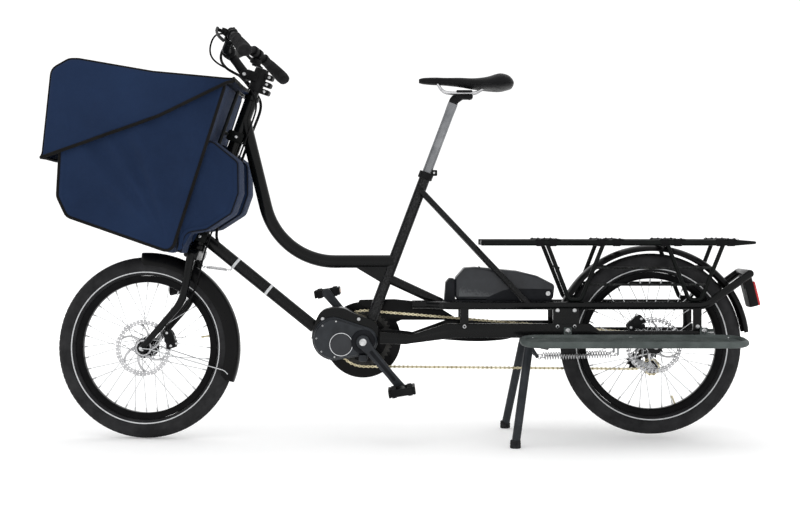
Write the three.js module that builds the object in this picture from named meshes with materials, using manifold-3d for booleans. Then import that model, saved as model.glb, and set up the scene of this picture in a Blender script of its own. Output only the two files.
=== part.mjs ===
// A longtail cargo bike with a mid motor, a bag on the head tube, a long rear rack, running boards and a centre stand.
// Millimetres. +X points to the rear, +Y to the bike's right (the chain side), +Z up. The ground is z = 0.
// The front tyre and the two stand feet carry the bike; the rear wheel is just off the ground.
import * as THREE from "three";
import { mergeVertices } from "three/addons/utils/BufferGeometryUtils.js";
import Module from "manifold-3d";

const wasm = await Module();
wasm.setup();

// Whole bike
const WHEELBASE = 1440;
const CRANK_TO_REAR_AXLE = 820;
const CRANK_HEIGHT = 279;
const REAR_WHEEL_LIFT = 11;
const HEAD_ANGLE_DEG = 70;
const SEAT_ANGLE_DEG = 69.3;
const STEER_TURN_DEG = 6;
const FIT_GAP = 0.3;
const CUT_OVERRUN = 2;

// Wheels
const TYRE_RADIUS = 258;
const TYRE_HALF_WIDTH = 27.5;
const TYRE_SEAT_RADIUS = 205;
const RIM_INNER_RADIUS = 185.5;
const RIM_HALF_WIDTH = 13;
const RIM_BED_HALF_WIDTH = 10;
const SPOKE_COUNT = 36;
const SPOKE_RADIUS = 1.2;
const SPOKE_CROSS_DEG = 60;
const HUB_BARREL_RADIUS = 15;
const HUB_FLANGE_RADIUS = 29;
const HUB_FLANGE_THICKNESS = 5;
const FRONT_FLANGE_AT = 25;
const REAR_FLANGE_LEFT = 30;
const REAR_FLANGE_RIGHT = 18;
const HUB_MOUNT_RADIUS = 22;
const HUB_MOUNT_WIDTH = 4;
const AXLE_RADIUS = 6;
const FRONT_HUB_HALF = 49;
const REAR_HUB_HALF = 67;
const ROTOR_RADIUS = 80;
const ROTOR_BAND = 14;
const ROTOR_THICKNESS = 2;
const ROTOR_ARMS = 6;
const ROTOR_CENTRE_RADIUS = 24;
const ROTOR_BORE_RADIUS = 15.4;
const FRONT_ROTOR_AT = 41;
const REAR_ROTOR_AT = 58;

// Head tube, steering axis places are measured from the foot of the fork offset
const FORK_OFFSET = 39;
const HEAD_TUBE_FROM = 315;
const HEAD_TUBE_LENGTH = 463;
const HEAD_TUBE_RADIUS = 18.5;
const HEAD_CUP_RADIUS = 21.5;
const HEAD_CUP_HEIGHT = 12;
const STEERER_RADIUS = 14.3;
const STEERER_CLEARANCE = 0.6;

// Main frame tubes
const MAIN_TUBE_RADIUS = 18.5;
const MAIN_TUBE_HEIGHT = 503.5;
const MAIN_TUBE_LEAN_DEG = 13.8;
const MAIN_TUBE_BEND = 235;
const MAIN_TUBE_TOP_DROP = 70;
const DOWN_TUBE_RADIUS = 17.3;
const DOWN_TUBE_TOP_RISE = 39;
const DOWN_TUBE_END_AHEAD = 139;
const DOWN_TUBE_END_ABOVE = 36;
const SEAT_TUBE_RADIUS = 15.9;
const SEAT_TUBE_LENGTH = 512;
const SEAT_TUBE_FROM = 58;
const SEAT_BORE_DEPTH = 290;
const GUSSET_LENGTH = 88;
const GUSSET_DROP = 66;
const GUSSET_THICKNESS = 22;

// Motor and its bracket
const MOTOR_AHEAD = 84;
const MOTOR_RISE = 7;
const MOTOR_RADIUS = 61;
const MOTOR_CRANK_RADIUS = 41;
const MOTOR_HALF_WIDTH = 44;
const MOTOR_COVER_DEPTH = 14;
const MOTOR_COVER_INSET = 7;
const MOTOR_BOSS_RADIUS = 31;
const MOTOR_BOSS_DEPTH = 9;
const MOTOR_BOSS_AHEAD = 62;
const MOTOR_BOSS_DROP = 22;
const MOTOR_TAB_LENGTH = 24;
const MOTOR_TAB_DROP = 88;
const BRACKET_LENGTH = 189;
const BRACKET_HEIGHT = 93;
const BRACKET_HALF_WIDTH = 36;
const BRACKET_CLEARANCE = 1;
const BRACKET_BOLT_RADIUS = 7;
const BRACKET_BOLT_HEAD = 4;

// Rear frame
const RAIL_HEIGHT = 381;
const RAIL_SPREAD = 70;
const RAIL_RADIUS = 11;
const RAIL_PAST_CROSS = 48;
const RAIL_FRONT_SPREAD = 16;
const RAIL_FLARE_LENGTH = 70;
const RAIL_KICK_BEHIND = 142;
const RAIL_END_BEHIND = 268;
const RAIL_END_RISE = 90;
const RAIL_BEND = 60;
const UPPER_REAR_TUBE_RADIUS = 13.5;
const UPPER_REAR_TUBE_AT = 190;
const BEAM_HEIGHT = 40;
const BEAM_TOP_BELOW_RAIL = 50;
const BEAM_WIDTH = 18;
const BEAM_SPREAD = 72;
const BEAM_FRONT_BEHIND = 47;
const BEAM_FRONT_DROP = 25;
const BEAM_NARROW_HEIGHT = 22;
const BEAM_REAR_BEHIND = 134;
const STRUT_WIDTH = 24;
const STRUT_THICKNESS = 12;
const FRONT_STRUT_AHEAD = 535;
const WHEEL_PLATE_AHEAD = 250;
const WHEEL_PLATE_WIDTH = 73;
const REAR_STRUT_BEHIND = 119;
const CROSS_TUBE_RADIUS = 9;
const FRONT_CROSS_AHEAD = 535;
const TUBE_CROSS_AHEAD = 598;
const LOWER_CROSS_AHEAD = 416;
const REAR_CROSS_AHEAD = 291;
const UPPER_TUBE_RISE = 4;
const DROPOUT_THICKNESS = 7;
const DROPOUT_WIDTH = 46;
const DROPOUT_DROP = 20;
const STAY_RADIUS = 8.5;
const STAY_BELOW_TOP = 54;
const STAY_TOP_AT = SEAT_TUBE_LENGTH - STAY_BELOW_TOP;
const STAY_TOP_SPREAD = 17;
const STAY_FOOT_AHEAD = 351;

// Rack
const RACK_ABOVE_GUARD = 8.5;
const RACK_SPREAD = 78;
const RACK_RAIL_RADIUS = 8.5;
const RACK_FRONT_AHEAD = 488;
const RACK_REAR_BEHIND = 228;
const RACK_TIP_LENGTH = 55;
const RACK_TIP_RADIUS = 3.5;
const RACK_BAR_RADIUS = 6;
const RACK_BARS = 5;
const RACK_LOOP_RADIUS = 6;
const RACK_LOOP_SPREAD = 70;
const RACK_LOOP_BEND = 26;
const FRONT_LOOP_AHEAD = 224;
const REAR_LOOP_BEHIND = 113;
const LOOP_TOP_LENGTH = 157;
const LOOP_FOOT_LENGTH = 34;
const LOOP_BAR_RADIUS = 3.5;
const SIDE_ROD_SHARES = [0.4, 0.665];

// Rear mudguard and light
const REAR_GUARD_RADIUS = 281;
const REAR_GUARD_HALF_WIDTH = 31;
const REAR_GUARD_SIDE = 16;
const REAR_GUARD_FROM_DEG = 7;
const REAR_GUARD_TO_DEG = 166;
const GUARD_WALL = 2.5;
const GUARD_BOSS_RADIUS = 5;
const LAMP_HEIGHT = 92;
const LAMP_DEPTH = 25;
const LAMP_HALF_WIDTH = 30;
const LAMP_BEHIND = 269;
const LAMP_TOP_ABOVE = 196;
const LAMP_LEAN_DEG = 14;
const LENS_HEIGHT = 70;
const LENS_DEPTH = 6;
const LENS_HALF_WIDTH = 26;

// Running boards
const BOARD_TUBE_RADIUS = 9;
const BOARD_FRONT_AHEAD = 379;
const BOARD_REAR_BEHIND = 226;
const BOARD_INNER_SPREAD = 112;
const BOARD_OUTER_SPREAD = 248;
const BOARD_HEIGHT = 294;
const BOARD_TILT = 9;
const BOARD_CORNER = 52;
const BOARD_PANEL_THICKNESS = 3;
const BOARD_BRACKETS_SHARE = [0.22, 0.85];
const BOARD_BRACKET_WIDTH = 22;
const BOARD_BRACKET_THICKNESS = 4;
const BOARD_BOLT_RADIUS = 9;
const BOARD_BOLT_LENGTH = 5;

// Centre stand
const STAND_PIVOT_AHEAD = 354;
const STAND_PIVOT_BELOW_BEAM = 14.5;
const STAND_TUBE_RADIUS = 12;
const STAND_TOP_SPREAD = 97;
const STAND_FOOT_SPREAD = 194;
const STAND_FOOT_AHEAD = 46;
const STAND_FOOT_RADIUS = 15;
const STAND_FOOT_HEIGHT = 16;
const STAND_EAR_LENGTH = 34;
const STAND_EAR_THICKNESS = 6;
const STAND_PIN_RADIUS = 5;
const STAND_LEVER_LENGTH = 48;
const STAND_LEVER_RADIUS = 5;
const STAND_LEVER_ASIDE = 14;
const STAND_ARM_BACK = 32;
const STAND_ARM_DROP = 44;
const STAND_ARM_RADIUS = 5;
const SPRING_SPREAD = 42;
const SPRING_COIL_RADIUS = 6.2;
const SPRING_WIRE_RADIUS = 1.3;
const SPRING_COILS = 12;
const SPRING_LENGTH = 219;
const SPRING_END_LENGTH = 13;
const SPRING_RISE = 7;
const SPRING_LUG_RADIUS = 4;

// Centring spring between fork crown and down tube
const CENTRE_COIL_RADIUS = 3.9;
const CENTRE_WIRE_RADIUS = 0.9;
const CENTRE_COILS = 11;
const CENTRE_SPRING_END = 9;
const CENTRE_LUG_FROM = 272;
const CENTRE_LUG_BACK = 31;
const CENTRE_HOOK_FROM = 290;
const CENTRE_HOOK_BACK = 113;
const CENTRE_HOOK_RISE = 15;
const CENTRE_LUG_RADIUS = 3.5;

// Fork
const CROWN_HALF_WIDTH = 58;
const CROWN_LENGTH = 40;
const CROWN_HEIGHT = 30;
const LEG_TOP_SPREAD = 50;
const LEG_FOOT_SPREAD = 58;
const LEG_TOP_RADIUS = 12.5;
const LEG_FOOT_RADIUS = 8.5;
const LEG_KNEE_FROM = 165;
const LEG_KNEE_BACK = 25;
const LEG_BEND = 120;
const FORK_DROPOUT_RADIUS = 13;
const FORK_DROPOUT_THICKNESS = 6;

// Stem and handlebar, in steering places: along the axis, forward of it, and to a side
const STEM_ABOVE_HEAD = 15;
const STEM_FROM = HEAD_TUBE_FROM + HEAD_TUBE_LENGTH + STEM_ABOVE_HEAD;
const STEM_LENGTH = 58;
const STEM_RADIUS = 20;
const STEM_PIVOT_RISE = 35;
const STEM_PIVOT_AT = STEM_FROM + STEM_PIVOT_RISE;
const STEM_PIVOT_FORWARD = 39;
const STEM_PIVOT_RADIUS = 14;
const STEM_PIVOT_HALF = 22;
const STEM_ARM_RADIUS = 13;
const STEM_EAR_LENGTH = 34;
const STEM_EAR_HEIGHT = 15;
const STEM_EAR_WIDTH = 30;
const STEM_EARS = 3;
const BAR_ABOVE_STEM_FOOT = 79.5;
const BAR_AT = STEM_FROM + BAR_ABOVE_STEM_FOOT;
const BAR_FORWARD = 105;
const BAR_RADIUS = 11;
const BAR_CLAMP_RADIUS = 19;
const BAR_CLAMP_HALF = 22;
const BAR_HALF_WIDTH = 300;
const BAR_RISE = 41.5;
const BAR_SWEEP = 110;
const BAR_BEND = 45;
const BAR_SLICE = 0.01;
const BAR_SIDE_SHARES = [0, 0.2, 0.433, 0.633, 1];
const BAR_RISE_SHARES = [0, 0, 1, 0.83, -0.03];
const BAR_SWEEP_SHARES = [0, 0, 0.18, 0.41, 1];
const GRIP_START_SHARE = 0.66;
const GRIP_RADIUS = 15;
const GRIP_PALM_RADIUS = 22;
const MASTER_AT_SHARE = 0.5;
const MASTER_LENGTH = 44;
const MASTER_RADIUS = 9;
const MASTER_TANK_LENGTH = 24;
const MASTER_TANK_SIZE = 17;
const CONTROL_CLAMP_RADIUS = 16;
const CONTROL_CLAMP_WIDTH = 14;
const LEVER_LENGTH = 118;
const LEVER_WIDTH = 11;
const LEVER_THICKNESS = 7;
const BELL_AT_SHARE = 0.37;
const BELL_RADIUS = 15.5;
const BELL_HEIGHT = 15;
const BELL_STALK_HEIGHT = 9;
const BELL_LEVER_LENGTH = 20;
const SHIFTER_AT_SHARE = 0.575;
const SHIFTER_RADIUS = 17;
const SHIFTER_WIDTH = 16;
const SHIFT_LEVER_LENGTH = 26;

// Front mudguard, caliper, headlight
const FRONT_GUARD_RADIUS = 271;
const FRONT_GUARD_HALF_WIDTH = 30;
const FRONT_GUARD_SIDE = 38;
const FRONT_GUARD_FROM_DEG = -21;
const FRONT_GUARD_TO_DEG = 93;
const GUARD_STAY_RADIUS = 1.6;
const GUARD_STAY_SPREAD = 34;
const CALIPER_LENGTH = 58;
const CALIPER_DEPTH = 34;
const CALIPER_HALF_WIDTH = 15;
const CALIPER_SLOT = 4;
const FRONT_CALIPER_DEG = 18;
const REAR_CALIPER_DEG = 130;
const HEADLIGHT_RADIUS = 19;
const HEADLIGHT_LENGTH = 30;
const HEADLIGHT_OUT = 24;
const HEADLIGHT_AT = 178;
const HEADLIGHT_FORWARD = 36;

// Front load
const CARRIER_ROD_RADIUS = 5;
const CARRIER_ROD_SPREAD = 120;
const CARRIER_FOOT_AT = 325;
const CARRIER_TOP_AT = 770;
const CARRIER_FORWARD = 28;
const CARRIER_BRACKET_HEIGHT = 44;
const CARRIER_BRACKET_THICKNESS = 5;
const CARRIER_LOWER_BRACKET_AT = 352;
const CARRIER_UPPER_BRACKET_AT = 652;
const CARRIER_PRONG_LENGTH = 250;
const CARRIER_BOLT_RADIUS = 6;
const BAG_HALF_WIDTH = 210;
const BAG_WALL = 5;
const BAG_LENGTH = 460;
const BAG_HEIGHT = 494;
const BAG_REAR_AHEAD = 371;
const BAG_LOW = 526;
const BAG_CROWN_RADIUS = 66;
const BAG_CROWN_ABOVE = 4;
const POCKET_GAP = 40;
const LID_WALL = 4;
const LID_SIDE_CLEARANCE = 6;

// Seat
const POST_RADIUS = 13.6;
const POST_INSERTION = 115;
const POST_LENGTH = 330;
const POST_SETBACK = 30;
const POST_HEAD_RISE = 22;
const RAIL_CLAMP_LENGTH = 34;
const RAIL_CLAMP_HEIGHT = 22;
const RAIL_CLAMP_HALF_WIDTH = 27;
const SADDLE_RAIL_RADIUS = 3.5;
const SADDLE_RAIL_SPREAD = 22;
const SADDLE_RAIL_SEAT = 3;
const SADDLE_LENGTH = 268;
const SADDLE_HALF_WIDTH = 80;
const SADDLE_ABOVE_HEAD = 61;
const SADDLE_NOSE_AHEAD = 129;
const SADDLE_DEPTH = 58;
const SEAT_CLAMP_HEIGHT = 20;
const SEAT_CLAMP_WALL = 5;
const SEAT_CLAMP_EAR = 20;

// Drive
const CHAIN_PITCH = 12.7;
const CHAINRING_TEETH = 40;
const COG_TEETH = 12;
const PULLEY_TEETH = 11;
const CHAIN_Y = 56;
const CHAIN_DEPTH = 7.6;
const CHAIN_WIDE = 6.4;
const CHAIN_NARROW = 4.8;
const CHAIN_CLEARANCE = 0.8;
const STRAIGHT_DEG = 0.5;
const RING_THICKNESS = 3;
const TOOTH_DEPTH = 4;
const SPINDLE_RADIUS = 9;
const CRANK_LENGTH = 170;
const CRANK_TURN_DEG = -50;
const ARM_THICKNESS = 13;
const ARM_INNER_Y = 69;
const ARM_ROOT_RADIUS = 19;
const ARM_EYE_RADIUS = 13.5;
const PEDAL_SPINDLE_RADIUS = 6;
const PEDAL_WIDTH = 92;
const PEDAL_LENGTH = 76;
const PEDAL_HEIGHT = 26;
const PEDAL_TILT_DEG = 9;
const PEDAL_BARREL_RADIUS = 11;
const CASSETTE_COGS = 7;
const CASSETTE_LARGE_RADIUS = 57;
const COG_SPACING = 5;
const FREEHUB_RADIUS = 16.6;
const PULLEY_PIN_RADIUS = 5;
const TENSION_PULLEY_AHEAD = 36;
const TENSION_PULLEY_BELOW = 56;
const GUIDE_PULLEY_BEHIND = 12;
const GUIDE_PULLEY_BELOW = 72;
const PULLEY_WIDTH = 5;
const CAGE_THICKNESS = 2.5;
const GUARD_DISC_RADIUS = 110;
const GUARD_DISC_AHEAD = 3;
const GUARD_DISC_DROP = 4;
const GUARD_TAIL_PAST_CROSS = 56;
const GUARD_TAIL_LENGTH = CRANK_TO_REAR_AXLE - TUBE_CROSS_AHEAD + GUARD_TAIL_PAST_CROSS;
const GUARD_TAIL_HEIGHT = 66;
const GUARD_TAIL_OVERLAP = 4;

// Battery
const BATTERY_HALF_WIDTH = 40;
const BATTERY_REAR_AHEAD = 277;
const BATTERY_HEIGHT = 91;
const BATTERY_BEHIND_CROSS = 39;
const DOCK_LENGTH = 31;
const DOCK_HEIGHT = 66;
const TRAY_THICKNESS = 5;
const LOCK_RADIUS = 7;
const LOCK_DEPTH = 2.5;

// Hoses
const HOSE_RADIUS = 2.6;
const BUNDLE_RADIUS = 4;
const HOSE_STRAIGHT = 8;

// How finely round shapes are made
const WHEEL_STEPS = 32;
const TYRE_STEPS = 8;
const PIPE_SIDES = 8;
const THIN_SIDES = 6;
const HOSE_SIDES = 8;
const SPOKE_SIDES = 3;
const ROUND_STEPS = 16;
const HUB_STEPS = 12;
const BEND_STEPS = 3;
const COIL_STEPS = 8;
const COIL_SIDES = 5;

const LEFT = -1;
const RIGHT = 1;
const SIDES = [LEFT, RIGHT];
const rad = THREE.MathUtils.degToRad;
const at = (x, y, z) => new THREE.Vector3(x, y, z);

// Main places
const REAR_AXLE = at(CRANK_TO_REAR_AXLE, 0, TYRE_RADIUS + REAR_WHEEL_LIFT);
const FRONT_AXLE = at(CRANK_TO_REAR_AXLE - WHEELBASE, 0, TYRE_RADIUS);
const CRANK = at(0, 0, CRANK_HEIGHT);
const STEER_UP = at(Math.cos(rad(HEAD_ANGLE_DEG)), 0, Math.sin(rad(HEAD_ANGLE_DEG)));
const STEER_FORWARD = at(-STEER_UP.z, 0, STEER_UP.x);
const SEAT_UP = at(Math.cos(rad(SEAT_ANGLE_DEG)), 0, Math.sin(rad(SEAT_ANGLE_DEG)));

// A place measured along the steering axis, forward of it and to a side.
function onSteer(along, forward = 0, side = 0) {
  const foot = FRONT_AXLE.clone().addScaledVector(STEER_FORWARD, -FORK_OFFSET);
  foot.addScaledVector(STEER_UP, along).addScaledVector(STEER_FORWARD, forward);
  foot.y = side;
  return foot;
}

// A place measured up the seat tube from the crank.
const onSeat = (along) => CRANK.clone().addScaledVector(SEAT_UP, along);

// A curve through points, taken at equal parts, so that each section sits on its point.
class Route extends THREE.Curve {
  constructor(points) {
    super();
    this.points = points;
  }

  getPoint(t, target = at(0, 0, 0)) {
    const place = t * (this.points.length - 1);
    const i = Math.min(Math.floor(place), this.points.length - 2);
    return target.lerpVectors(this.points[i], this.points[i + 1], place - i);
  }

  getPointAt(u, target) {
    return this.getPoint(u, target);
  }

  getTangent(t, target = at(0, 0, 0)) {
    const place = Math.round(t * (this.points.length - 1));
    const here = this.points[place];
    const before = this.points[Math.max(place - 1, 0)];
    const after = this.points[Math.min(place + 1, this.points.length - 1)];
    const out = after.clone().sub(here).normalize();
    const into = here.clone().sub(before).normalize();
    return target.copy(out.add(into)).normalize();
  }

  getTangentAt(u, target) {
    return this.getTangent(u, target);
  }
}

// The points of an arc that rounds the corner between two straight runs.
function corner(before, point, after, bend, steps) {
  const u = before.clone().sub(point).normalize();
  const v = after.clone().sub(point).normalize();
  const turn = Math.PI - u.angleTo(v);
  const reach = bend * Math.tan(turn / 2);
  const centre = point.clone().addScaledVector(u.clone().add(v).normalize(), bend / Math.cos(turn / 2));
  const a = point.clone().addScaledVector(u, reach).sub(centre);
  const b = point.clone().addScaledVector(v, reach).sub(centre);
  const arc = [];
  for (let i = 0; i <= steps; i += 1) {
    const part = (turn * i) / steps;
    const from = a.clone().multiplyScalar(Math.sin(turn - part) / Math.sin(turn));
    arc.push(from.addScaledVector(b, Math.sin(part) / Math.sin(turn)).add(centre));
  }
  return arc;
}

// Straight runs between corners, each corner rounded.
function bent(corners, bend, steps = BEND_STEPS) {
  const points = [corners[0]];
  for (let i = 1; i < corners.length - 1; i += 1) {
    points.push(...corner(corners[i - 1], corners[i], corners[i + 1], bend, steps));
  }
  points.push(corners[corners.length - 1]);
  return points;
}

// A closed run of corners, each rounded.
function ring(corners, bend, steps = BEND_STEPS) {
  const n = corners.length;
  return corners.flatMap((p, i) => corner(corners[(i + n - 1) % n], p, corners[(i + 1) % n], bend, steps));
}

// A round bar along points.
function bar(points, radius, sides = PIPE_SIDES) {
  const section = new THREE.Shape().absarc(0, 0, radius, 0, Math.PI * 2);
  return new THREE.ExtrudeGeometry(section, {
    steps: points.length - 1,
    curveSegments: sides / 2,
    bevelEnabled: false,
    extrudePath: new Route(points),
  });
}

const rod = (a, b, radius, sides = PIPE_SIDES) => bar([a, b], radius, sides);

// A closed loop of round bar.
function loopBar(points, radius, sides = PIPE_SIDES) {
  const closed = [...points, points[0]];
  return new THREE.TubeGeometry(new Route(closed), points.length, radius, sides, true);
}

// A closed body over rings of points, all rings with the same count.
function loft(rings) {
  const count = rings[0].length;
  const places = rings.flat();
  const faces = [];
  for (let r = 0; r < rings.length - 1; r += 1) {
    for (let i = 0; i < count; i += 1) {
      const j = (i + 1) % count;
      const a = r * count;
      const b = a + count;
      faces.push(a + i, a + j, b + i, a + j, b + j, b + i);
    }
  }
  const last = (rings.length - 1) * count;
  for (let i = 1; i < count - 1; i += 1) {
    faces.push(0, i + 1, i);
    faces.push(last, last + i, last + i + 1);
  }
  return indexed(places, faces);
}

function indexed(places, faces) {
  const geometry = new THREE.BufferGeometry().setFromPoints(places);
  geometry.setIndex(faces);
  return geometry;
}

// A round body along points whose radius changes from point to point.
function tapered(points, radii, sides = PIPE_SIDES) {
  const route = new Route(points);
  const frames = route.computeFrenetFrames(points.length - 1, false);
  const rings = points.map((p, i) =>
    Array.from({ length: sides }, (_, k) => {
      const turn = (k / sides) * Math.PI * 2;
      return p
        .clone()
        .addScaledVector(frames.normals[i], Math.cos(turn) * radii[i])
        .addScaledVector(frames.binormals[i], Math.sin(turn) * radii[i]);
    }),
  );
  return loft(rings);
}

// A flat outline of [x, z] points, given a thickness across the bike and centred on a plane y = side.
function plate(outline, thickness, side = 0) {
  const shape = outline instanceof THREE.Shape ? outline : new THREE.Shape(outline.map(([x, z]) => new THREE.Vector2(x, z)));
  const geometry = new THREE.ExtrudeGeometry(shape, { depth: thickness, bevelEnabled: false, curveSegments: PIPE_SIDES });
  geometry.rotateX(Math.PI / 2);
  geometry.translate(0, side + thickness / 2, 0);
  return geometry;
}

// A body turned about the Y axis from [radius, y] points; the profile closes on itself.
function turned(profile, steps = WHEEL_STEPS) {
  const points = [...profile, profile[0]].map(([r, y]) => new THREE.Vector2(r, y));
  return new THREE.LatheGeometry(points, steps);
}

// A band of [radius, y] profile swept over part of a turn about the Y axis, in the XZ plane.
function arcBand(profile, fromDeg, toDeg, steps, centre) {
  const rings = [];
  for (let i = 0; i <= steps; i += 1) {
    const turn = rad(THREE.MathUtils.lerp(fromDeg, toDeg, i / steps));
    rings.push(profile.map(([r, y]) => at(centre.x + r * Math.cos(turn), centre.y + y, centre.z + r * Math.sin(turn))));
  }
  const caps = THREE.ShapeUtils.triangulateShape(profile.map(([r, y]) => new THREE.Vector2(r, y)), []);
  const count = profile.length;
  const last = steps * count;
  const faces = [];
  for (let s = 0; s < steps; s += 1) {
    for (let i = 0; i < count; i += 1) {
      const j = (i + 1) % count;
      const a = s * count;
      const b = a + count;
      faces.push(a + i, b + i, a + j, a + j, b + i, b + j);
    }
  }
  caps.forEach(([a, b, c]) => {
    faces.push(a, b, c);
    faces.push(last + a, last + c, last + b);
  });
  return indexed(rings.flat(), faces);
}

// A cylinder across the bike.
function drum(centre, radius, width, sides = ROUND_STEPS) {
  return new THREE.CylinderGeometry(radius, radius, width, sides).translate(centre.x, centre.y, centre.z);
}

// The corner radius of a many-sided bore that stays clear of a pin all round.
const boreRadius = (radius, sides) => (radius + FIT_GAP) / Math.cos(Math.PI / sides);

// A block with its axes turned to a direction in the XZ plane.
function block(centre, along, length, width, height) {
  const geometry = new THREE.BoxGeometry(length, width, height);
  const turn = Math.atan2(along.x, along.z) - Math.PI / 2;
  return geometry.rotateY(turn).translate(centre.x, centre.y, centre.z);
}

// A closed mesh as a solid that joins and cuts.
function solid(geometry) {
  const plain = new THREE.BufferGeometry();
  plain.setAttribute("position", geometry.getAttribute("position").clone());
  if (geometry.index) plain.setIndex(geometry.index.clone());
  const merged = mergeVertices(plain);
  const mesh = new wasm.Mesh({
    numProp: 3,
    vertProperties: new Float32Array(merged.attributes.position.array),
    triVerts: new Uint32Array(merged.index.array),
  });
  const made = new wasm.Manifold(mesh);
  return made.volume() < 0 ? new wasm.Manifold(flipped(merged)) : made;
}

function flipped(merged) {
  const triVerts = new Uint32Array(merged.index.array);
  for (let i = 0; i < triVerts.length; i += 3) {
    [triVerts[i + 1], triVerts[i + 2]] = [triVerts[i + 2], triVerts[i + 1]];
  }
  return new wasm.Mesh({ numProp: 3, vertProperties: new Float32Array(merged.attributes.position.array), triVerts });
}

const asSolid = (piece) => (piece.isBufferGeometry ? solid(piece) : piece);
const join = (...pieces) => pieces.flat(Infinity).map(asSolid).reduce((whole, piece) => whole.add(piece));
const cut = (whole, ...pieces) => pieces.flat(Infinity).map(asSolid).reduce((rest, piece) => rest.subtract(piece), asSolid(whole));

const FINISHES = {
  gloss_black: [0x08090a, 0.18, 0.1],
  satin_black: [0x121314, 0.45, 0.1],
  dark_grey: [0x35383b, 0.4, 0.3],
  anthracite: [0x24272b, 0.42, 0.1],
  silver: [0xb9bcc0, 0.3, 0.9],
  steel: [0x8f9296, 0.35, 0.9],
  brass: [0x8a7a4c, 0.4, 0.8],
  rubber: [0x1b1c1d, 0.85, 0],
  fabric: [0x1e2e48, 0.9, 0],
  red: [0xb01820, 0.25, 0],
};

// A named mesh of a join of pieces.
function part(name, finish, ...pieces) {
  const made = join(...pieces).getMesh();
  const geometry = new THREE.BufferGeometry();
  geometry.setAttribute("position", new THREE.BufferAttribute(new Float32Array(made.vertProperties), 3));
  geometry.setIndex(new THREE.BufferAttribute(new Uint32Array(made.triVerts), 1));
  geometry.computeVertexNormals();
  const [color, roughness, metalness] = FINISHES[finish];
  const mesh = new THREE.Mesh(geometry, new THREE.MeshStandardMaterial({ color, roughness, metalness }));
  mesh.name = name;
  return mesh;
}

// Wheels, in their own frame: axle along Y, centre at the origin.
function tyre(name) {
  const profile = [];
  const bulge = TYRE_HALF_WIDTH;
  const middle = TYRE_RADIUS - bulge;
  const bead = Math.acos((TYRE_SEAT_RADIUS - middle) / bulge);
  const steps = TYRE_STEPS;
  for (let i = 0; i <= steps; i += 1) {
    const turn = THREE.MathUtils.lerp(-bead, bead, i / steps);
    profile.push([middle + bulge * Math.cos(turn), bulge * Math.sin(turn)]);
  }
  return part(name, "rubber", turned(profile));
}

function rim(name) {
  const seat = TYRE_SEAT_RADIUS - FIT_GAP;
  return part(name, "satin_black", turned([
    [RIM_INNER_RADIUS, -RIM_BED_HALF_WIDTH],
    [seat, -RIM_HALF_WIDTH],
    [seat, RIM_HALF_WIDTH],
    [RIM_INNER_RADIUS, RIM_BED_HALF_WIDTH],
  ]));
}

// One spoke leaves its flange at a slant and ends just short of the rim; crossing spokes pass side by side.
function spoke(index, flanges) {
  const side = index % 2 ? RIGHT : LEFT;
  const lean = index % 4 < 2 ? RIGHT : LEFT;
  const rimTurn = (index / SPOKE_COUNT) * Math.PI * 2;
  const hubTurn = rimTurn + lean * rad(SPOKE_CROSS_DEG);
  const reach = RIM_INNER_RADIUS - FIT_GAP - SPOKE_RADIUS;
  const root = HUB_FLANGE_RADIUS - HUB_FLANGE_THICKNESS / 2;
  const shift = lean * (SPOKE_RADIUS + FIT_GAP / 2);
  const a = at(root * Math.cos(hubTurn), flanges[index % 2] + shift, root * Math.sin(hubTurn));
  const b = at(reach * Math.cos(rimTurn), side * SPOKE_RADIUS * 2 + shift, reach * Math.sin(rimTurn));
  return tapered([a, b], [SPOKE_RADIUS, SPOKE_RADIUS], SPOKE_SIDES);
}

// A hub barrel with a seat for the rotor, two flanges and the spokes.
function hub(name, half, flanges, rotorAt, extra = []) {
  const bore = AXLE_RADIUS + FIT_GAP;
  const mount = -rotorAt + ROTOR_THICKNESS / 2 + FIT_GAP;
  const wide = HUB_FLANGE_THICKNESS / 2;
  const profile = [
    [bore, -half],
    [HUB_BARREL_RADIUS, -half],
    [HUB_BARREL_RADIUS, mount],
    [HUB_MOUNT_RADIUS, mount],
    [HUB_MOUNT_RADIUS, mount + HUB_MOUNT_WIDTH],
    [HUB_BARREL_RADIUS, mount + HUB_MOUNT_WIDTH],
    ...flanges.flatMap((y) => [
      [HUB_BARREL_RADIUS, y - wide],
      [HUB_FLANGE_RADIUS, y - wide],
      [HUB_FLANGE_RADIUS, y + wide],
      [HUB_BARREL_RADIUS, y + wide],
    ]),
    [HUB_BARREL_RADIUS, half],
    [bore, half],
  ];
  const spokes = Array.from({ length: SPOKE_COUNT }, (_, i) => spoke(i, flanges));
  return part(name, "silver", turned(profile, HUB_STEPS), ...extra, spokes);
}

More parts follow.
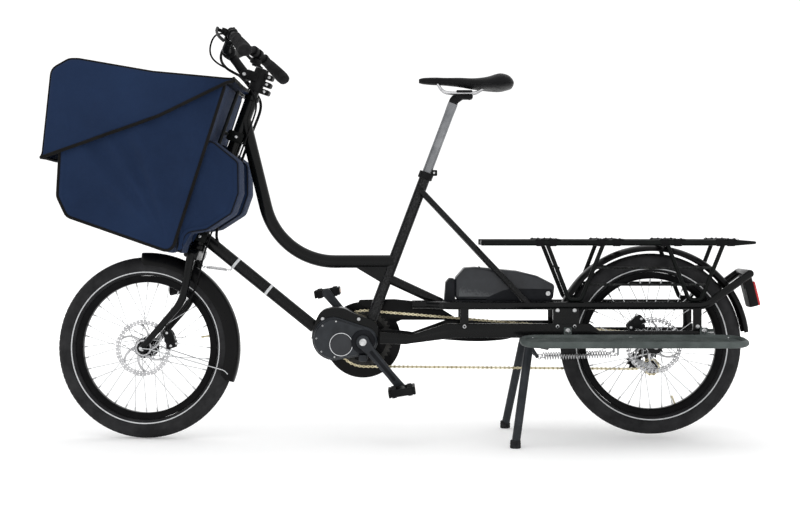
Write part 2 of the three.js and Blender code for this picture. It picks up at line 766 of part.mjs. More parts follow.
// A brake rotor: a band on slanted arms about a centre ring.
function rotor(name, side) {
  const shape = new THREE.Shape().absarc(0, 0, ROTOR_RADIUS, 0, Math.PI * 2);
  const inner = ROTOR_RADIUS - ROTOR_BAND;
  const slant = rad(SPOKE_CROSS_DEG / 2);
  const open = rad(SPOKE_CROSS_DEG) * (1 - ROTOR_BAND / inner);
  for (let i = 0; i < ROTOR_ARMS; i += 1) {
    const turn = (i / ROTOR_ARMS) * Math.PI * 2;
    const window = [];
    for (const [radius, shift] of [[ROTOR_CENTRE_RADIUS + ROTOR_BAND / 4, 0], [inner, slant]]) {
      const ends = [0, 1 / 2, 1].map((within) => turn + shift + open * within);
      const points = ends.map((t) => new THREE.Vector2(radius * Math.cos(t), radius * Math.sin(t)));
      window.push(...(radius === inner ? points.reverse() : points));
    }
    shape.holes.push(new THREE.Path(window));
  }
  const bore = new THREE.Path().absarc(0, 0, ROTOR_BORE_RADIUS, 0, Math.PI * 2);
  shape.holes.push(bore);
  const geometry = new THREE.ExtrudeGeometry(shape, { depth: ROTOR_THICKNESS, bevelEnabled: false, curveSegments: THIN_SIDES * 2 });
  geometry.rotateX(Math.PI / 2).translate(0, side + ROTOR_THICKNESS / 2, 0);
  return part(name, "steel", geometry);
}

function frontWheel() {
  const wheel = new THREE.Group();
  wheel.position.copy(FRONT_AXLE);
  wheel.add(
    tyre("front_tyre"),
    rim("front_rim"),
    hub("front_hub", FRONT_HUB_HALF, [-FRONT_FLANGE_AT, FRONT_FLANGE_AT], FRONT_ROTOR_AT),
    rotor("front_rotor", -FRONT_ROTOR_AT),
  );
  return wheel;
}

function rearWheel() {
  const wheel = new THREE.Group();
  wheel.position.copy(REAR_AXLE);
  const freehub = turned([
    [AXLE_RADIUS + FIT_GAP, REAR_FLANGE_RIGHT],
    [FREEHUB_RADIUS, REAR_FLANGE_RIGHT],
    [FREEHUB_RADIUS, REAR_HUB_HALF],
    [AXLE_RADIUS + FIT_GAP, REAR_HUB_HALF],
  ].reverse(), HUB_STEPS);
  wheel.add(
    tyre("rear_tyre"),
    rim("rear_rim"),
    hub("rear_hub", REAR_HUB_HALF, [-REAR_FLANGE_LEFT, REAR_FLANGE_RIGHT], REAR_ROTOR_AT, [freehub]),
    rotor("rear_rotor", -REAR_ROTOR_AT),
  );
  return wheel;
}

// Main frame: one weldment of head tube, main tube, down tube, seat tube, gusset and motor bracket.
function motorOutline(grow) {
  const motor = at(CRANK.x - MOTOR_AHEAD, 0, CRANK.z + MOTOR_RISE);
  const big = MOTOR_RADIUS + grow;
  const small = MOTOR_CRANK_RADIUS + grow;
  const lean = Math.atan2(CRANK.z - motor.z, CRANK.x - motor.x);
  const spread = Math.acos((big - small) / motor.distanceTo(CRANK));
  const shape = new THREE.Shape();
  shape.absarc(motor.x, motor.z, big, lean + spread, lean + Math.PI * 2 - spread);
  shape.absarc(CRANK.x, CRANK.z, small, lean - spread, lean + spread);
  return shape;
}

const BRACKET_SHARES = [[0, 0.08], [0.03, 0.42], [0.13, 0.86], [0.28, 1], [0.48, 1], [0.66, 0.83], [0.97, 0.56], [1, 0.1], [0.5, 0]];

function motorBracket() {
  const left = CRANK.x - DOWN_TUBE_END_AHEAD - DOWN_TUBE_RADIUS / 2;
  const base = CRANK.z;
  const outline = BRACKET_SHARES.map(([x, z]) => [left + x * BRACKET_LENGTH, base + z * BRACKET_HEIGHT]);
  const shell = cut(
    plate(outline, BRACKET_HALF_WIDTH * 2),
    plate(motorOutline(BRACKET_CLEARANCE), (BRACKET_HALF_WIDTH + CUT_OVERRUN) * 2),
  );
  return shell;
}

function mainTubeCorners() {
  const top = onSteer(HEAD_TUBE_FROM + HEAD_TUBE_LENGTH - MAIN_TUBE_TOP_DROP);
  const fall = top.z - MAIN_TUBE_HEIGHT;
  const low = at(top.x + fall * Math.tan(rad(MAIN_TUBE_LEAN_DEG)), 0, MAIN_TUBE_HEIGHT);
  const seat = onSeat((MAIN_TUBE_HEIGHT - CRANK.z) / SEAT_UP.z);
  return [top, low, seat];
}

function frontFrame() {
  const bottom = onSteer(HEAD_TUBE_FROM);
  const top = onSteer(HEAD_TUBE_FROM + HEAD_TUBE_LENGTH);
  const [, , mainEnd] = mainTubeCorners();
  const downTop = onSteer(HEAD_TUBE_FROM + DOWN_TUBE_TOP_RISE);
  const downEnd = at(CRANK.x - DOWN_TUBE_END_AHEAD, 0, CRANK.z + DOWN_TUBE_END_ABOVE);
  const seatTop = onSeat(SEAT_TUBE_LENGTH);
  const gusset = plate([
    [mainEnd.x - GUSSET_LENGTH - MAIN_TUBE_RADIUS, mainEnd.z],
    [mainEnd.x, mainEnd.z],
    [onSeat((mainEnd.z - GUSSET_DROP - CRANK.z) / SEAT_UP.z).x, mainEnd.z - GUSSET_DROP],
    [mainEnd.x - GUSSET_LENGTH - MAIN_TUBE_RADIUS, mainEnd.z - MAIN_TUBE_RADIUS],
  ], GUSSET_THICKNESS);
  const cups = [
    rod(bottom, onSteer(HEAD_TUBE_FROM + HEAD_CUP_HEIGHT), HEAD_CUP_RADIUS, HUB_STEPS),
    rod(onSteer(HEAD_TUBE_FROM + HEAD_TUBE_LENGTH - HEAD_CUP_HEIGHT), top, HEAD_CUP_RADIUS, HUB_STEPS),
  ];
  const weldment = join(
    rod(bottom, top, HEAD_TUBE_RADIUS, HUB_STEPS),
    cups,
    bar(bent(mainTubeCorners(), MAIN_TUBE_BEND, PIPE_SIDES), MAIN_TUBE_RADIUS, PIPE_SIDES + 2),
    rod(downTop, downEnd, DOWN_TUBE_RADIUS, PIPE_SIDES + 2),
    rod(onSeat(SEAT_TUBE_FROM), seatTop, SEAT_TUBE_RADIUS, PIPE_SIDES + 2),
    gusset,
    motorBracket(),
    bracketBolts(),
    springHook(),
  );
  const steererBore = rod(
    onSteer(HEAD_TUBE_FROM - CUT_OVERRUN),
    onSteer(HEAD_TUBE_FROM + HEAD_TUBE_LENGTH + CUT_OVERRUN),
    STEERER_RADIUS + STEERER_CLEARANCE,
    HUB_STEPS,
  );
  const seatBore = rod(
    onSeat(SEAT_TUBE_LENGTH - SEAT_BORE_DEPTH),
    onSeat(SEAT_TUBE_LENGTH + CUT_OVERRUN),
    POST_RADIUS + FIT_GAP,
    PIPE_SIDES + 2,
  );
  const motorSpace = plate(motorOutline(BRACKET_CLEARANCE), (MOTOR_HALF_WIDTH + CUT_OVERRUN) * 2);
  return part("front_frame", "gloss_black", cut(weldment, steererBore, seatBore, motorSpace));
}

// Two bolt heads on each side of the motor bracket.
function bracketBolts() {
  const left = CRANK.x - DOWN_TUBE_END_AHEAD;
  const places = [
    at(left + BRACKET_LENGTH / 8, 0, CRANK.z + BRACKET_HEIGHT * 3 / 4 - BRACKET_BOLT_RADIUS),
    at(left + BRACKET_LENGTH * 2 / 3, 0, CRANK.z + BRACKET_HEIGHT * 2 / 3),
  ];
  return places.map((p) => drum(p, BRACKET_BOLT_RADIUS, (BRACKET_HALF_WIDTH + BRACKET_BOLT_HEAD) * 2, THIN_SIDES));
}

// Rear frame: rails, beams, struts, stays and dropouts on both sides, tied across.
function railCorners(side) {
  const front = REAR_AXLE.x - TUBE_CROSS_AHEAD - RAIL_PAST_CROSS;
  return [
    at(front - RAIL_FLARE_LENGTH / 2, side * RAIL_FRONT_SPREAD, RAIL_HEIGHT),
    at(front, side * RAIL_FRONT_SPREAD, RAIL_HEIGHT),
    at(front + RAIL_FLARE_LENGTH, side * RAIL_SPREAD, RAIL_HEIGHT),
    at(REAR_AXLE.x + RAIL_KICK_BEHIND, side * RAIL_SPREAD, RAIL_HEIGHT),
    at(REAR_AXLE.x + RAIL_END_BEHIND, side * RAIL_SPREAD, RAIL_HEIGHT + RAIL_END_RISE),
  ];
}

const BEAM_TOP = RAIL_HEIGHT - BEAM_TOP_BELOW_RAIL;
const BEAM_BOTTOM = BEAM_TOP - BEAM_HEIGHT;

// The beams start close together behind the motor and spread out behind the cranks.
// Each station gives its place along the beam, and its low edge, high edge and spread as shares.
const BEAM_SHARES = [
  [0, -0.48, 0.38, 0.56],
  [0.08, -0.52, 0.18, 0.56],
  [0.096, -0.45, 0.15, 0.62],
  [0.206, -0.07, 1, 1],
  [0.234, 0, 1, 1],
  [0.652, 0, 1, 1],
  [0.68, 0, 0.5, 1],
  [1, 0, 0.5, 1],
];

function beam(side) {
  const front = CRANK.x + BEAM_FRONT_BEHIND;
  const length = REAR_AXLE.x + BEAM_REAR_BEHIND - front;
  return loft(BEAM_SHARES.map(([along, low, high, out]) => {
    const x = front + along * length;
    const y = side * BEAM_SPREAD * out;
    const half = BEAM_WIDTH / 2;
    return [[-half, low], [half, low], [half, high], [-half, high]]
      .map(([across, up]) => at(x, y + across, BEAM_BOTTOM + up * BEAM_HEIGHT));
  }));
}

function strut(x, width, side) {
  return plate([
    [x - width / 2, BEAM_TOP - BEAM_HEIGHT / 2],
    [x + width / 2, BEAM_TOP - BEAM_HEIGHT / 2],
    [x + width / 2, RAIL_HEIGHT],
    [x - width / 2, RAIL_HEIGHT],
  ], STRUT_THICKNESS, side * BEAM_SPREAD);
}

function dropout(side) {
  const half = DROPOUT_WIDTH / 2;
  const centre = at(REAR_AXLE.x, side * (REAR_HUB_HALF + FIT_GAP * 2 + DROPOUT_THICKNESS / 2), REAR_AXLE.z);
  return [
    drum(centre, half, DROPOUT_THICKNESS),
    plate([
      [REAR_AXLE.x - half, REAR_AXLE.z],
      [REAR_AXLE.x + half, REAR_AXLE.z],
      [REAR_AXLE.x + DROPOUT_WIDTH, BEAM_BOTTOM + BEAM_NARROW_HEIGHT / 2],
      [REAR_AXLE.x - DROPOUT_WIDTH, BEAM_BOTTOM + BEAM_NARROW_HEIGHT / 2],
    ], DROPOUT_THICKNESS, centre.y),
  ];
}

const STAND_PIVOT = at(REAR_AXLE.x - STAND_PIVOT_AHEAD, 0, BEAM_BOTTOM - STAND_PIVOT_BELOW_BEAM);

// The ear on each beam that holds the stand's pin.
function standEar(side) {
  const centre = at(STAND_PIVOT.x, side * BEAM_SPREAD, STAND_PIVOT.z);
  const bracket = plate([
    [centre.x - STAND_EAR_LENGTH / 2, BEAM_BOTTOM + BEAM_HEIGHT / 4],
    [centre.x - STAND_EAR_LENGTH / 4, centre.z - STAND_EAR_LENGTH / 3],
    [centre.x + STAND_EAR_LENGTH / 4, centre.z - STAND_EAR_LENGTH / 3],
    [centre.x + STAND_EAR_LENGTH / 2, BEAM_BOTTOM + BEAM_HEIGHT / 4],
  ], STAND_EAR_THICKNESS, centre.y);
  return cut(bracket, drum(centre, STAND_PIN_RADIUS + FIT_GAP, BEAM_WIDTH));
}

// Where each return spring starts on the stand and ends on the frame.
function springEnds(side) {
  const start = at(STAND_PIVOT.x + STAND_ARM_BACK, side * SPRING_SPREAD, STAND_PIVOT.z - STAND_ARM_DROP);
  return [start, at(start.x + SPRING_LENGTH, start.y, start.z + SPRING_RISE)];
}

function springHanger(side) {
  const [start, end] = springEnds(side);
  const out = end.clone().sub(start).normalize();
  const eye = end.clone().addScaledVector(out, FIT_GAP + SPRING_LUG_RADIUS);
  const top = at(eye.x, side * (BEAM_SPREAD - BEAM_WIDTH / 4), BEAM_BOTTOM + BEAM_NARROW_HEIGHT / 2);
  const knee = at(eye.x, top.y, eye.z + SPRING_LUG_RADIUS);
  return [
    bar([top, knee, at(eye.x, side * (SPRING_SPREAD - SPRING_COIL_RADIUS), eye.z)], SPRING_LUG_RADIUS - FIT_GAP, THIN_SIDES),
    block(eye, out, SPRING_LUG_RADIUS * 2, SPRING_COIL_RADIUS * 2, SPRING_LUG_RADIUS * 2),
  ];
}

function rearFrame() {
  const seatEnd = onSeat(UPPER_REAR_TUBE_AT);
  const gap = SEAT_TUBE_RADIUS + FIT_GAP;
  const tubeEnd = at(REAR_AXLE.x - TUBE_CROSS_AHEAD, 0, RAIL_HEIGHT + UPPER_TUBE_RISE);
  const pieces = [rod(seatEnd, tubeEnd, UPPER_REAR_TUBE_RADIUS)];
  for (const side of SIDES) {
    const stayFoot = at(REAR_AXLE.x - STAY_FOOT_AHEAD, side * RAIL_SPREAD, RAIL_HEIGHT);
    const stayTop = onSeat(STAY_TOP_AT);
    stayTop.y = side * STAY_TOP_SPREAD;
    pieces.push(
      bar(bent(railCorners(side), RAIL_BEND), RAIL_RADIUS),
      beam(side),
      strut(REAR_AXLE.x - FRONT_STRUT_AHEAD, STRUT_WIDTH, side),
      strut(REAR_AXLE.x - WHEEL_PLATE_AHEAD, WHEEL_PLATE_WIDTH, side),
      strut(REAR_AXLE.x + REAR_STRUT_BEHIND, STRUT_WIDTH, side),
      rod(stayTop, stayFoot, STAY_RADIUS),
      standEar(side),
      ...dropout(side),
      ...springHanger(side),
    );
  }
  const across = (x, z, radius) => rod(at(x, -RAIL_SPREAD, z), at(x, RAIL_SPREAD, z), radius);
  const stayTie = onSeat(STAY_TOP_AT);
  const [, , , , bow] = railCorners(RIGHT);
  pieces.push(
    across(REAR_AXLE.x - TUBE_CROSS_AHEAD, RAIL_HEIGHT, CROSS_TUBE_RADIUS),
    across(REAR_AXLE.x - FRONT_CROSS_AHEAD, RAIL_HEIGHT, CROSS_TUBE_RADIUS),
    across(REAR_AXLE.x - REAR_CROSS_AHEAD, RAIL_HEIGHT, CROSS_TUBE_RADIUS),
    across(REAR_AXLE.x - LOWER_CROSS_AHEAD, BEAM_TOP - BEAM_HEIGHT / 2, CROSS_TUBE_RADIUS),
    across(bow.x, bow.z, RAIL_RADIUS),
    rod(at(REAR_AXLE.x, -REAR_HUB_HALF - DROPOUT_WIDTH / 2, REAR_AXLE.z), at(REAR_AXLE.x, REAR_HUB_HALF + DROPOUT_WIDTH / 2, REAR_AXLE.z), AXLE_RADIUS),
    rod(at(stayTie.x, -STAY_TOP_SPREAD, stayTie.z), at(stayTie.x, STAY_TOP_SPREAD, stayTie.z), STAY_RADIUS),
    motorLink(),
  );
  const seatTube = rod(onSeat(SEAT_TUBE_FROM), onSeat(SEAT_TUBE_LENGTH), gap, PIPE_SIDES + 2);
  return part("rear_frame", "gloss_black", cut(join(pieces), seatTube, motorRoom()));
}

// The cross plate that bolts the beams to the back of the motor.
function motorLink() {
  const x = CRANK.x + BEAM_FRONT_BEHIND + STRUT_THICKNESS / 2;
  const z = BEAM_BOTTOM - BEAM_FRONT_DROP / 3;
  return block(at(x, 0, z), at(1, 0, 0), STRUT_THICKNESS, BEAM_SPREAD, BEAM_FRONT_DROP);
}

const motorRoom = () => plate(motorOutline(FIT_GAP), (MOTOR_HALF_WIDTH + CUT_OVERRUN) * 2);

// Rack: side rails with slim tips, cross bars, support loops and thin side rods.
const RACK_HEIGHT = REAR_AXLE.z + REAR_GUARD_RADIUS + RACK_ABOVE_GUARD;

function rackLoop(x, side) {
  const top = RACK_HEIGHT - RACK_RAIL_RADIUS / 2;
  const foot = RAIL_HEIGHT + RAIL_RADIUS + RACK_LOOP_RADIUS * Math.cos(Math.PI / THIN_SIDES) + FIT_GAP;
  const y = side * RACK_LOOP_SPREAD;
  return bar(bent([
    at(x - LOOP_TOP_LENGTH / 2, side * RACK_SPREAD, top),
    at(x - LOOP_FOOT_LENGTH / 2, y, foot),
    at(x + LOOP_FOOT_LENGTH / 2, y, foot),
    at(x + LOOP_TOP_LENGTH / 2, side * RACK_SPREAD, top),
  ], RACK_LOOP_BEND / 2, 2), RACK_LOOP_RADIUS, THIN_SIDES);
}

function rackBarPlaces() {
  const front = REAR_AXLE.x - RACK_FRONT_AHEAD + RACK_RAIL_RADIUS;
  const rear = REAR_AXLE.x + RACK_REAR_BEHIND - RACK_RAIL_RADIUS;
  return Array.from({ length: RACK_BARS }, (_, i) => THREE.MathUtils.lerp(front, rear, i / (RACK_BARS - 1)));
}

function rackBar(x, grow = 0) {
  return rod(at(x, -RACK_SPREAD, RACK_HEIGHT), at(x, RACK_SPREAD, RACK_HEIGHT), RACK_BAR_RADIUS + grow, THIN_SIDES);
}

function rack() {
  const front = REAR_AXLE.x - RACK_FRONT_AHEAD;
  const rear = REAR_AXLE.x + RACK_REAR_BEHIND;
  const pieces = [];
  for (const side of SIDES) {
    const y = side * RACK_SPREAD;
    pieces.push(
      tapered(
        [at(front, y, RACK_HEIGHT), at(rear, y, RACK_HEIGHT), at(rear + RACK_TIP_LENGTH, y, RACK_HEIGHT)],
        [RACK_RAIL_RADIUS, RACK_RAIL_RADIUS, RACK_TIP_RADIUS],
      ),
      rackLoop(REAR_AXLE.x - FRONT_LOOP_AHEAD, side),
      rackLoop(REAR_AXLE.x + REAR_LOOP_BEHIND, side),
    );
    for (const share of SIDE_ROD_SHARES) {
      const drop = share * (RACK_HEIGHT - RAIL_HEIGHT);
      const lean = share * (LOOP_TOP_LENGTH - LOOP_FOOT_LENGTH) / 2;
      const reach = LOOP_TOP_LENGTH / 2 - lean;
      const rodY = side * THREE.MathUtils.lerp(RACK_SPREAD, RACK_LOOP_SPREAD, share);
      pieces.push(rod(
        at(REAR_AXLE.x - FRONT_LOOP_AHEAD + reach - RACK_LOOP_RADIUS, rodY, RACK_HEIGHT - drop),
        at(REAR_AXLE.x + REAR_LOOP_BEHIND + reach, rodY, RACK_HEIGHT - drop),
        LOOP_BAR_RADIUS,
        THIN_SIDES,
      ));
    }
  }
  rackBarPlaces().forEach((x) => pieces.push(rackBar(x)));
  return part("rack", "gloss_black", cut(join(pieces), stayRoom(), guardRoom(REAR_GUARD_RADIUS, REAR_GUARD_HALF_WIDTH)));
}

// The stays with running room, which the rack's front ends are cut to.
function stayRoom() {
  return SIDES.map((side) => {
    const top = onSeat(STAY_TOP_AT);
    top.y = side * STAY_TOP_SPREAD;
    return rod(top, at(REAR_AXLE.x - STAY_FOOT_AHEAD, side * RAIL_SPREAD, RAIL_HEIGHT), STAY_RADIUS + FIT_GAP);
  });
}

function guardRoom(radius, half) {
  return drum(REAR_AXLE, radius + FIT_GAP, (half + FIT_GAP) * 2, WHEEL_STEPS * 2);
}

function guardProfile(radius, half, side) {
  const wall = GUARD_WALL;
  return [
    [radius - side, -half],
    [radius - side / 3, -half],
    [radius, -half / 2],
    [radius, half / 2],
    [radius - side / 3, half],
    [radius - side, half],
    [radius - side, half - wall],
    [radius - side / 3 - wall / 2, half - wall],
    [radius - wall, half / 2 - wall / 2],
    [radius - wall, -half / 2 + wall / 2],
    [radius - side / 3 - wall / 2, -half + wall],
    [radius - side, -half + wall],
  ];
}

function rearMudguard() {
  const band = arcBand(
    guardProfile(REAR_GUARD_RADIUS, REAR_GUARD_HALF_WIDTH, REAR_GUARD_SIDE),
    REAR_GUARD_FROM_DEG, REAR_GUARD_TO_DEG, ROUND_STEPS, REAR_AXLE,
  );
  const reach = (x) => Math.abs(x - REAR_AXLE.x);
  const [x] = rackBarPlaces().sort((a, b) => reach(a) - reach(b));
  const bossFoot = at(x, 0, REAR_AXLE.z + Math.sqrt((REAR_GUARD_RADIUS - GUARD_WALL) ** 2 - reach(x) ** 2));
  const boss = rod(bossFoot, at(x, 0, RACK_HEIGHT), GUARD_BOSS_RADIUS);
  return part("rear_mudguard", "gloss_black", cut(join(band, boss), rackBar(x, FIT_GAP)));
}

// Rear lamp: a leaning housing behind the bow, with its red lens.
function lampPlace() {
  const lean = rad(LAMP_LEAN_DEG);
  const down = at(Math.sin(lean), 0, -Math.cos(lean));
  const back = at(Math.cos(lean), 0, Math.sin(lean));
  const top = at(REAR_AXLE.x + LAMP_BEHIND, 0, REAR_AXLE.z + LAMP_TOP_ABOVE);
  return { down, back, top };
}

function rearLight() {
  const { down, back, top } = lampPlace();
  const centre = top.clone().addScaledVector(down, LAMP_HEIGHT / 2);
  const body = block(centre, back, LAMP_DEPTH, LAMP_HALF_WIDTH * 2, LAMP_HEIGHT);
  const [, , , , bow] = railCorners(RIGHT);
  const bowRoom = rod(at(bow.x, -RAIL_SPREAD, bow.z), at(bow.x, RAIL_SPREAD, bow.z), RAIL_RADIUS + FIT_GAP);
  return part("rear_light", "satin_black", cut(body, bowRoom, guardRoom(REAR_GUARD_RADIUS, REAR_GUARD_HALF_WIDTH)));
}

function rearReflector() {
  const { down, back, top } = lampPlace();
  const centre = top.clone()
    .addScaledVector(down, LAMP_HEIGHT - LENS_HEIGHT / 2)
    .addScaledVector(back, LAMP_DEPTH / 2 + FIT_GAP + LENS_DEPTH / 2);
  return part("rear_reflector", "red", block(centre, back, LENS_DEPTH, LENS_HALF_WIDTH * 2, LENS_HEIGHT));
}

// Running board: a closed tube loop, a panel inside it and two flat brackets to the frame.
function boardHeight(spread) {
  const share = (spread - BOARD_INNER_SPREAD) / (BOARD_OUTER_SPREAD - BOARD_INNER_SPREAD);
  return BOARD_HEIGHT - share * BOARD_TILT;
}

function runningBoard(name, side) {
  const front = REAR_AXLE.x - BOARD_FRONT_AHEAD;
  const rear = REAR_AXLE.x + BOARD_REAR_BEHIND;
  const place = (x, spread) => at(x, side * spread, boardHeight(spread));
  const corners = [
    place(front, BOARD_INNER_SPREAD),
    place(rear, BOARD_INNER_SPREAD),
    place(rear, BOARD_OUTER_SPREAD),
    place(front, BOARD_OUTER_SPREAD),
  ];
  const loop = loopBar(ring(corners, BOARD_CORNER), BOARD_TUBE_RADIUS, THIN_SIDES);
  const half = BOARD_PANEL_THICKNESS / 2;
  const edge = BOARD_TUBE_RADIUS / 2;
  const panel = (rise) => ring([
    place(front + edge, BOARD_INNER_SPREAD + edge),
    place(rear - edge, BOARD_INNER_SPREAD + edge),
    place(rear - edge, BOARD_OUTER_SPREAD - edge),
    place(front + edge, BOARD_OUTER_SPREAD - edge),
  ], BOARD_CORNER).map((p) => at(p.x, p.y, p.z + rise));
  const brackets = BOARD_BRACKETS_SHARE.map((share) => boardBracket(THREE.MathUtils.lerp(front, rear, share), side));
  return part(name, "dark_grey", loop, loft([panel(-half), panel(half)]), brackets);
}

function boardBracket(x, side) {
  const inner = BEAM_SPREAD + BEAM_WIDTH / 2 + FIT_GAP;
  const top = BEAM_BOTTOM + BEAM_HEIGHT * 3 / 4;
  const knee = BEAM_BOTTOM + BEAM_NARROW_HEIGHT / 2;
  const t = BOARD_BRACKET_THICKNESS;
  const section = [
    [inner, knee - t], [inner, top], [inner + t, top], [inner + t, knee],
    [BOARD_INNER_SPREAD, boardHeight(BOARD_INNER_SPREAD) + t], [BOARD_INNER_SPREAD, boardHeight(BOARD_INNER_SPREAD)],
  ];
  const loop = (shift) => section.map(([y, z]) => at(x + shift, side * y, z));
  const boltCentre = at(x, side * (inner + t + BOARD_BOLT_LENGTH / 2), top - BOARD_BOLT_RADIUS);
  return [
    loft([loop(-BOARD_BRACKET_WIDTH / 2), loop(BOARD_BRACKET_WIDTH / 2)]),
    drum(boltCentre, BOARD_BOLT_RADIUS, BOARD_BOLT_LENGTH + t, HOSE_SIDES),
  ];
}

// Centre stand: cross tube, splayed legs with feet, spring arms and foot lever, with pins in the frame's ears.
function stand() {
  const pieces = [];
  const inner = BEAM_SPREAD - STAND_EAR_THICKNESS / 2 - FIT_GAP;
  const outer = BEAM_SPREAD + STAND_EAR_THICKNESS / 2 + FIT_GAP;
  pieces.push(
    rod(at(STAND_PIVOT.x, -inner, STAND_PIVOT.z), at(STAND_PIVOT.x, inner, STAND_PIVOT.z), STAND_TUBE_RADIUS),
    rod(at(STAND_PIVOT.x, -STAND_TOP_SPREAD, STAND_PIVOT.z), at(STAND_PIVOT.x, STAND_TOP_SPREAD, STAND_PIVOT.z), STAND_PIN_RADIUS, HOSE_SIDES),
  );
  for (const side of SIDES) {
    const top = at(STAND_PIVOT.x, side * STAND_TOP_SPREAD, STAND_PIVOT.z);
    const foot = at(STAND_PIVOT.x - STAND_FOOT_AHEAD, side * STAND_FOOT_SPREAD, STAND_FOOT_HEIGHT);
    const [eye] = springEnds(side);
    const [start, end] = springEnds(side);
    const out = end.clone().sub(start).normalize();
    const lug = start.clone().addScaledVector(out, -FIT_GAP - SPRING_LUG_RADIUS);
    pieces.push(
      rod(at(top.x, side * outer, top.z), top, STAND_TUBE_RADIUS),
      new THREE.SphereGeometry(STAND_TUBE_RADIUS, HOSE_SIDES, THIN_SIDES).translate(top.x, top.y, top.z),
      rod(top, foot, STAND_TUBE_RADIUS),
      rod(at(foot.x, foot.y, 0), at(foot.x, foot.y, STAND_FOOT_HEIGHT + STAND_TUBE_RADIUS / 2), STAND_FOOT_RADIUS),
      rod(at(STAND_PIVOT.x, eye.y, STAND_PIVOT.z), lug, STAND_ARM_RADIUS, HOSE_SIDES),
      block(lug, out, SPRING_LUG_RADIUS * 2, SPRING_COIL_RADIUS * 2, SPRING_LUG_RADIUS * 2),
    );
  }
  const leverRoot = at(STAND_PIVOT.x, -STAND_LEVER_ASIDE, STAND_PIVOT.z - STAND_TUBE_RADIUS / 2);
  const leverTip = at(leverRoot.x + STAND_LEVER_LENGTH + STAND_TUBE_RADIUS, leverRoot.y, leverRoot.z - STAND_TUBE_RADIUS);
  pieces.push(rod(leverRoot, leverTip, STAND_LEVER_RADIUS, HOSE_SIDES));
  return part("stand", "dark_grey", pieces);
}

// A coiled spring between two points, with straight ends on its axis.
function coil(start, end, coilRadius, wireRadius, coils, endLength) {
  const axis = end.clone().sub(start).normalize();
  const length = end.distanceTo(start);
  const sideways = at(0, 1, 0);
  const across = axis.clone().cross(sideways).normalize();
  const run = length - endLength * 2;
  const points = [start.clone(), start.clone().addScaledVector(axis, endLength / 2)];
  const steps = coils * COIL_STEPS;
  for (let i = 0; i <= steps; i += 1) {
    const turn = (i / COIL_STEPS) * Math.PI * 2;
    points.push(start.clone()
      .addScaledVector(axis, endLength + (run * i) / steps)
      .addScaledVector(sideways, Math.sin(turn) * coilRadius)
      .addScaledVector(across, Math.cos(turn) * coilRadius));
  }
  points.push(end.clone().addScaledVector(axis, -endLength / 2), end.clone());
  return { points, gap: leastGap(points, wireRadius, COIL_STEPS) };
}

// The least distance between the surfaces of two stretches of a wire that are more than half a turn apart.
function leastGap(points, wireRadius, turnSteps) {
  let least = Infinity;
  for (let i = 0; i < points.length; i += 1) {
    const far = Math.min(points.length, i + turnSteps * 3);
    for (let j = i + Math.ceil(turnSteps / 2) + 1; j < far; j += 1) {
      least = Math.min(least, points[i].distanceTo(points[j]) - wireRadius * 2);
    }
  }
  return least;
}

function wound(name, finish, start, end, coilRadius, wireRadius, coils, endLength) {
  const { points, gap } = coil(start, end, coilRadius, wireRadius, coils, endLength);
  console.log(`${name} least gap to itself ${gap.toFixed(2)} mm`);
  return part(name, finish, tapered(points, points.map(() => wireRadius), COIL_SIDES));
}

function standSprings() {
  return [["stand_spring_left", LEFT], ["stand_spring_right", RIGHT]].map(([name, side]) => {
    const [start, end] = springEnds(side);
    return wound(name, "silver", start, end, SPRING_COIL_RADIUS, SPRING_WIRE_RADIUS, SPRING_COILS, SPRING_END_LENGTH);
  });
}

// The place that a point of the steering takes when it is turned as the bike stands.
const steered = (point) => {
  const turn = new THREE.Quaternion().setFromAxisAngle(STEER_UP, -rad(STEER_TURN_DEG));
  const foot = onSteer(0);
  return point.clone().sub(foot).applyQuaternion(turn).add(foot);
};

// The centring spring runs from a lug behind the crown to a hook below the down tube.
function centringEnds() {
  const lug = steered(onSteer(CENTRE_LUG_FROM, -CENTRE_LUG_BACK));
  const hook = onSteer(CENTRE_HOOK_FROM, -CENTRE_HOOK_BACK);
  const axis = hook.clone().sub(lug).normalize();
  const shy = CENTRE_LUG_RADIUS + FIT_GAP;
  return [lug.addScaledVector(axis, shy), hook.addScaledVector(axis, -shy)];
}

const centringAxis = () => onSteer(CENTRE_HOOK_FROM, -CENTRE_HOOK_BACK)
  .sub(onSteer(CENTRE_LUG_FROM, -CENTRE_LUG_BACK))
  .normalize();

function centringBlock(centre) {
  const size = CENTRE_LUG_RADIUS * 2;
  return block(centre, centringAxis(), size, size, size);
}

function springHook() {
  const hook = onSteer(CENTRE_HOOK_FROM, -CENTRE_HOOK_BACK);
  const root = hook.clone().add(at(0, 0, CENTRE_HOOK_RISE));
  return [rod(hook, root, CENTRE_LUG_RADIUS / 2, THIN_SIDES), centringBlock(hook)];
}

// Fork: steerer, crown, curved tapering legs, dropouts and axle.
function legPoints(side) {
  const corners = [
    onSteer(HEAD_TUBE_FROM - CROWN_HEIGHT / 2, 0, side * LEG_TOP_SPREAD),
    onSteer(LEG_KNEE_FROM, -LEG_KNEE_BACK, side * (LEG_TOP_SPREAD + LEG_FOOT_SPREAD) / 2),
    onSteer(0, FORK_OFFSET, side * LEG_FOOT_SPREAD),
  ];
  return bent(corners, LEG_BEND);
}

function leg(side, grow = 0) {
  const points = legPoints(side);
  const radii = points.map((_, i) => THREE.MathUtils.lerp(LEG_TOP_RADIUS, LEG_FOOT_RADIUS, i / (points.length - 1)) + grow);
  return tapered(points, radii);
}

function crownBlock(grow = 0) {
  const centre = onSteer(HEAD_TUBE_FROM - FIT_GAP * 2 - CROWN_HEIGHT / 2);
  const more = grow * 2;
  return block(centre, STEER_UP, CROWN_HEIGHT + more, CROWN_HALF_WIDTH * 2 + more, CROWN_LENGTH + more);
}

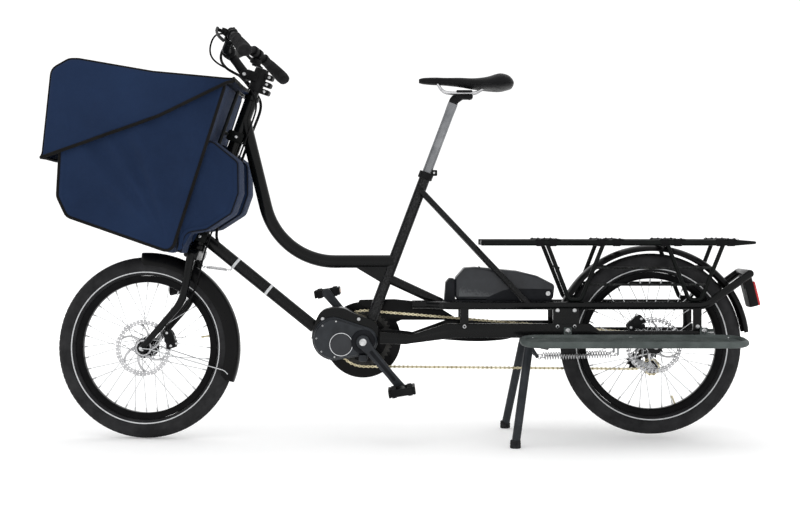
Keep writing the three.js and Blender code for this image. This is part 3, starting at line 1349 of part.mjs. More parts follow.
function fork() {
  const crownTop = HEAD_TUBE_FROM - FIT_GAP * 2;
  const steererTop = STEM_FROM + STEM_LENGTH - FIT_GAP;
  const lugEnd = onSteer(CENTRE_LUG_FROM, -CENTRE_LUG_BACK);
  const pieces = [
    rod(onSteer(crownTop - CROWN_HEIGHT), onSteer(steererTop), STEERER_RADIUS, ROUND_STEPS),
    crownBlock(),
    rod(onSteer(crownTop - CROWN_HEIGHT / 2), lugEnd, CENTRE_LUG_RADIUS, THIN_SIDES),
    centringBlock(lugEnd),
    rod(
      at(FRONT_AXLE.x, -LEG_FOOT_SPREAD, FRONT_AXLE.z),
      at(FRONT_AXLE.x, LEG_FOOT_SPREAD, FRONT_AXLE.z),
      AXLE_RADIUS,
    ),
  ];
  for (const side of SIDES) {
    const y = side * (FRONT_HUB_HALF + FIT_GAP * 2 + FORK_DROPOUT_THICKNESS / 2);
    pieces.push(leg(side), drum(at(FRONT_AXLE.x, y, FRONT_AXLE.z), FORK_DROPOUT_RADIUS, FORK_DROPOUT_THICKNESS));
  }
  return part("fork", "gloss_black", pieces);
}

// Stem: clamp on the steerer with rear ears, pivot barrel, arm and bar clamp.
function stem() {
  const pivot = onSteer(STEM_PIVOT_AT, STEM_PIVOT_FORWARD);
  const barCentre = onSteer(BAR_AT, BAR_FORWARD);
  const pieces = [
    rod(onSteer(STEM_FROM), onSteer(STEM_FROM + STEM_LENGTH + HEAD_CUP_HEIGHT / 2), STEM_RADIUS, HUB_STEPS),
    block(
      onSteer(STEM_FROM + STEM_LENGTH * 2 / 3, STEM_PIVOT_FORWARD / 2), STEER_UP,
      STEM_PIVOT_RADIUS * 2, STEM_PIVOT_HALF * 2, STEM_PIVOT_FORWARD,
    ),
    drum(pivot, STEM_PIVOT_RADIUS, STEM_PIVOT_HALF * 2 + BRACKET_BOLT_HEAD, HUB_STEPS),
    tapered([pivot, barCentre], [STEM_PIVOT_RADIUS, STEM_ARM_RADIUS]),
    drum(barCentre, BAR_CLAMP_RADIUS, BAR_CLAMP_HALF * 2, HUB_STEPS),
  ];
  for (let i = 0; i < STEM_EARS; i += 1) {
    const centre = onSteer(STEM_FROM + STEM_EAR_HEIGHT / 2 + (i * (STEM_LENGTH - STEM_EAR_HEIGHT)) / (STEM_EARS - 1), -STEM_EAR_LENGTH / 2 - STEM_RADIUS / 2);
    pieces.push(block(centre, STEER_UP, STEM_EAR_HEIGHT, STEM_EAR_WIDTH, STEM_EAR_LENGTH - i * STEM_EAR_HEIGHT / 4));
  }
  const bores = [
    rod(onSteer(STEM_FROM - CUT_OVERRUN), onSteer(STEM_FROM + STEM_LENGTH), STEERER_RADIUS + FIT_GAP, ROUND_STEPS),
    drum(barCentre, boreRadius(BAR_RADIUS, HUB_STEPS), (BAR_CLAMP_HALF + CUT_OVERRUN) * 2, HUB_STEPS),
  ];
  return part("stem", "satin_black", cut(join(pieces), bores));
}

// A place on the handlebar's centre line, by its share of the half width.
function barPlaces(side) {
  return BAR_SIDE_SHARES.map((share, i) => onSteer(
    BAR_AT + BAR_RISE_SHARES[i] * BAR_RISE,
    BAR_FORWARD - BAR_SWEEP_SHARES[i] * BAR_SWEEP,
    side * share * BAR_HALF_WIDTH,
  ));
}

function onBar(share, side) {
  const places = barPlaces(side);
  let i = 0;
  while (i < BAR_SIDE_SHARES.length - 2 && BAR_SIDE_SHARES[i + 1] < share) i += 1;
  const within = (share - BAR_SIDE_SHARES[i]) / (BAR_SIDE_SHARES[i + 1] - BAR_SIDE_SHARES[i]);
  return places[i].clone().lerp(places[i + 1], within);
}

function barAxis(share, side) {
  return onBar(share + BAR_SLICE, side).sub(onBar(share - BAR_SLICE, side)).normalize();
}

function barPoints() {
  const left = barPlaces(LEFT).slice(1).reverse();
  return bent([...left, ...barPlaces(RIGHT).slice(1)], BAR_BEND / 2, 2);
}

const handlebar = () => part("handlebar", "satin_black", bar(barPoints(), BAR_RADIUS));

function grip(name, side) {
  const shares = [GRIP_START_SHARE, 0.72, 0.85, 0.95, 1.01];
  const radii = [GRIP_RADIUS, GRIP_RADIUS, (GRIP_RADIUS + GRIP_PALM_RADIUS) / 2, GRIP_PALM_RADIUS, GRIP_PALM_RADIUS - 2 * FIT_GAP];
  const start = onBar(GRIP_START_SHARE, side);
  const axis = onBar(1, side).sub(start);
  const points = shares.map((share) => start.clone().addScaledVector(axis, (share - GRIP_START_SHARE) / (1 - GRIP_START_SHARE)));
  const bore = bar([
    start.clone().addScaledVector(axis, -0.1),
    onBar(1, side).addScaledVector(axis.clone().normalize(), FIT_GAP),
  ], BAR_RADIUS + FIT_GAP, ROUND_STEPS);
  return part(name, "rubber", cut(tapered(points, radii, PIPE_SIDES + 2), bore));
}

// A clamp band around the bar with its bore.
function barClamp(share, side) {
  const centre = onBar(share, side);
  const axis = barAxis(share, side);
  const half = CONTROL_CLAMP_WIDTH / 2;
  return {
    centre,
    axis,
    band: rod(centre.clone().addScaledVector(axis, -half), centre.clone().addScaledVector(axis, half), CONTROL_CLAMP_RADIUS, PIPE_SIDES),
    bore: bar(barPoints(), BAR_RADIUS + FIT_GAP),
  };
}

// The brake tank's two ends in front of the bar.
function tankPlace(side) {
  const clamp = barClamp(MASTER_AT_SHARE, side);
  const root = clamp.centre.clone().addScaledVector(STEER_FORWARD, CONTROL_CLAMP_RADIUS + MASTER_RADIUS);
  const inward = clamp.axis.clone().negate();
  return { root, inward, end: root.clone().addScaledVector(inward, MASTER_TANK_LENGTH) };
}

// The first points of a brake hose, straight out of its tank.
function hoseStart(side) {
  const { end, inward } = tankPlace(side);
  return [FIT_GAP, HOSE_STRAIGHT].map((reach) => end.clone().addScaledVector(inward, reach));
}

// The brake lever's pivot and direction on one side.
function leverPlace(side) {
  const clamp = barClamp(MASTER_AT_SHARE, side);
  const pivot = clamp.centre.clone().addScaledVector(STEER_FORWARD, MASTER_LENGTH);
  pivot.y += side * CONTROL_CLAMP_WIDTH;
  const gripAxis = onBar(1, side).sub(onBar(GRIP_START_SHARE, side)).normalize();
  const tip = pivot.clone().addScaledVector(gripAxis, LEVER_LENGTH);
  const axis = tip.clone().sub(pivot).normalize().cross(at(-side, 0, 0)).normalize();
  return { pivot, tip, axis };
}

function brakeMaster(name, side) {
  const clamp = barClamp(MASTER_AT_SHARE, side);
  const { pivot, axis } = leverPlace(side);
  const { root, end } = tankPlace(side);
  const knuckle = pivot.clone().addScaledVector(axis, -LEVER_THICKNESS / 2 - FIT_GAP);
  const outer = knuckle.clone().addScaledVector(axis, -LEVER_THICKNESS / 2);
  const body = join(
    clamp.band,
    rod(clamp.centre, root, MASTER_RADIUS),
    rod(root, pivot.clone().addScaledVector(axis, -LEVER_THICKNESS), MASTER_RADIUS * 2 / 3, HOSE_SIDES),
    rod(end, root, MASTER_TANK_SIZE / 2, HOSE_SIDES),
    rod(outer, knuckle, LEVER_WIDTH / 2 + FIT_GAP, HOSE_SIDES),
  );
  return part(name, "satin_black", cut(body, clamp.bore, leverRoom(side)));
}

// The swept room of a brake lever: a slab between its two faces.
function leverRoom(side) {
  const { pivot, axis } = leverPlace(side);
  const half = LEVER_THICKNESS / 2 + FIT_GAP;
  return rod(pivot.clone().addScaledVector(axis, -half), pivot.clone().addScaledVector(axis, half), MASTER_LENGTH * 2 / 3, ROUND_STEPS);
}

function brakeLever(name, side) {
  const { pivot, tip, axis } = leverPlace(side);
  const along = tip.clone().sub(pivot).normalize();
  const back = along.clone().cross(axis).normalize().multiplyScalar(side * LEFT * LEFT);
  const half = LEVER_THICKNESS / 2;
  const stations = [[0, 0], [0.3, 0.35], [0.65, 0.3], [1, -0.35]];
  const rings = stations.map(([share, bow]) => {
    const centre = pivot.clone().lerp(tip, share).addScaledVector(back, bow * LEVER_WIDTH);
    return [[-1, -1], [1, -1], [1, 1], [-1, 1]].map(([a, b]) =>
      centre.clone().addScaledVector(back, (a * LEVER_WIDTH) / 2).addScaledVector(axis, b * half));
  });
  const eye = rod(pivot.clone().addScaledVector(axis, -half), pivot.clone().addScaledVector(axis, half), LEVER_WIDTH / 2, HOSE_SIDES);
  return part(name, "dark_grey", loft(rings), eye);
}

function bellPlace() {
  const centre = onBar(BELL_AT_SHARE, LEFT);
  const base = centre.clone().addScaledVector(STEER_UP, BAR_RADIUS + BELL_STALK_HEIGHT);
  return { centre, base };
}

function bell() {
  const clamp = barClamp(BELL_AT_SHARE, LEFT);
  const { centre, base } = bellPlace();
  const top = base.clone().addScaledVector(STEER_UP, BELL_HEIGHT);
  const body = join(
    clamp.band,
    rod(centre.clone().addScaledVector(STEER_UP, -CONTROL_CLAMP_RADIUS), base, BELL_RADIUS / 3, HOSE_SIDES),
    tapered([base, base.clone().lerp(top, 0.5), base.clone().lerp(top, 0.85), top], [BELL_RADIUS, BELL_RADIUS * 0.92, BELL_RADIUS * 0.6, BELL_RADIUS * 0.2]),
  );
  return part("bell", "dark_grey", cut(body, clamp.bore));
}

function bellLever() {
  const { centre } = bellPlace();
  const root = centre.clone().addScaledVector(STEER_UP, -CONTROL_CLAMP_RADIUS - FIT_GAP * 2 - SHIFTER_WIDTH / 8);
  const tip = root.clone().addScaledVector(STEER_FORWARD, -BELL_LEVER_LENGTH);
  return part("bell_lever", "dark_grey", block(root.lerp(tip, 0.5), STEER_FORWARD, BELL_LEVER_LENGTH, CONTROL_CLAMP_WIDTH / 2, SHIFTER_WIDTH / 4));
}

function shifterPlace() {
  const centre = onBar(SHIFTER_AT_SHARE, RIGHT);
  const body = centre.clone().addScaledVector(STEER_UP, -CONTROL_CLAMP_RADIUS - SHIFTER_WIDTH / 3);
  return { centre, body };
}

function shifter() {
  const clamp = barClamp(SHIFTER_AT_SHARE, RIGHT);
  const { body } = shifterPlace();
  const low = body.clone().addScaledVector(STEER_UP, -SHIFTER_WIDTH / 2);
  const high = body.clone().addScaledVector(STEER_UP, SHIFTER_WIDTH / 2);
  return part("shifter", "satin_black", cut(join(clamp.band, rod(low, high, SHIFTER_RADIUS, PIPE_SIDES + 2)), clamp.bore));
}

function shiftLever() {
  const { body } = shifterPlace();
  const root = body.clone().addScaledVector(STEER_UP, -SHIFTER_WIDTH / 2 - FIT_GAP - LEVER_THICKNESS / 2);
  const tip = root.clone().addScaledVector(STEER_FORWARD, -SHIFT_LEVER_LENGTH);
  const half = LEVER_THICKNESS / 2;
  return part("shift_lever", "dark_grey",
    rod(root.clone().addScaledVector(STEER_UP, -half), root.clone().addScaledVector(STEER_UP, half), SHIFTER_RADIUS / 2, HOSE_SIDES),
    block(root.clone().lerp(tip, 0.5), STEER_FORWARD, SHIFT_LEVER_LENGTH, LEVER_WIDTH, LEVER_THICKNESS / 2));
}

// Front mudguard with its strut and wire stays.
function frontMudguard() {
  const band = arcBand(
    guardProfile(FRONT_GUARD_RADIUS, FRONT_GUARD_HALF_WIDTH, FRONT_GUARD_SIDE),
    FRONT_GUARD_FROM_DEG, FRONT_GUARD_TO_DEG, ROUND_STEPS - BEND_STEPS, FRONT_AXLE,
  );
  const low = rad(FRONT_GUARD_FROM_DEG * 0.8);
  const reach = FRONT_GUARD_RADIUS - FRONT_GUARD_SIDE / 2;
  const pieces = [band];
  for (const side of SIDES) {
    const tip = at(FRONT_AXLE.x + reach * Math.cos(low), side * (FRONT_GUARD_HALF_WIDTH - GUARD_WALL / 2), FRONT_AXLE.z + reach * Math.sin(low));
    const root = at(FRONT_AXLE.x + FORK_DROPOUT_RADIUS * 2, side * (LEG_FOOT_SPREAD + LEG_FOOT_RADIUS), FRONT_AXLE.z);
    pieces.push(rod(tip, root, GUARD_STAY_RADIUS, THIN_SIDES), rod(root, at(FRONT_AXLE.x, root.y + side * GUARD_STAY_RADIUS, FRONT_AXLE.z), GUARD_STAY_RADIUS * 2, THIN_SIDES));
  }
  const crownFoot = onSteer(HEAD_TUBE_FROM - CROWN_HEIGHT - FIT_GAP * 4);
  const inward = FRONT_AXLE.clone().sub(crownFoot).normalize();
  pieces.push(rod(crownFoot, crownFoot.clone().addScaledVector(inward, crownFoot.distanceTo(FRONT_AXLE) - FRONT_GUARD_RADIUS + GUARD_WALL), LEG_FOOT_RADIUS));
  return part("front_mudguard", "gloss_black", cut(join(pieces), leg(LEFT, FIT_GAP), leg(RIGHT, FIT_GAP), crownBlock(FIT_GAP)));
}

// A brake caliper over its rotor's rim, with a slot for the rotor and a foot on what carries it.
function caliper(name, axle, turnDeg, rotorAt, foot, room) {
  const turn = rad(turnDeg);
  const out = at(Math.cos(turn), 0, Math.sin(turn));
  const centre = at(axle.x, -rotorAt, axle.z).addScaledVector(out, ROTOR_RADIUS);
  const body = block(centre, out, CALIPER_DEPTH, CALIPER_HALF_WIDTH * 2, CALIPER_LENGTH);
  const slot = drum(at(axle.x, -rotorAt, axle.z), ROTOR_RADIUS + CUT_OVERRUN, CALIPER_SLOT, WHEEL_STEPS);
  return part(name, "satin_black", cut(join(body, foot(centre)), slot, room));
}

function frontCaliper() {
  const foot = (centre) => {
    const points = legPoints(LEFT);
    const near = points[points.length - 2].clone().lerp(points[points.length - 1], 0.4);
    near.y = centre.y - CALIPER_HALF_WIDTH / 2;
    return rod(centre.clone().setY(near.y), near, CALIPER_HALF_WIDTH / 2);
  };
  return caliper("front_caliper", FRONT_AXLE, FRONT_CALIPER_DEG, FRONT_ROTOR_AT, foot, [leg(LEFT, FIT_GAP)]);
}

function rearCaliper() {
  const foot = (centre) => {
    const floor = at(centre.x, -BEAM_SPREAD + BEAM_WIDTH / 4, BEAM_BOTTOM + BEAM_NARROW_HEIGHT + FIT_GAP + CALIPER_HALF_WIDTH / 2);
    return block(floor, at(1, 0, 0), CALIPER_LENGTH, CALIPER_HALF_WIDTH, CALIPER_HALF_WIDTH);
  };
  return caliper("rear_caliper", REAR_AXLE, REAR_CALIPER_DEG, REAR_ROTOR_AT, foot, SIDES.map(beam).map((b) => asSolid(b)));
}

function headlight() {
  const centre = onSteer(HEADLIGHT_AT, HEADLIGHT_FORWARD, LEG_TOP_SPREAD + LEG_TOP_RADIUS + HEADLIGHT_OUT / 2);
  const front = centre.clone();
  front.x -= HEADLIGHT_LENGTH;
  const body = tapered([centre, front], [HEADLIGHT_RADIUS * 0.75, HEADLIGHT_RADIUS], PIPE_SIDES + 2);
  const arm = rod(centre.clone().add(at(-HEADLIGHT_LENGTH / 3, 0, 0)), onSteer(HEADLIGHT_AT, -LEG_KNEE_BACK, centre.y - HEADLIGHT_OUT / 2), LEG_FOOT_RADIUS, HOSE_SIDES);
  return part("headlight", "satin_black", cut(join(body, arm), leg(RIGHT, FIT_GAP)));
}

// Front carrier: uprights behind the bag, brackets to the head tube and prongs below the bag's load.
function carrierSolids(grow = 0) {
  const low = (side) => onSteer(CARRIER_FOOT_AT, CARRIER_FORWARD, side * CARRIER_ROD_SPREAD);
  const high = (side) => onSteer(CARRIER_TOP_AT, CARRIER_FORWARD, side * CARRIER_ROD_SPREAD);
  const tip = (side) => onSteer(CARRIER_FOOT_AT, CARRIER_FORWARD + CARRIER_PRONG_LENGTH, side * CARRIER_ROD_SPREAD);
  const radius = CARRIER_ROD_RADIUS + grow;
  const prongs = SIDES.map((side) => bar(bent([high(side), low(side), tip(side)], CARRIER_ROD_RADIUS * 2, 2), radius, THIN_SIDES));
  const ties = [CARRIER_LOWER_BRACKET_AT, CARRIER_UPPER_BRACKET_AT].map((s) =>
    rod(onSteer(s, CARRIER_FORWARD, -CARRIER_ROD_SPREAD), onSteer(s, CARRIER_FORWARD, CARRIER_ROD_SPREAD), radius, THIN_SIDES));
  const end = rod(tip(LEFT), tip(RIGHT), radius, THIN_SIDES);
  return [...prongs, ...ties, end];
}

function bagCarrier() {
  const outer = HEAD_CUP_RADIUS + FIT_GAP;
  const brackets = [CARRIER_LOWER_BRACKET_AT, CARRIER_UPPER_BRACKET_AT].flatMap((s) => SIDES.flatMap((side) => {
    const y = side * (outer + CARRIER_BRACKET_THICKNESS / 2);
    const length = CARRIER_FORWARD + HEAD_TUBE_RADIUS;
    const middle = onSteer(s, CARRIER_FORWARD - length / 2, y);
    const head = onSteer(s, 0, side * (outer + CARRIER_BRACKET_THICKNESS * 2));
    return [
      block(middle, STEER_UP, CARRIER_BRACKET_HEIGHT, CARRIER_BRACKET_THICKNESS, length),
      rod(onSteer(s), head, CARRIER_BOLT_RADIUS, HOSE_SIDES),
    ];
  }));
  const headRoom = rod(onSteer(HEAD_TUBE_FROM - CUT_OVERRUN), onSteer(HEAD_TUBE_FROM + HEAD_TUBE_LENGTH), HEAD_TUBE_RADIUS + FIT_GAP, HUB_STEPS);
  return part("bag_carrier", "gloss_black", cut(join(...carrierSolids(), ...brackets), headRoom, mainTubeRoom()));
}

const mainTubeRoom = () => bar(bent(mainTubeCorners(), MAIN_TUBE_BEND, PIPE_SIDES), MAIN_TUBE_RADIUS + FIT_GAP, PIPE_SIDES + 2);

// Side outlines of the bag, its hollow, its rear pockets and its lid: shares of its length forward and of its height up.
const BAG_SHARES = [
  [0.316, 0.0067], [0.943, 0.211], [1, 0.324], [0.987, 0.536], [0.972, 1.053], [0.922, 1.086],
  [0.872, 1.086], [0.435, 1.0057], [0.0304, 0.9713], [-0.013, 0.9666],
];
const BAG_INNER_SHARES = [
  [0.326, 0.0294], [0.937, 0.2217], [0.9885, 0.326], [0.9754, 0.536], [0.961, 0.99],
  [0.9565, 1.263], [0.0065, 1.263], [0.002, 0.9676],
];
const POCKET_SHARES = [
  [0.11, 0.656], [-0.076, 0.514], [-0.078, 0.34], [-0.035, 0.227], [0.113, 0.138], [0.235, 0.121], [0.276, 0], [0.33, 0.006], [0.12, 0.656],
];
const LID_TOP_SHARES = [
  [-0.05, 0.9741], [0.0304, 0.9802], [0.4348, 1.0146], [0.8707, 1.095], [0.9261, 1.095], [1.038, 1.0405], [1.0957, 0.5405],
];
const LID_DRAPE_SHARES = [[0.3935, 0.7652], [-0.013, 0.9494]];
const LID_OPEN_SHARES = [[1.08, 0.3], [-0.2, 0.3]];

const bagPlace = ([forward, up]) => [CRANK.x - BAG_REAR_AHEAD - forward * BAG_LENGTH, BAG_LOW + up * BAG_HEIGHT];

// The room that the turning crown needs below the bag, with an optional wall round it.
function crownRoom(wall = 0) {
  return rod(
    onSteer(0),
    onSteer(HEAD_TUBE_FROM + BAG_CROWN_ABOVE + wall),
    BAG_CROWN_RADIUS + wall,
    ROUND_STEPS,
  );
}

function bag() {
  const outer = plate(BAG_SHARES.map(bagPlace), BAG_HALF_WIDTH * 2);
  const inner = plate(BAG_INNER_SHARES.map(bagPlace), (BAG_HALF_WIDTH - BAG_WALL) * 2);
  const pocketWidth = BAG_HALF_WIDTH - POCKET_GAP - BAG_WALL;
  const pockets = SIDES.map((side) =>
    plate(POCKET_SHARES.map(bagPlace), pocketWidth, side * (POCKET_GAP + pocketWidth / 2)));
  const shell = cut(join(outer, pockets), crownRoom());
  return part("bag", "fabric", cut(shell, cut(inner, crownRoom(BAG_WALL)), ...carrierSolids(FIT_GAP)));
}

function bagLid() {
  const half = BAG_HALF_WIDTH + LID_SIDE_CLEARANCE + LID_WALL;
  const lowered = LID_WALL / BAG_HEIGHT;
  const inwards = LID_WALL / BAG_LENGTH;
  const roof = LID_TOP_SHARES.slice(1, -2).map(([forward, up]) => [forward, up - lowered]);
  const face = LID_TOP_SHARES.slice(-2).map(([forward, up]) => [forward - inwards * 2, up - lowered]);
  const [, rearOpen] = LID_OPEN_SHARES;
  const inner = [[rearOpen[0], LID_TOP_SHARES[0][1] - lowered], ...roof, ...face, ...LID_OPEN_SHARES];
  return part("bag_lid", "fabric", cut(
    plate([...LID_TOP_SHARES, ...LID_DRAPE_SHARES].map(bagPlace), half * 2),
    plate(inner.map(bagPlace), (half - LID_WALL) * 2),
  ));
}

// Seat post with a set-back head and rail clamp, moved with the saddle.
function postPlaces() {
  const bottom = onSeat(SEAT_TUBE_LENGTH - POST_INSERTION);
  const top = onSeat(SEAT_TUBE_LENGTH - POST_INSERTION + POST_LENGTH);
  const head = top.clone().add(at(POST_SETBACK, 0, POST_HEAD_RISE));
  return { bottom, top, head };
}

function seatPost() {
  const { bottom, top, head } = postPlaces();
  const clamp = block(head, at(1, 0, 0), RAIL_CLAMP_LENGTH, RAIL_CLAMP_HALF_WIDTH * 2, RAIL_CLAMP_HEIGHT);
  const body = join(
    bar([bottom, top, head.clone().lerp(top, 0.2)], POST_RADIUS, PIPE_SIDES + 2),
    clamp,
  );
  return part("seat_post", "steel", cut(body, saddleRailRoom()));
}

function saddleRailPoints() {
  const { head } = postPlaces();
  const level = head.z + SADDLE_RAIL_SEAT;
  const nose = head.x - SADDLE_NOSE_AHEAD;
  const under = head.z + SADDLE_ABOVE_HEAD - SADDLE_DEPTH / 2;
  const half = (side) => [
    at(nose + SADDLE_LENGTH * 0.74, side * SADDLE_RAIL_SPREAD * 1.4, under - SADDLE_RAIL_RADIUS * 2),
    at(head.x + RAIL_CLAMP_LENGTH, side * SADDLE_RAIL_SPREAD, level),
    at(head.x - RAIL_CLAMP_LENGTH, side * SADDLE_RAIL_SPREAD, level),
    at(nose + SADDLE_LENGTH * 0.2, side * SADDLE_RAIL_SPREAD / 2, under - SADDLE_RAIL_RADIUS),
  ];
  return bent([...half(LEFT), ...half(RIGHT).reverse()], SADDLE_RAIL_RADIUS * 2, 2);
}

const saddleRailRoom = () => bar(saddleRailPoints(), SADDLE_RAIL_RADIUS + FIT_GAP, HOSE_SIDES);
const saddleRails = () => part("saddle_rails", "steel", bar(saddleRailPoints(), SADDLE_RAIL_RADIUS, HOSE_SIDES));

// Saddle stations: share of length, half width share, top and bottom as shares of the depth below the highest point.
const SADDLE_SHARES = [
  [0, 0.12, 0.3, 0.5], [0.05, 0.2, 0.24, 0.56], [0.25, 0.24, 0.22, 0.62], [0.42, 0.34, 0.22, 0.7],
  [0.58, 0.56, 0.26, 0.82], [0.72, 0.82, 0.2, 0.9], [0.85, 1, 0.04, 0.94], [0.94, 0.94, 0.12, 0.86], [1, 0.7, 0.36, 0.7],
];

function saddle() {
  const { head } = postPlaces();
  const nose = head.x - SADDLE_NOSE_AHEAD;
  const highest = head.z + SADDLE_ABOVE_HEAD;
  const rings = SADDLE_SHARES.map(([along, wide, up, down]) => {
    const x = nose + along * SADDLE_LENGTH;
    const half = wide * SADDLE_HALF_WIDTH;
    const top = highest - up * SADDLE_DEPTH;
    const low = highest - down * SADDLE_DEPTH;
    const crown = [[0, 1], [0.55, 0.93], [0.9, 0.7], [1, 0.3], [0.92, 0], [0.6, 0.35], [0, 0.4]];
    const points = crown.map(([y, z]) => at(x, y * half, low + z * (top - low)));
    return [...points, ...crown.slice(1, -1).reverse().map(([y, z]) => at(x, -y * half, low + z * (top - low)))];
  });
  const clampRoom = block(head, at(1, 0, 0), RAIL_CLAMP_LENGTH + CUT_OVERRUN, (RAIL_CLAMP_HALF_WIDTH + FIT_GAP) * 2, RAIL_CLAMP_HEIGHT + FIT_GAP * 2);
  return part("saddle", "satin_black", cut(loft(rings), saddleRailRoom(), clampRoom));
}

function seatClamp() {
  const low = onSeat(SEAT_TUBE_LENGTH - SEAT_CLAMP_HEIGHT);
  const high = onSeat(SEAT_TUBE_LENGTH);
  const ear = onSeat(SEAT_TUBE_LENGTH - SEAT_CLAMP_HEIGHT / 2);
  ear.x += SEAT_TUBE_RADIUS + SEAT_CLAMP_EAR / 2;
  return part("seat_clamp", "dark_grey", cut(
    join(rod(low, high, SEAT_TUBE_RADIUS + SEAT_CLAMP_WALL, ROUND_STEPS), block(ear, SEAT_UP, SEAT_CLAMP_HEIGHT * 2 / 3, SEAT_CLAMP_EAR, SEAT_CLAMP_EAR)),
    rod(onSeat(SEAT_TUBE_LENGTH - SEAT_CLAMP_HEIGHT - CUT_OVERRUN), onSeat(SEAT_TUBE_LENGTH + CUT_OVERRUN), SEAT_TUBE_RADIUS + FIT_GAP, PIPE_SIDES + 2),
  ));
}

// Motor: egg-shaped housing with a domed cover, a round boss and a lower tab.
function motorHousing() {
  const motor = at(CRANK.x - MOTOR_AHEAD, 0, CRANK.z + MOTOR_RISE);
  const boss = at(CRANK.x - MOTOR_BOSS_AHEAD, -MOTOR_HALF_WIDTH - MOTOR_COVER_DEPTH - MOTOR_BOSS_DEPTH / 2 + FIT_GAP, CRANK.z - MOTOR_BOSS_DROP + MOTOR_RISE * 2);
  const cover = plate(motorOutline(-MOTOR_COVER_INSET), MOTOR_COVER_DEPTH, -MOTOR_HALF_WIDTH - MOTOR_COVER_DEPTH / 2 + FIT_GAP);
  const tab = block(at(CRANK.x, -MOTOR_HALF_WIDTH / 2, CRANK.z - MOTOR_TAB_DROP / 2), at(1, 0, 0), MOTOR_TAB_LENGTH, MOTOR_HALF_WIDTH / 2, MOTOR_TAB_DROP);
  const spindle = drum(CRANK, SPINDLE_RADIUS + FIT_GAP, MOTOR_HALF_WIDTH * 4);
  return part("motor_housing", "dark_grey", cut(
    join(plate(motorOutline(0), MOTOR_HALF_WIDTH * 2), cover, drum(boss, MOTOR_BOSS_RADIUS, MOTOR_BOSS_DEPTH, ROUND_STEPS), drum(motor, MOTOR_RADIUS / 2, MOTOR_HALF_WIDTH * 2), tab),
    spindle,
  ));
}

// Crank arms: boss, tapering arm and eye with the pedal spindle.
function crankEye(side) {
  const turn = rad(CRANK_TURN_DEG);
  const reach = -side * CRANK_LENGTH;
  return at(CRANK.x + reach * Math.cos(turn), side * (ARM_INNER_Y + ARM_THICKNESS / 2), CRANK.z + reach * Math.sin(turn));
}

function armShape(side) {
  const eye = crankEye(side);
  const lean = Math.atan2(eye.z - CRANK.z, eye.x - CRANK.x);
  const spread = Math.acos((ARM_ROOT_RADIUS - ARM_EYE_RADIUS) / CRANK_LENGTH);
  const shape = new THREE.Shape();
  shape.absarc(CRANK.x, CRANK.z, ARM_ROOT_RADIUS, lean + spread, lean + Math.PI * 2 - spread);
  shape.absarc(eye.x, eye.z, ARM_EYE_RADIUS, lean - spread, lean + spread);
  return shape;
}

function crankArm(side) {
  const eye = crankEye(side);
  const spindle = drum(at(eye.x, side * (ARM_INNER_Y + ARM_THICKNESS / 2 + PEDAL_WIDTH / 2), eye.z), PEDAL_SPINDLE_RADIUS, PEDAL_WIDTH, HOSE_SIDES);
  return [plate(armShape(side), ARM_THICKNESS, eye.y), spindle];
}

const pitchRadius = (teeth) => (teeth * CHAIN_PITCH) / (Math.PI * 2);

// The largest radius that stays inside the chain's links where they lie round a wheel.
function tipRadius(teeth) {
  return (pitchRadius(teeth) - CHAIN_DEPTH / 2) * Math.cos(Math.PI / teeth) - CHAIN_CLEARANCE;
}

// A toothed disc across the bike; the tips stay clear of the chain.
function toothed(centre, teeth, thickness) {
  const tip = tipRadius(teeth);
  const outline = [];
  for (let i = 0; i < teeth * 2; i += 1) {
    const turn = (i / teeth) * Math.PI;
    const radius = i % 2 ? tip - TOOTH_DEPTH : tip;
    outline.push([centre.x + radius * Math.cos(turn), centre.z + radius * Math.sin(turn)]);
  }
  return plate(outline, thickness, centre.y);
}

function crankParts() {
  const spindle = (from, to) => drum(at(CRANK.x, (from + to) / 2, CRANK.z), SPINDLE_RADIUS, Math.abs(to - from));
  const leftEnd = -ARM_INNER_Y - ARM_THICKNESS;
  const rightEnd = ARM_INNER_Y + ARM_THICKNESS;
  const loop = cut(
    toothed(at(CRANK.x, CHAIN_Y, CRANK.z), CHAINRING_TEETH, RING_THICKNESS),
    ringWindows(),
  );
  return [
    part("crank_left", "dark_grey", crankArm(LEFT), spindle(leftEnd, CHAIN_Y - RING_THICKNESS)),
    part("crank_right", "dark_grey", crankArm(RIGHT), spindle(CHAIN_Y - RING_THICKNESS + FIT_GAP, rightEnd), loop),
  ];
}

// Five rounded windows of the chainring, between its arms.
function ringWindows() {
  const windows = [];
  const outer = pitchRadius(CHAINRING_TEETH) - CHAIN_DEPTH - TOOTH_DEPTH * 2;
  for (let i = 0; i < 5; i += 1) {
    const turn = (i / 5) * Math.PI * 2;
    const shape = [[0.45, -0.45], [0.95, -0.42], [1, 0], [0.95, 0.42], [0.45, 0.45]].map(([r, t]) => [
      CRANK.x + outer * r * Math.cos(turn + t), CRANK.z + outer * r * Math.sin(turn + t),
    ]);
    windows.push(plate(shape, RING_THICKNESS + CUT_OVERRUN, CHAIN_Y));
  }
  return windows;
}

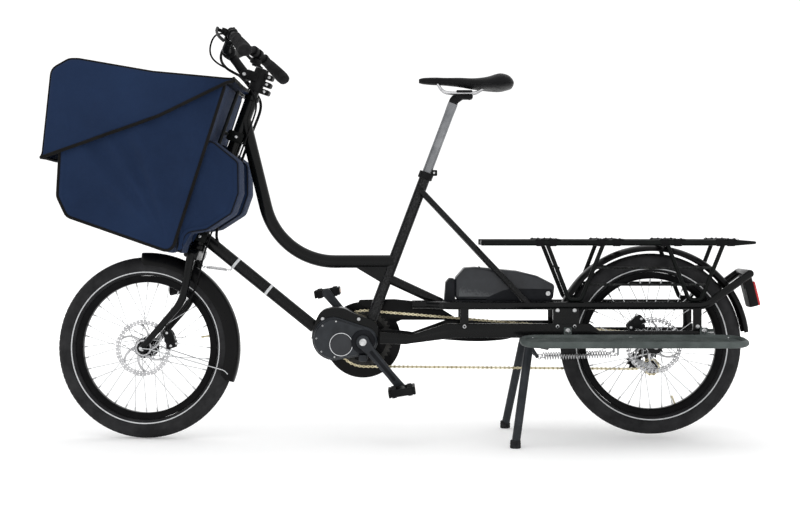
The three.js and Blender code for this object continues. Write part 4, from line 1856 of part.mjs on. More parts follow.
// A platform pedal with two windows, turning on the arm's spindle.
function pedal(name, side) {
  const eye = crankEye(side);
  const inner = ARM_INNER_Y + ARM_THICKNESS + FIT_GAP * 3;
  const centre = at(0, side * (inner + PEDAL_WIDTH / 2), 0);
  const frame = new THREE.BoxGeometry(PEDAL_LENGTH, PEDAL_WIDTH, PEDAL_HEIGHT);
  const body = solid(frame.translate(0, centre.y, 0));
  const wall = PEDAL_BARREL_RADIUS;
  const window = (sign) => {
    const length = PEDAL_LENGTH / 2 - PEDAL_BARREL_RADIUS - wall;
    const box = new THREE.BoxGeometry(length, PEDAL_WIDTH - wall * 2, PEDAL_HEIGHT + CUT_OVERRUN);
    return box.translate(sign * (PEDAL_BARREL_RADIUS + length / 2), centre.y, 0);
  };
  const bore = drum(centre, boreRadius(PEDAL_SPINDLE_RADIUS, PIPE_SIDES), PEDAL_WIDTH + CUT_OVERRUN, PIPE_SIDES);
  const mesh = part(name, "satin_black", cut(body, window(LEFT), window(RIGHT), bore));
  mesh.position.set(eye.x, 0, eye.z);
  mesh.rotation.y = -rad(PEDAL_TILT_DEG);
  return mesh;
}

// Cassette: eight discs that shrink outwards, on the freehub.
function cassette() {
  const small = tipRadius(COG_TEETH);
  const inner = CHAIN_Y - (CASSETTE_COGS - 1) * COG_SPACING;
  const bore = boreRadius(FREEHUB_RADIUS, HUB_STEPS);
  const outline = [[bore, inner - RING_THICKNESS / 2]];
  for (let i = 0; i < CASSETTE_COGS; i += 1) {
    const radius = THREE.MathUtils.lerp(CASSETTE_LARGE_RADIUS, small, i / (CASSETTE_COGS - 1));
    const y = inner + i * COG_SPACING;
    outline.push([radius, y + RING_THICKNESS / 2 - (i ? COG_SPACING : RING_THICKNESS)], [radius, y + RING_THICKNESS / 2]);
  }
  outline.push([bore, CHAIN_Y + RING_THICKNESS / 2]);
  const mesh = part("cassette", "steel", turned(outline.reverse(), HUB_STEPS));
  mesh.position.copy(REAR_AXLE);
  return mesh;
}

const TENSION_PULLEY = at(REAR_AXLE.x - TENSION_PULLEY_AHEAD, CHAIN_Y, REAR_AXLE.z - TENSION_PULLEY_BELOW);
const GUIDE_PULLEY = at(REAR_AXLE.x + GUIDE_PULLEY_BEHIND, CHAIN_Y, REAR_AXLE.z - GUIDE_PULLEY_BELOW);

function pulley(name, centre) {
  const bore = drum(centre, boreRadius(PULLEY_PIN_RADIUS, HOSE_SIDES), PULLEY_WIDTH * 2, HOSE_SIDES);
  return part(name, "satin_black", cut(toothed(centre, PULLEY_TEETH, PULLEY_WIDTH), bore));
}

// Derailleur: body on the dropout and a cage plate with a pin through each pulley.
function rearDerailleur() {
  const inner = CHAIN_Y - PULLEY_WIDTH / 2 - FIT_GAP * 2 - CAGE_THICKNESS / 2;
  const outer = CHAIN_Y + PULLEY_WIDTH / 2 + FIT_GAP * 2 + CAGE_THICKNESS / 2;
  const cage = (y) => {
    const a = TENSION_PULLEY.clone().setY(y);
    const b = GUIDE_PULLEY.clone().setY(y);
    const along = b.clone().sub(a);
    return [
      drum(a, PEDAL_BARREL_RADIUS, CAGE_THICKNESS, HOSE_SIDES),
      drum(b, PEDAL_BARREL_RADIUS, CAGE_THICKNESS, HOSE_SIDES),
      block(a.clone().lerp(b, 0.5), along.clone().normalize(), along.length(), CAGE_THICKNESS, PEDAL_BARREL_RADIUS),
    ];
  };
  const pins = [TENSION_PULLEY, GUIDE_PULLEY].map((p) => drum(p, PULLEY_PIN_RADIUS, outer - inner, HOSE_SIDES));
  const hanger = at(REAR_AXLE.x + DROPOUT_WIDTH / 2, REAR_HUB_HALF + DROPOUT_THICKNESS / 2, REAR_AXLE.z - DROPOUT_DROP);
  const arm = [
    rod(GUIDE_PULLEY.clone().setY(outer), at(GUIDE_PULLEY.x, REAR_HUB_HALF + DROPOUT_THICKNESS, GUIDE_PULLEY.z), PEDAL_BARREL_RADIUS, HOSE_SIDES),
    rod(at(GUIDE_PULLEY.x, hanger.y + DROPOUT_THICKNESS, GUIDE_PULLEY.z), at(hanger.x, hanger.y + DROPOUT_THICKNESS, hanger.z), PEDAL_BARREL_RADIUS - CAGE_THICKNESS, HOSE_SIDES),
  ];
  return part("rear_derailleur", "satin_black", cut(join(cage(inner), cage(outer), pins, arm), dropout(RIGHT), chainRoom()));
}

// The chain's path: arcs on each wheel joined by common tangents, followed once round.
function chainWheels() {
  return [
    { centre: CRANK, radius: pitchRadius(CHAINRING_TEETH), sense: 1 },
    { centre: REAR_AXLE, radius: pitchRadius(COG_TEETH), sense: 1 },
    { centre: GUIDE_PULLEY, radius: pitchRadius(PULLEY_TEETH), sense: -1 },
    { centre: TENSION_PULLEY, radius: pitchRadius(PULLEY_TEETH), sense: 1 },
  ];
}

function tangent(a, b) {
  const dx = b.centre.x - a.centre.x;
  const dz = b.centre.z - a.centre.z;
  const reach = Math.hypot(dx, dz);
  return Math.atan2(dz, dx) - Math.asin((a.sense * a.radius - b.sense * b.radius) / reach);
}

function chainPath() {
  const wheels = chainWheels();
  const path = [];
  wheels.forEach((wheel, i) => {
    const into = tangent(wheels[(i + wheels.length - 1) % wheels.length], wheel);
    let out = tangent(wheel, wheels[(i + 1) % wheels.length]);
    while (wheel.sense > 0 && out > into) out -= Math.PI * 2;
    while (wheel.sense < 0 && out < into) out += Math.PI * 2;
    const steps = Math.max(2, Math.ceil((Math.abs(out - into) * wheel.radius) / CHAIN_PITCH));
    for (let k = 0; k <= steps; k += 1) {
      const heading = THREE.MathUtils.lerp(into, out, k / steps);
      const normal = heading + (wheel.sense * Math.PI) / 2;
      path.push(at(wheel.centre.x + wheel.radius * Math.cos(normal), CHAIN_Y, wheel.centre.z + wheel.radius * Math.sin(normal)));
    }
  });
  return thinned(evenly(path, CHAIN_PITCH));
}

// Leaves out every other joint where the chain runs straight.
function thinned(points) {
  const n = points.length;
  return points.filter((p, i) => {
    const into = p.clone().sub(points[(i + n - 1) % n]);
    const out = points[(i + 1) % n].clone().sub(p);
    return i % 2 === 0 || into.angleTo(out) > rad(STRAIGHT_DEG);
  });
}

// Points at an even spacing along a closed path, an even number of them.
function evenly(path, spacing) {
  const closed = [...path, path[0]];
  const lengths = closed.slice(1).map((p, i) => p.distanceTo(closed[i]));
  const total = lengths.reduce((a, b) => a + b, 0);
  const count = Math.round(total / spacing / 2) * 2;
  const points = [];
  let span = 0;
  let walked = 0;
  for (let i = 0; i < count; i += 1) {
    const target = (total * i) / count;
    while (walked + lengths[span] < target) {
      walked += lengths[span];
      span += 1;
    }
    points.push(closed[span].clone().lerp(closed[span + 1], (target - walked) / lengths[span]));
  }
  return points;
}

// A closed ribbon through the chain's joints, wide and narrow by turns as its links are.
function chainRibbon(wide, narrow, depth) {
  const points = chainPath();
  const rings = points.map((p, i) => {
    const before = points[(i + points.length - 1) % points.length];
    const after = points[(i + 1) % points.length];
    const heading = after.clone().sub(before).normalize();
    const out = at(-heading.z, 0, heading.x);
    const half = (i % 2 ? wide : narrow) / 2;
    return [[-1, -1], [1, -1], [1, 1], [-1, 1]].map(([y, d]) =>
      at(p.x + (out.x * d * depth) / 2, p.y + y * half, p.z + (out.z * d * depth) / 2));
  });
  const count = 4;
  const faces = [];
  rings.forEach((_, r) => {
    const next = (r + 1) % rings.length;
    for (let i = 0; i < count; i += 1) {
      const j = (i + 1) % count;
      faces.push(r * count + i, r * count + j, next * count + i, r * count + j, next * count + j, next * count + i);
    }
  });
  return indexed(rings.flat(), faces);
}

const chain = () => part("chain", "brass", chainRibbon(CHAIN_WIDE, CHAIN_NARROW, CHAIN_DEPTH));
const chainRoom = () => chainRibbon(CHAIN_WIDE + FIT_GAP * 2, CHAIN_WIDE + FIT_GAP * 2, CHAIN_DEPTH + FIT_GAP * 2);

// Chain guard: a disc round the chainring and a tail along the upper run.
const GUARD_TAIL_SHARES = [
  [-0.16, 0.72], [-0.08, 0.97], [0.33, 1], [0.72, 0.83], [1, 0.1], [1, 0], [0.88, 0], [0.85, 0.08], [0.4, 0.08], [0, -0.6],
];

function chainGuard() {
  const y = BEAM_SPREAD - BEAM_WIDTH / 2 - FIT_GAP - GUARD_WALL / 2;
  const centre = at(CRANK.x - GUARD_DISC_AHEAD, y, CRANK.z - GUARD_DISC_DROP);
  const base = BEAM_TOP - GUARD_TAIL_OVERLAP;
  const tail = GUARD_TAIL_SHARES.map(([x, z]) => [centre.x + x * GUARD_TAIL_LENGTH, base + z * GUARD_TAIL_HEIGHT]);
  const disc = drum(centre, GUARD_DISC_RADIUS, GUARD_WALL, WHEEL_STEPS);
  const hole = drum(at(CRANK.x, y, CRANK.z), ARM_ROOT_RADIUS, GUARD_WALL + CUT_OVERRUN, ROUND_STEPS);
  return part("chain_guard", "satin_black", cut(join(disc, plate(tail, GUARD_WALL, y)), hole));
}

// Battery on its tray, with the dock at the front end.
const TRAY_BOTTOM = RAIL_HEIGHT + CROSS_TUBE_RADIUS + FIT_GAP;
const BATTERY_FRONT = REAR_AXLE.x - TUBE_CROSS_AHEAD + BATTERY_BEHIND_CROSS;
const BATTERY_LENGTH = REAR_AXLE.x - BATTERY_REAR_AHEAD - BATTERY_FRONT;
const BATTERY_SHARES = [[0, 0], [0, 0.68], [0.09, 1], [0.2, 1.02], [0.62, 0.9], [0.83, 0.74], [1, 0.47], [0.985, 0.06], [0.96, 0]];
const DOCK_SHARES = [[0, 0], [0.14, 0.82], [0.45, 1], [1, 1], [1, 0]];

function batteryMount() {
  const top = TRAY_BOTTOM + TRAY_THICKNESS;
  const dockFront = BATTERY_FRONT - FIT_GAP - DOCK_LENGTH;
  const dock = DOCK_SHARES.map(([x, z]) => [dockFront + x * DOCK_LENGTH, TRAY_BOTTOM + z * DOCK_HEIGHT]);
  const tray = [[dockFront, TRAY_BOTTOM], [dockFront, top], [BATTERY_FRONT + BATTERY_LENGTH, top], [BATTERY_FRONT + BATTERY_LENGTH, TRAY_BOTTOM]];
  return part("battery_mount", "anthracite", plate(dock, BATTERY_HALF_WIDTH * 2), plate(tray, BATTERY_HALF_WIDTH * 2));
}

function batteryPack() {
  const base = TRAY_BOTTOM + TRAY_THICKNESS + FIT_GAP;
  const outline = BATTERY_SHARES.map(([x, z]) => [BATTERY_FRONT + x * BATTERY_LENGTH, base + z * BATTERY_HEIGHT]);
  const lock = at(BATTERY_FRONT + BATTERY_LENGTH * 0.93, -BATTERY_HALF_WIDTH, base + BATTERY_HEIGHT * 0.2);
  return part("battery_pack", "anthracite", plate(outline, BATTERY_HALF_WIDTH * 2), drum(lock, LOCK_RADIUS, LOCK_DEPTH * 2, PIPE_SIDES));
}

// Hoses and cables keep their own hand-chosen routes.
const FRONT_HOSE_ROUTE = [
  [-398, -98, 1142], [-416, -78, 1132], [-428, -64, 1110], [-428, -56, 1080], [-398, -52, 1056], [-355, -50, 1038],
  [-325, -48, 1005], [-300, -40, 968], [-300, -29, 934], [-315.5, -27, 892], [-350, -27, 798], [-384, -27, 704],
  [-419, -27, 610], [-438, -28, 559], [-446, -33, 529], [-457, -36, 485], [-466, -36, 447], [-488, -36, 386],
  [-514, -36, 358], [-537, -36, 345], [-553.5, -36, 335], [-557.7, -36, 325], [-553.3, -36, 310.8],
];
const BUNDLE_ROUTE = [
  [-387.8, 110.4, 1139.3], [-407.6, 92.9, 1129.9], [-418, 76, 1104], [-414, 66, 1078], [-390, 60, 1054], [-350, 54, 1036],
  [-322, 48, 1002], [-298, 40, 968], [-298, 31, 934], [-315, 29, 892], [-350, 28, 798], [-384, 28, 704],
  [-418, 28, 612], [-426, 28, 570], [-400, 26, 527], [-300, 25, 446], [-200, 25, 364], [-153, 26, 329],
];
const REAR_CABLE_ROUTE = [
  [40.4, -26, 303], [96, -27.2, 303], [140, -28, 298], [180, -34, 292], [240, -48, 286], [320, -52, 282], [390, -52, 286],
  [435, -52, 295],
  [500, -52, 299], [560, -52, 300], [606, -55, 316],
];

function hose(name, start, route, radius) {
  return part(name, "rubber", bar([...start, ...route.map((place) => at(...place))], radius, HOSE_SIDES));
}

// The steering group turns as one about the head tube, a little to the right as the bike stands.
function steeringGroup() {
  const group = new THREE.Group();
  const turn = new THREE.Quaternion().setFromAxisAngle(STEER_UP, -rad(STEER_TURN_DEG));
  const foot = onSteer(0);
  group.quaternion.copy(turn);
  group.position.copy(foot.clone().sub(foot.clone().applyQuaternion(turn)));
  group.add(
    fork(), stem(), handlebar(), grip("grip_left", LEFT), grip("grip_right", RIGHT),
    brakeMaster("brake_master_left", LEFT), brakeMaster("brake_master_right", RIGHT),
    brakeLever("brake_lever_left", LEFT), brakeLever("brake_lever_right", RIGHT),
    bell(), bellLever(), shifter(), shiftLever(), frontCaliper(), headlight(), frontMudguard(), frontWheel(),
    hose("front_brake_hose", hoseStart(LEFT), FRONT_HOSE_ROUTE, HOSE_RADIUS),
  );
  return group;
}

function centringSpring() {
  const [start, end] = centringEnds();
  return wound("centring_spring", "silver", start, end, CENTRE_COIL_RADIUS, CENTRE_WIRE_RADIUS, CENTRE_COILS, CENTRE_SPRING_END);
}

const bike = new THREE.Group();
bike.add(
  frontFrame(), rearFrame(), rack(), rearMudguard(), rearLight(), rearReflector(),
  runningBoard("running_board_left", LEFT), runningBoard("running_board_right", RIGHT),
  stand(), ...standSprings(), centringSpring(), bagCarrier(), bag(), bagLid(),
  seatPost(), saddleRails(), saddle(), seatClamp(), motorHousing(), ...crankParts(),
  pedal("pedal_left", LEFT), pedal("pedal_right", RIGHT), cassette(),
  pulley("guide_pulley", GUIDE_PULLEY), pulley("tension_pulley", TENSION_PULLEY), rearDerailleur(), chain(), chainGuard(),
  batteryMount(), batteryPack(), rearCaliper(), rearWheel(), steeringGroup(),
  hose("cable_bundle", hoseStart(RIGHT).map(steered), BUNDLE_ROUTE, BUNDLE_RADIUS),
  hose("rear_cables", [], REAR_CABLE_ROUTE, BUNDLE_RADIUS),
);

// The origin is on the ground, below the middle of the bike's length.
const box = new THREE.Box3().setFromObject(bike, true);
bike.position.x = -(box.min.x + box.max.x) / 2;
bike.updateMatrixWorld(true);

const whole = new THREE.Group();
whole.add(bike);
export default whole;
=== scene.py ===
"""Longtail cargo bike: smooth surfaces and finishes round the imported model's frame.

Shapes are worked out in the part's millimetres, with the rear axle at x = 820 and the crank at x = 0,
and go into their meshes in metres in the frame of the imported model. The front wheel, fork and bars are
worked out straight ahead and then turned with the steering as the bike stands.
"""
import math

import bmesh
import bpy
import numpy as np
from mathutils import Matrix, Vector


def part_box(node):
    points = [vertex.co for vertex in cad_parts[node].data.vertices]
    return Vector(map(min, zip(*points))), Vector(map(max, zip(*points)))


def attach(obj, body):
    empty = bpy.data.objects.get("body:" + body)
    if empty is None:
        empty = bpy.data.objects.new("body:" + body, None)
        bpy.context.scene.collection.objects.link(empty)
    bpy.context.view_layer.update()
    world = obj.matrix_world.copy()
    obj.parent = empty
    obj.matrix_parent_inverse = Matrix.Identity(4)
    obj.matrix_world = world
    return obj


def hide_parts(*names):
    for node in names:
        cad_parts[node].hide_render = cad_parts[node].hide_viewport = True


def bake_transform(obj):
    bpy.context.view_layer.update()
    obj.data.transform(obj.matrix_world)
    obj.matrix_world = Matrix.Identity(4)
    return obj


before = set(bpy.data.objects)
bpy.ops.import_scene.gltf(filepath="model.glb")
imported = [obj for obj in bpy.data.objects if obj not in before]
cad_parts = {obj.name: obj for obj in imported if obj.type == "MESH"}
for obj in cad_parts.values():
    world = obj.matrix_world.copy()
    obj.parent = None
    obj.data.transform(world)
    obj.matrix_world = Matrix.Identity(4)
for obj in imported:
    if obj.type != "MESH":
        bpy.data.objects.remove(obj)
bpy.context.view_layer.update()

TYRE_LOW, TYRE_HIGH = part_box("rear_tyre")
SHIFT = (TYRE_LOW[0] + TYRE_HIGH[0]) * 500 - 820.0
WHEEL_RADIUS, TYRE_RING, SPOKES, TREAD_CUTS = 258.0, 230.5, 36, 96
CHAIN_PITCH, LID_ROWS, EASING_PASSES = 12.7, 110, 60
RACK_HEIGHT, RAIL_HEIGHT, CHAIN_SIDE, BAR_HALF = 558.5, 381, 56.0, 300
REAR = np.array([820.0, 0.0, 269.0])
CRANK = np.array([0.0, 0.0, 279.0])
FRONT = np.array([-620.0, 0.0, WHEEL_RADIUS])


def way_at(degrees):
    """The way out from an axle at an angle above straight back."""
    turn = math.radians(degrees)
    return np.array([math.cos(turn), 0.0, math.sin(turn)])


def square_to(way):
    """A way in the bike's plane turned by a quarter."""
    return np.array([-way[2], 0.0, way[0]])


UP = way_at(70)
AHEAD = square_to(UP)
STEER_FOOT = FRONT - 39 * AHEAD
SEAT_UP = way_at(69.3)
X, Y, Z = np.eye(3)
SIDES = (("left", -1), ("right", 1))
STEER_AT_REST = -6.0
STEERED = ("steering", "front_wheel", "left_brake_lever", "right_brake_lever")
HALF_PI = math.pi / 2


def on_steer(along, ahead=0.0, side=0.0):
    """Foot of the steering axis plus a length up it, a length ahead of it, and a place across."""
    return STEER_FOOT + along * UP + ahead * AHEAD + side * Y


def on_seat(along):
    """The crank's centre plus a length up the seat tube."""
    return CRANK + along * SEAT_UP


def steered(points):
    """Turns points about the steering axis: the part along the axis stays, the rest goes round by the angle."""
    turn = math.radians(STEER_AT_REST)
    arm = np.asarray(points, float) - STEER_FOOT
    along = (arm @ UP)[..., None] * UP
    across = np.cross(np.broadcast_to(UP, arm.shape), arm)
    return STEER_FOOT + along + (arm - along) * math.cos(turn) + across * math.sin(turn)


def placed(points):
    """Points in the part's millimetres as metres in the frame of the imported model."""
    return (np.asarray(points, float) + [SHIFT, 0, 0]) / 1000


# ---------------------------------------------------------------- surfaces as arrays

def unit(vectors):
    """Vectors over their own length."""
    v = np.asarray(vectors, float)
    return v / np.maximum(np.linalg.norm(v, axis=-1, keepdims=True), 1e-12)


def circle(count):
    """Even angles once round."""
    return np.arange(count) * (2 * math.pi / count)


def about(radius, y, turn):
    """Places round an axle: radius times the turn's cosine and sine, at a distance y across."""
    return np.stack(np.broadcast_arrays(radius * np.cos(turn), y, radius * np.sin(turn)), -1)


def arc(radius, start, end, count, x=0.0, z=0.0):
    """Points of a circle between two angles, about a centre in the plane."""
    a = np.linspace(start, end, count)
    return np.stack([x + radius * np.cos(a), z + radius * np.sin(a)], 1)


def at_side(outline, y):
    """An outline in x and z stood at a distance across the bike."""
    return np.stack([outline[:, 0], np.broadcast_to(y, len(outline)), outline[:, 1]], 1)


def walked(line):
    """How far along a line each of its points lies."""
    return np.concatenate([[0], np.cumsum(np.linalg.norm(np.diff(line, axis=0), axis=1))])


def even_line(line, count):
    """A line's points again, at even steps of its length."""
    far = walked(line)
    return np.stack([np.interp(np.linspace(0, far[-1], count), far, line[:, k]) for k in range(line.shape[1])], 1)


def grid(rings, round_run=False, open_sheet=False):
    """Faces between neighbouring points of an array of rings; each end ring is closed by one many-sided face."""
    n, m = rings.shape[:2]
    index = np.arange(n * m).reshape(n, m)
    if round_run:
        index = np.vstack([index, index[:1]])
    if not open_sheet:
        index = np.hstack([index, index[:, :1]])
    quads = np.stack([index[:-1, :-1], index[:-1, 1:], index[1:, 1:], index[1:, :-1]], -1).reshape(-1, 4)
    ends = [] if round_run or open_sheet else [list(range(m))[::-1], list(range((n - 1) * m, n * m))]
    return outward((rings.reshape(-1, 3), quads, ends))


def outward(shape):
    """Turns a closed shape's faces over where the sum of its corners' triple products shows it inside out."""
    points, quads, ends = shape
    centre = points.mean(0)
    p = points - centre
    a, b, c, d = (p[quads[:, i]] for i in range(4))
    volume = np.einsum("ij,ij->", a, np.cross(b, c)) + np.einsum("ij,ij->", a, np.cross(c, d))
    for end in ends:
        q = p[end]
        volume += np.einsum("ij,ij->", np.broadcast_to(q[0], q[1:-1].shape), np.cross(q[1:-1], q[2:]))
    if volume < 0:
        quads = quads[:, ::-1]
        ends = [end[::-1] for end in ends]
    return points, quads, ends


def together(*shapes):
    """Several shapes in one: their points in a row, with their faces counted on."""
    points, quads, ends, start = [], [], [], 0
    for shape in flat(shapes):
        points.append(shape[0])
        quads.append(shape[1] + start)
        ends += [[i + start for i in end] for end in shape[2]]
        start += len(shape[0])
    return np.vstack(points), np.vstack(quads), ends


def flat(shapes):
    """One list of shapes out of shapes and lists of shapes."""
    found = []
    for shape in shapes:
        if isinstance(shape, tuple) and len(shape) == 3 and isinstance(shape[0], np.ndarray):
            found.append(shape)
        else:
            found += flat(shape)
    return found


def repeated(shape, turns, shifts):
    """The shape once for each place: points times the place's 3 by 3 turn, plus its shift, for all places at once."""
    points, quads, ends = shape
    count, size = len(shifts), len(points)
    many = np.einsum("kij,pj->kpi", turns, points) + shifts[:, None]
    steps = np.arange(count)[:, None, None] * size
    later = [[i + k * size for i in end] for k in range(count) for end in ends]
    return many.reshape(-1, 3), (quads[None] + steps).reshape(-1, 4), later


def mirrored(shape):
    """The same shape on the other side of the bike, with its faces turned back outwards."""
    points, quads, ends = shape
    return points * np.array([1, -1, 1]), quads[:, ::-1], [end[::-1] for end in ends]


def both(shape):
    """A shape and its mirror image."""
    return [shape, mirrored(shape)]


def bent(corners, radius, steps=6, closed=False):
    """Corners rounded by arcs: from the arc's centre, the two touching points' arms are mixed by sines of their shares
    of the turn."""
    corners = [np.asarray(c, float) for c in corners]
    n = len(corners)
    made = [] if closed else [corners[0]]
    s = np.linspace(0, 1, steps + 1)[:, None]
    for i in (range(n) if closed else range(1, n - 1)):
        before, here, after = corners[i - 1], corners[i], corners[(i + 1) % n]
        a, b = unit(before - here), unit(after - here)
        turn = math.pi - math.acos(max(-1.0, min(1.0, float(a @ b))))
        if turn < 1e-3:
            made.append(here)
            continue
        room = 0.49 * min(np.linalg.norm(before - here), np.linalg.norm(after - here))
        reach = min(radius * math.tan(turn / 2), room)
        centre = here + unit(a + b) * reach / math.tan(turn / 2) / math.cos(turn / 2)
        first, last = here + a * reach - centre, here + b * reach - centre
        made += list(centre + (np.sin((1 - s) * turn) * first + np.sin(s * turn) * last) / math.sin(turn))
    if not closed:
        made.append(corners[-1])
    return np.array(made)


def eased(points, count):
    """A smooth curve through points: cubic pieces whose slope at a point is half the step between its neighbours."""
    p = np.asarray(points, float)
    p = np.vstack([2 * p[0] - p[1], p, 2 * p[-1] - p[-2]])
    t = np.linspace(0, len(p) - 3 - 1e-9, count)
    i = t.astype(int)
    s = (t - i)[:, None]
    a, b, c, d = p[i], p[i + 1], p[i + 2], p[i + 3]
    return 0.5 * (2 * b + (c - a) * s + (2 * a - 5 * b + 4 * c - d) * s ** 2 + (3 * b - a - 3 * c + d) * s ** 3)


def directions(path, closed=False):
    """Along each place of a path, and two directions across it, from whichever fixed direction the path never
    follows."""
    if closed:
        along = unit(np.roll(path, -1, 0) - np.roll(path, 1, 0))
    else:
        step = unit(np.diff(path, axis=0))
        along = unit(np.vstack([step[:1], step[:-1] + step[1:], step[-1:]]))
    tries = unit([Y, Z, X, X + Y, Y + Z, X + Z, X - Y, Y - Z, X + Y + Z])
    fixed = tries[int(np.argmin(np.abs(along @ tries.T).max(0)))]
    a = unit(np.cross(along, fixed))
    return along, a, np.cross(along, a)


def tube(path, radius, sides=20, closed=False):
    """A round section along a path: each path point plus its radius times cosine and sine along two directions
    across."""
    path = np.asarray(path, float)
    radius = np.broadcast_to(np.asarray(radius, float), (len(path),))[:, None, None]
    _, a, b = directions(path, closed)
    turn = circle(sides)[None, :, None]
    return grid(path[:, None] + radius * (np.cos(turn) * a[:, None] + np.sin(turn) * b[:, None]), closed)


def rod(a, b, radius, sides=18, round_end=0.0):
    """A straight round bar whose two ends are drawn in by quarter circles."""
    a, b = np.asarray(a, float), np.asarray(b, float)
    if round_end == 0:
        return tube([a, b], radius, sides)
    length = np.linalg.norm(b - a)
    s = np.linspace(0, HALF_PI, 4)
    inward, depth = round_end * (1 - np.sin(s)), round_end * (1 - np.cos(s))
    places = np.concatenate([depth, length - depth[::-1]]) / length
    return tube(a + places[:, None] * (b - a), radius - np.concatenate([inward, inward[::-1]]), sides)


def lathe(profile, centre, axis, steps=64, closed=False):
    """A profile of (radius, height) swung about an axis: centre plus height along it plus radius on a circle across
    it."""
    profile = np.asarray(profile, float)
    axis = unit(axis)
    side = unit(np.cross(axis, [0.3, 0.1, 0.95]))
    turn = circle(steps)[:, None]
    spokes = np.cos(turn) * side + np.sin(turn) * np.cross(axis, side)
    rings = np.asarray(centre, float) + profile[:, 1][:, None, None] * axis + profile[:, 0][:, None,
        None] * spokes[None]
    return grid(rings, closed)


def sleeve(inner, outer, half, centre, axis, steps=40):
    """A plain ring: a rectangle from the inner to the outer radius and half its width to each side, swung about an
    axis."""
    return lathe([[inner, -half], [outer, -half], [outer, half], [inner, half]], centre, axis, steps, closed=True)


def inset(outline, by):
    """An outline moved inwards: each corner goes along the two sides' mean normal, over its cosine."""
    before, after = np.roll(outline, 1, 0), np.roll(outline, -1, 0)
    e1, e2 = unit(outline - before), unit(after - outline)
    n1, n2 = np.stack([-e1[:, 1], e1[:, 0]], 1), np.stack([-e2[:, 1], e2[:, 0]], 1)
    normal = unit(n1 + n2)
    area = 0.5 * np.sum(outline[:, 0] * after[:, 1] - after[:, 0] * outline[:, 1])
    lean = np.maximum(np.einsum("ij,ij->i", normal, n1), 0.5)
    return outline + np.sign(area) * by * normal / lean[:, None]


def prism(outline, origin, u, v, depth, bevel=1.0, steps=3):
    """An outline in the plane of u and v, carried half its depth to each side, with quarter-round edges."""
    outline, u, v = np.asarray(outline, float), unit(u), unit(v)
    w = np.cross(u, v)
    s = np.linspace(0, HALF_PI, steps + 1)
    inward, rise = bevel * (1 - np.sin(s)), bevel * (1 - np.cos(s))
    heights = np.concatenate([rise - depth / 2, depth / 2 - rise[::-1]])
    rings = [origin + o[:, :1] * u + o[:, 1:] * v + h * w
             for o, h in zip([inset(outline, i) for i in [*inward, *inward[::-1]]], heights)]
    return grid(np.array(rings))


def side_plate(outline, depth, y=0.0, bevel=1.0, steps=3):
    """A plate across the bike: its outline is in x and z, its depth along y about a middle."""
    return prism(outline, y * Y, X, Z, depth, bevel, steps)


def soft_box(length, width, corner, steps=5):
    """A rectangle about its middle whose four corners are quarter circles."""
    corner = min(corner, length / 2 - 0.01, width / 2 - 0.01)
    quarter = arc(corner, 0, HALF_PI, steps + 1)
    a, b = length / 2 - corner, width / 2 - corner
    turned = [quarter, quarter[:, ::-1] * [-1, 1], -quarter, quarter[:, ::-1] * [1, -1]]
    return np.vstack([q + m for q, m in zip(turned, [[a, b], [-a, b], [-a, -b], [a, -b]])])


def block(centre, along, length, width, height, bevel=1.5, corner=3.0, across=Y):
    """A rounded block: a soft rectangle of length and height, carried along the width with quarter-round edges."""
    up = np.cross(unit(along), unit(across))
    return prism(soft_box(length, height, corner), np.asarray(centre, float), along, up, width, bevel)


def rounded_outline(points, radius=6.0, steps=4):
    """An outline in two directions whose corners are rounded by arcs."""
    p = np.hstack([np.asarray(points, float), np.zeros((len(points), 1))])
    return bent(p, radius, steps, closed=True)[:, :2]


def bolt(centre, axis, radius=4.0, height=2.6):
    """A button bolt head: a low dome of revolution with a six-sided socket sunk in its top."""
    head = [[1, 0], [1, 0.35], [0.86, 0.8], [0.55, 1], [0.5, 1], [0.45, 0.45]]
    return lathe([[radius * r, height * h] for r, h in head], centre, axis, 18)


def piece(name, shapes, body, finish, nodes=(), smooth=38, uv=None):
    """Puts arrays into a mesh in metres, turned with the steering where its body is, and ties it to its body and
    nodes."""
    points, quads, ends = together(shapes)
    if body in STEERED:
        points = steered(points)
    mesh = bpy.data.meshes.new(name)
    mesh.from_pydata(placed(points).tolist(), [], quads.tolist() + ends)
    mesh.update()
    if uv is not None:
        layer = mesh.uv_layers.new(name="UVMap")
        corners = np.empty(len(mesh.loops), np.int32)
        mesh.loops.foreach_get("vertex_index", corners)
        layer.data.foreach_set("uv", np.asarray(uv, np.float32)[corners].ravel())
    return dressed(name, mesh, body, finish, nodes, smooth)


def dressed(name, mesh, body, finish, nodes, smooth, bevel=0.0):
    """Gives a mesh its shading, finish, body and the nodes it stands for."""
    mesh.polygons.foreach_set("use_smooth", np.ones(len(mesh.polygons), bool))
    mesh.set_sharp_from_angle(angle=math.radians(smooth))
    made = bpy.data.objects.new(name, mesh)
    bpy.context.scene.collection.objects.link(made)
    mesh.materials.append(finish)
    if bevel:
        edge = made.modifiers.new("edges", "BEVEL")
        edge.width, edge.segments, edge.limit_method = bevel / 1000, 2, "ANGLE"
        edge.angle_limit, edge.harden_normals = math.radians(32), True
    if body:
        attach(made, body)
    if nodes:
        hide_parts(nodes)
    return made


def healed(mesh, work_on):
    """Runs operations on a mesh's faces and corners and puts the outcome back."""
    work = bmesh.new()
    work.from_mesh(mesh)
    work_on(work)
    work.to_mesh(mesh)
    work.free()


def steel(name, shapes):
    """Bright bolts and small parts on the frame."""
    return piece(name, shapes, "frame", BOLT_STEEL)


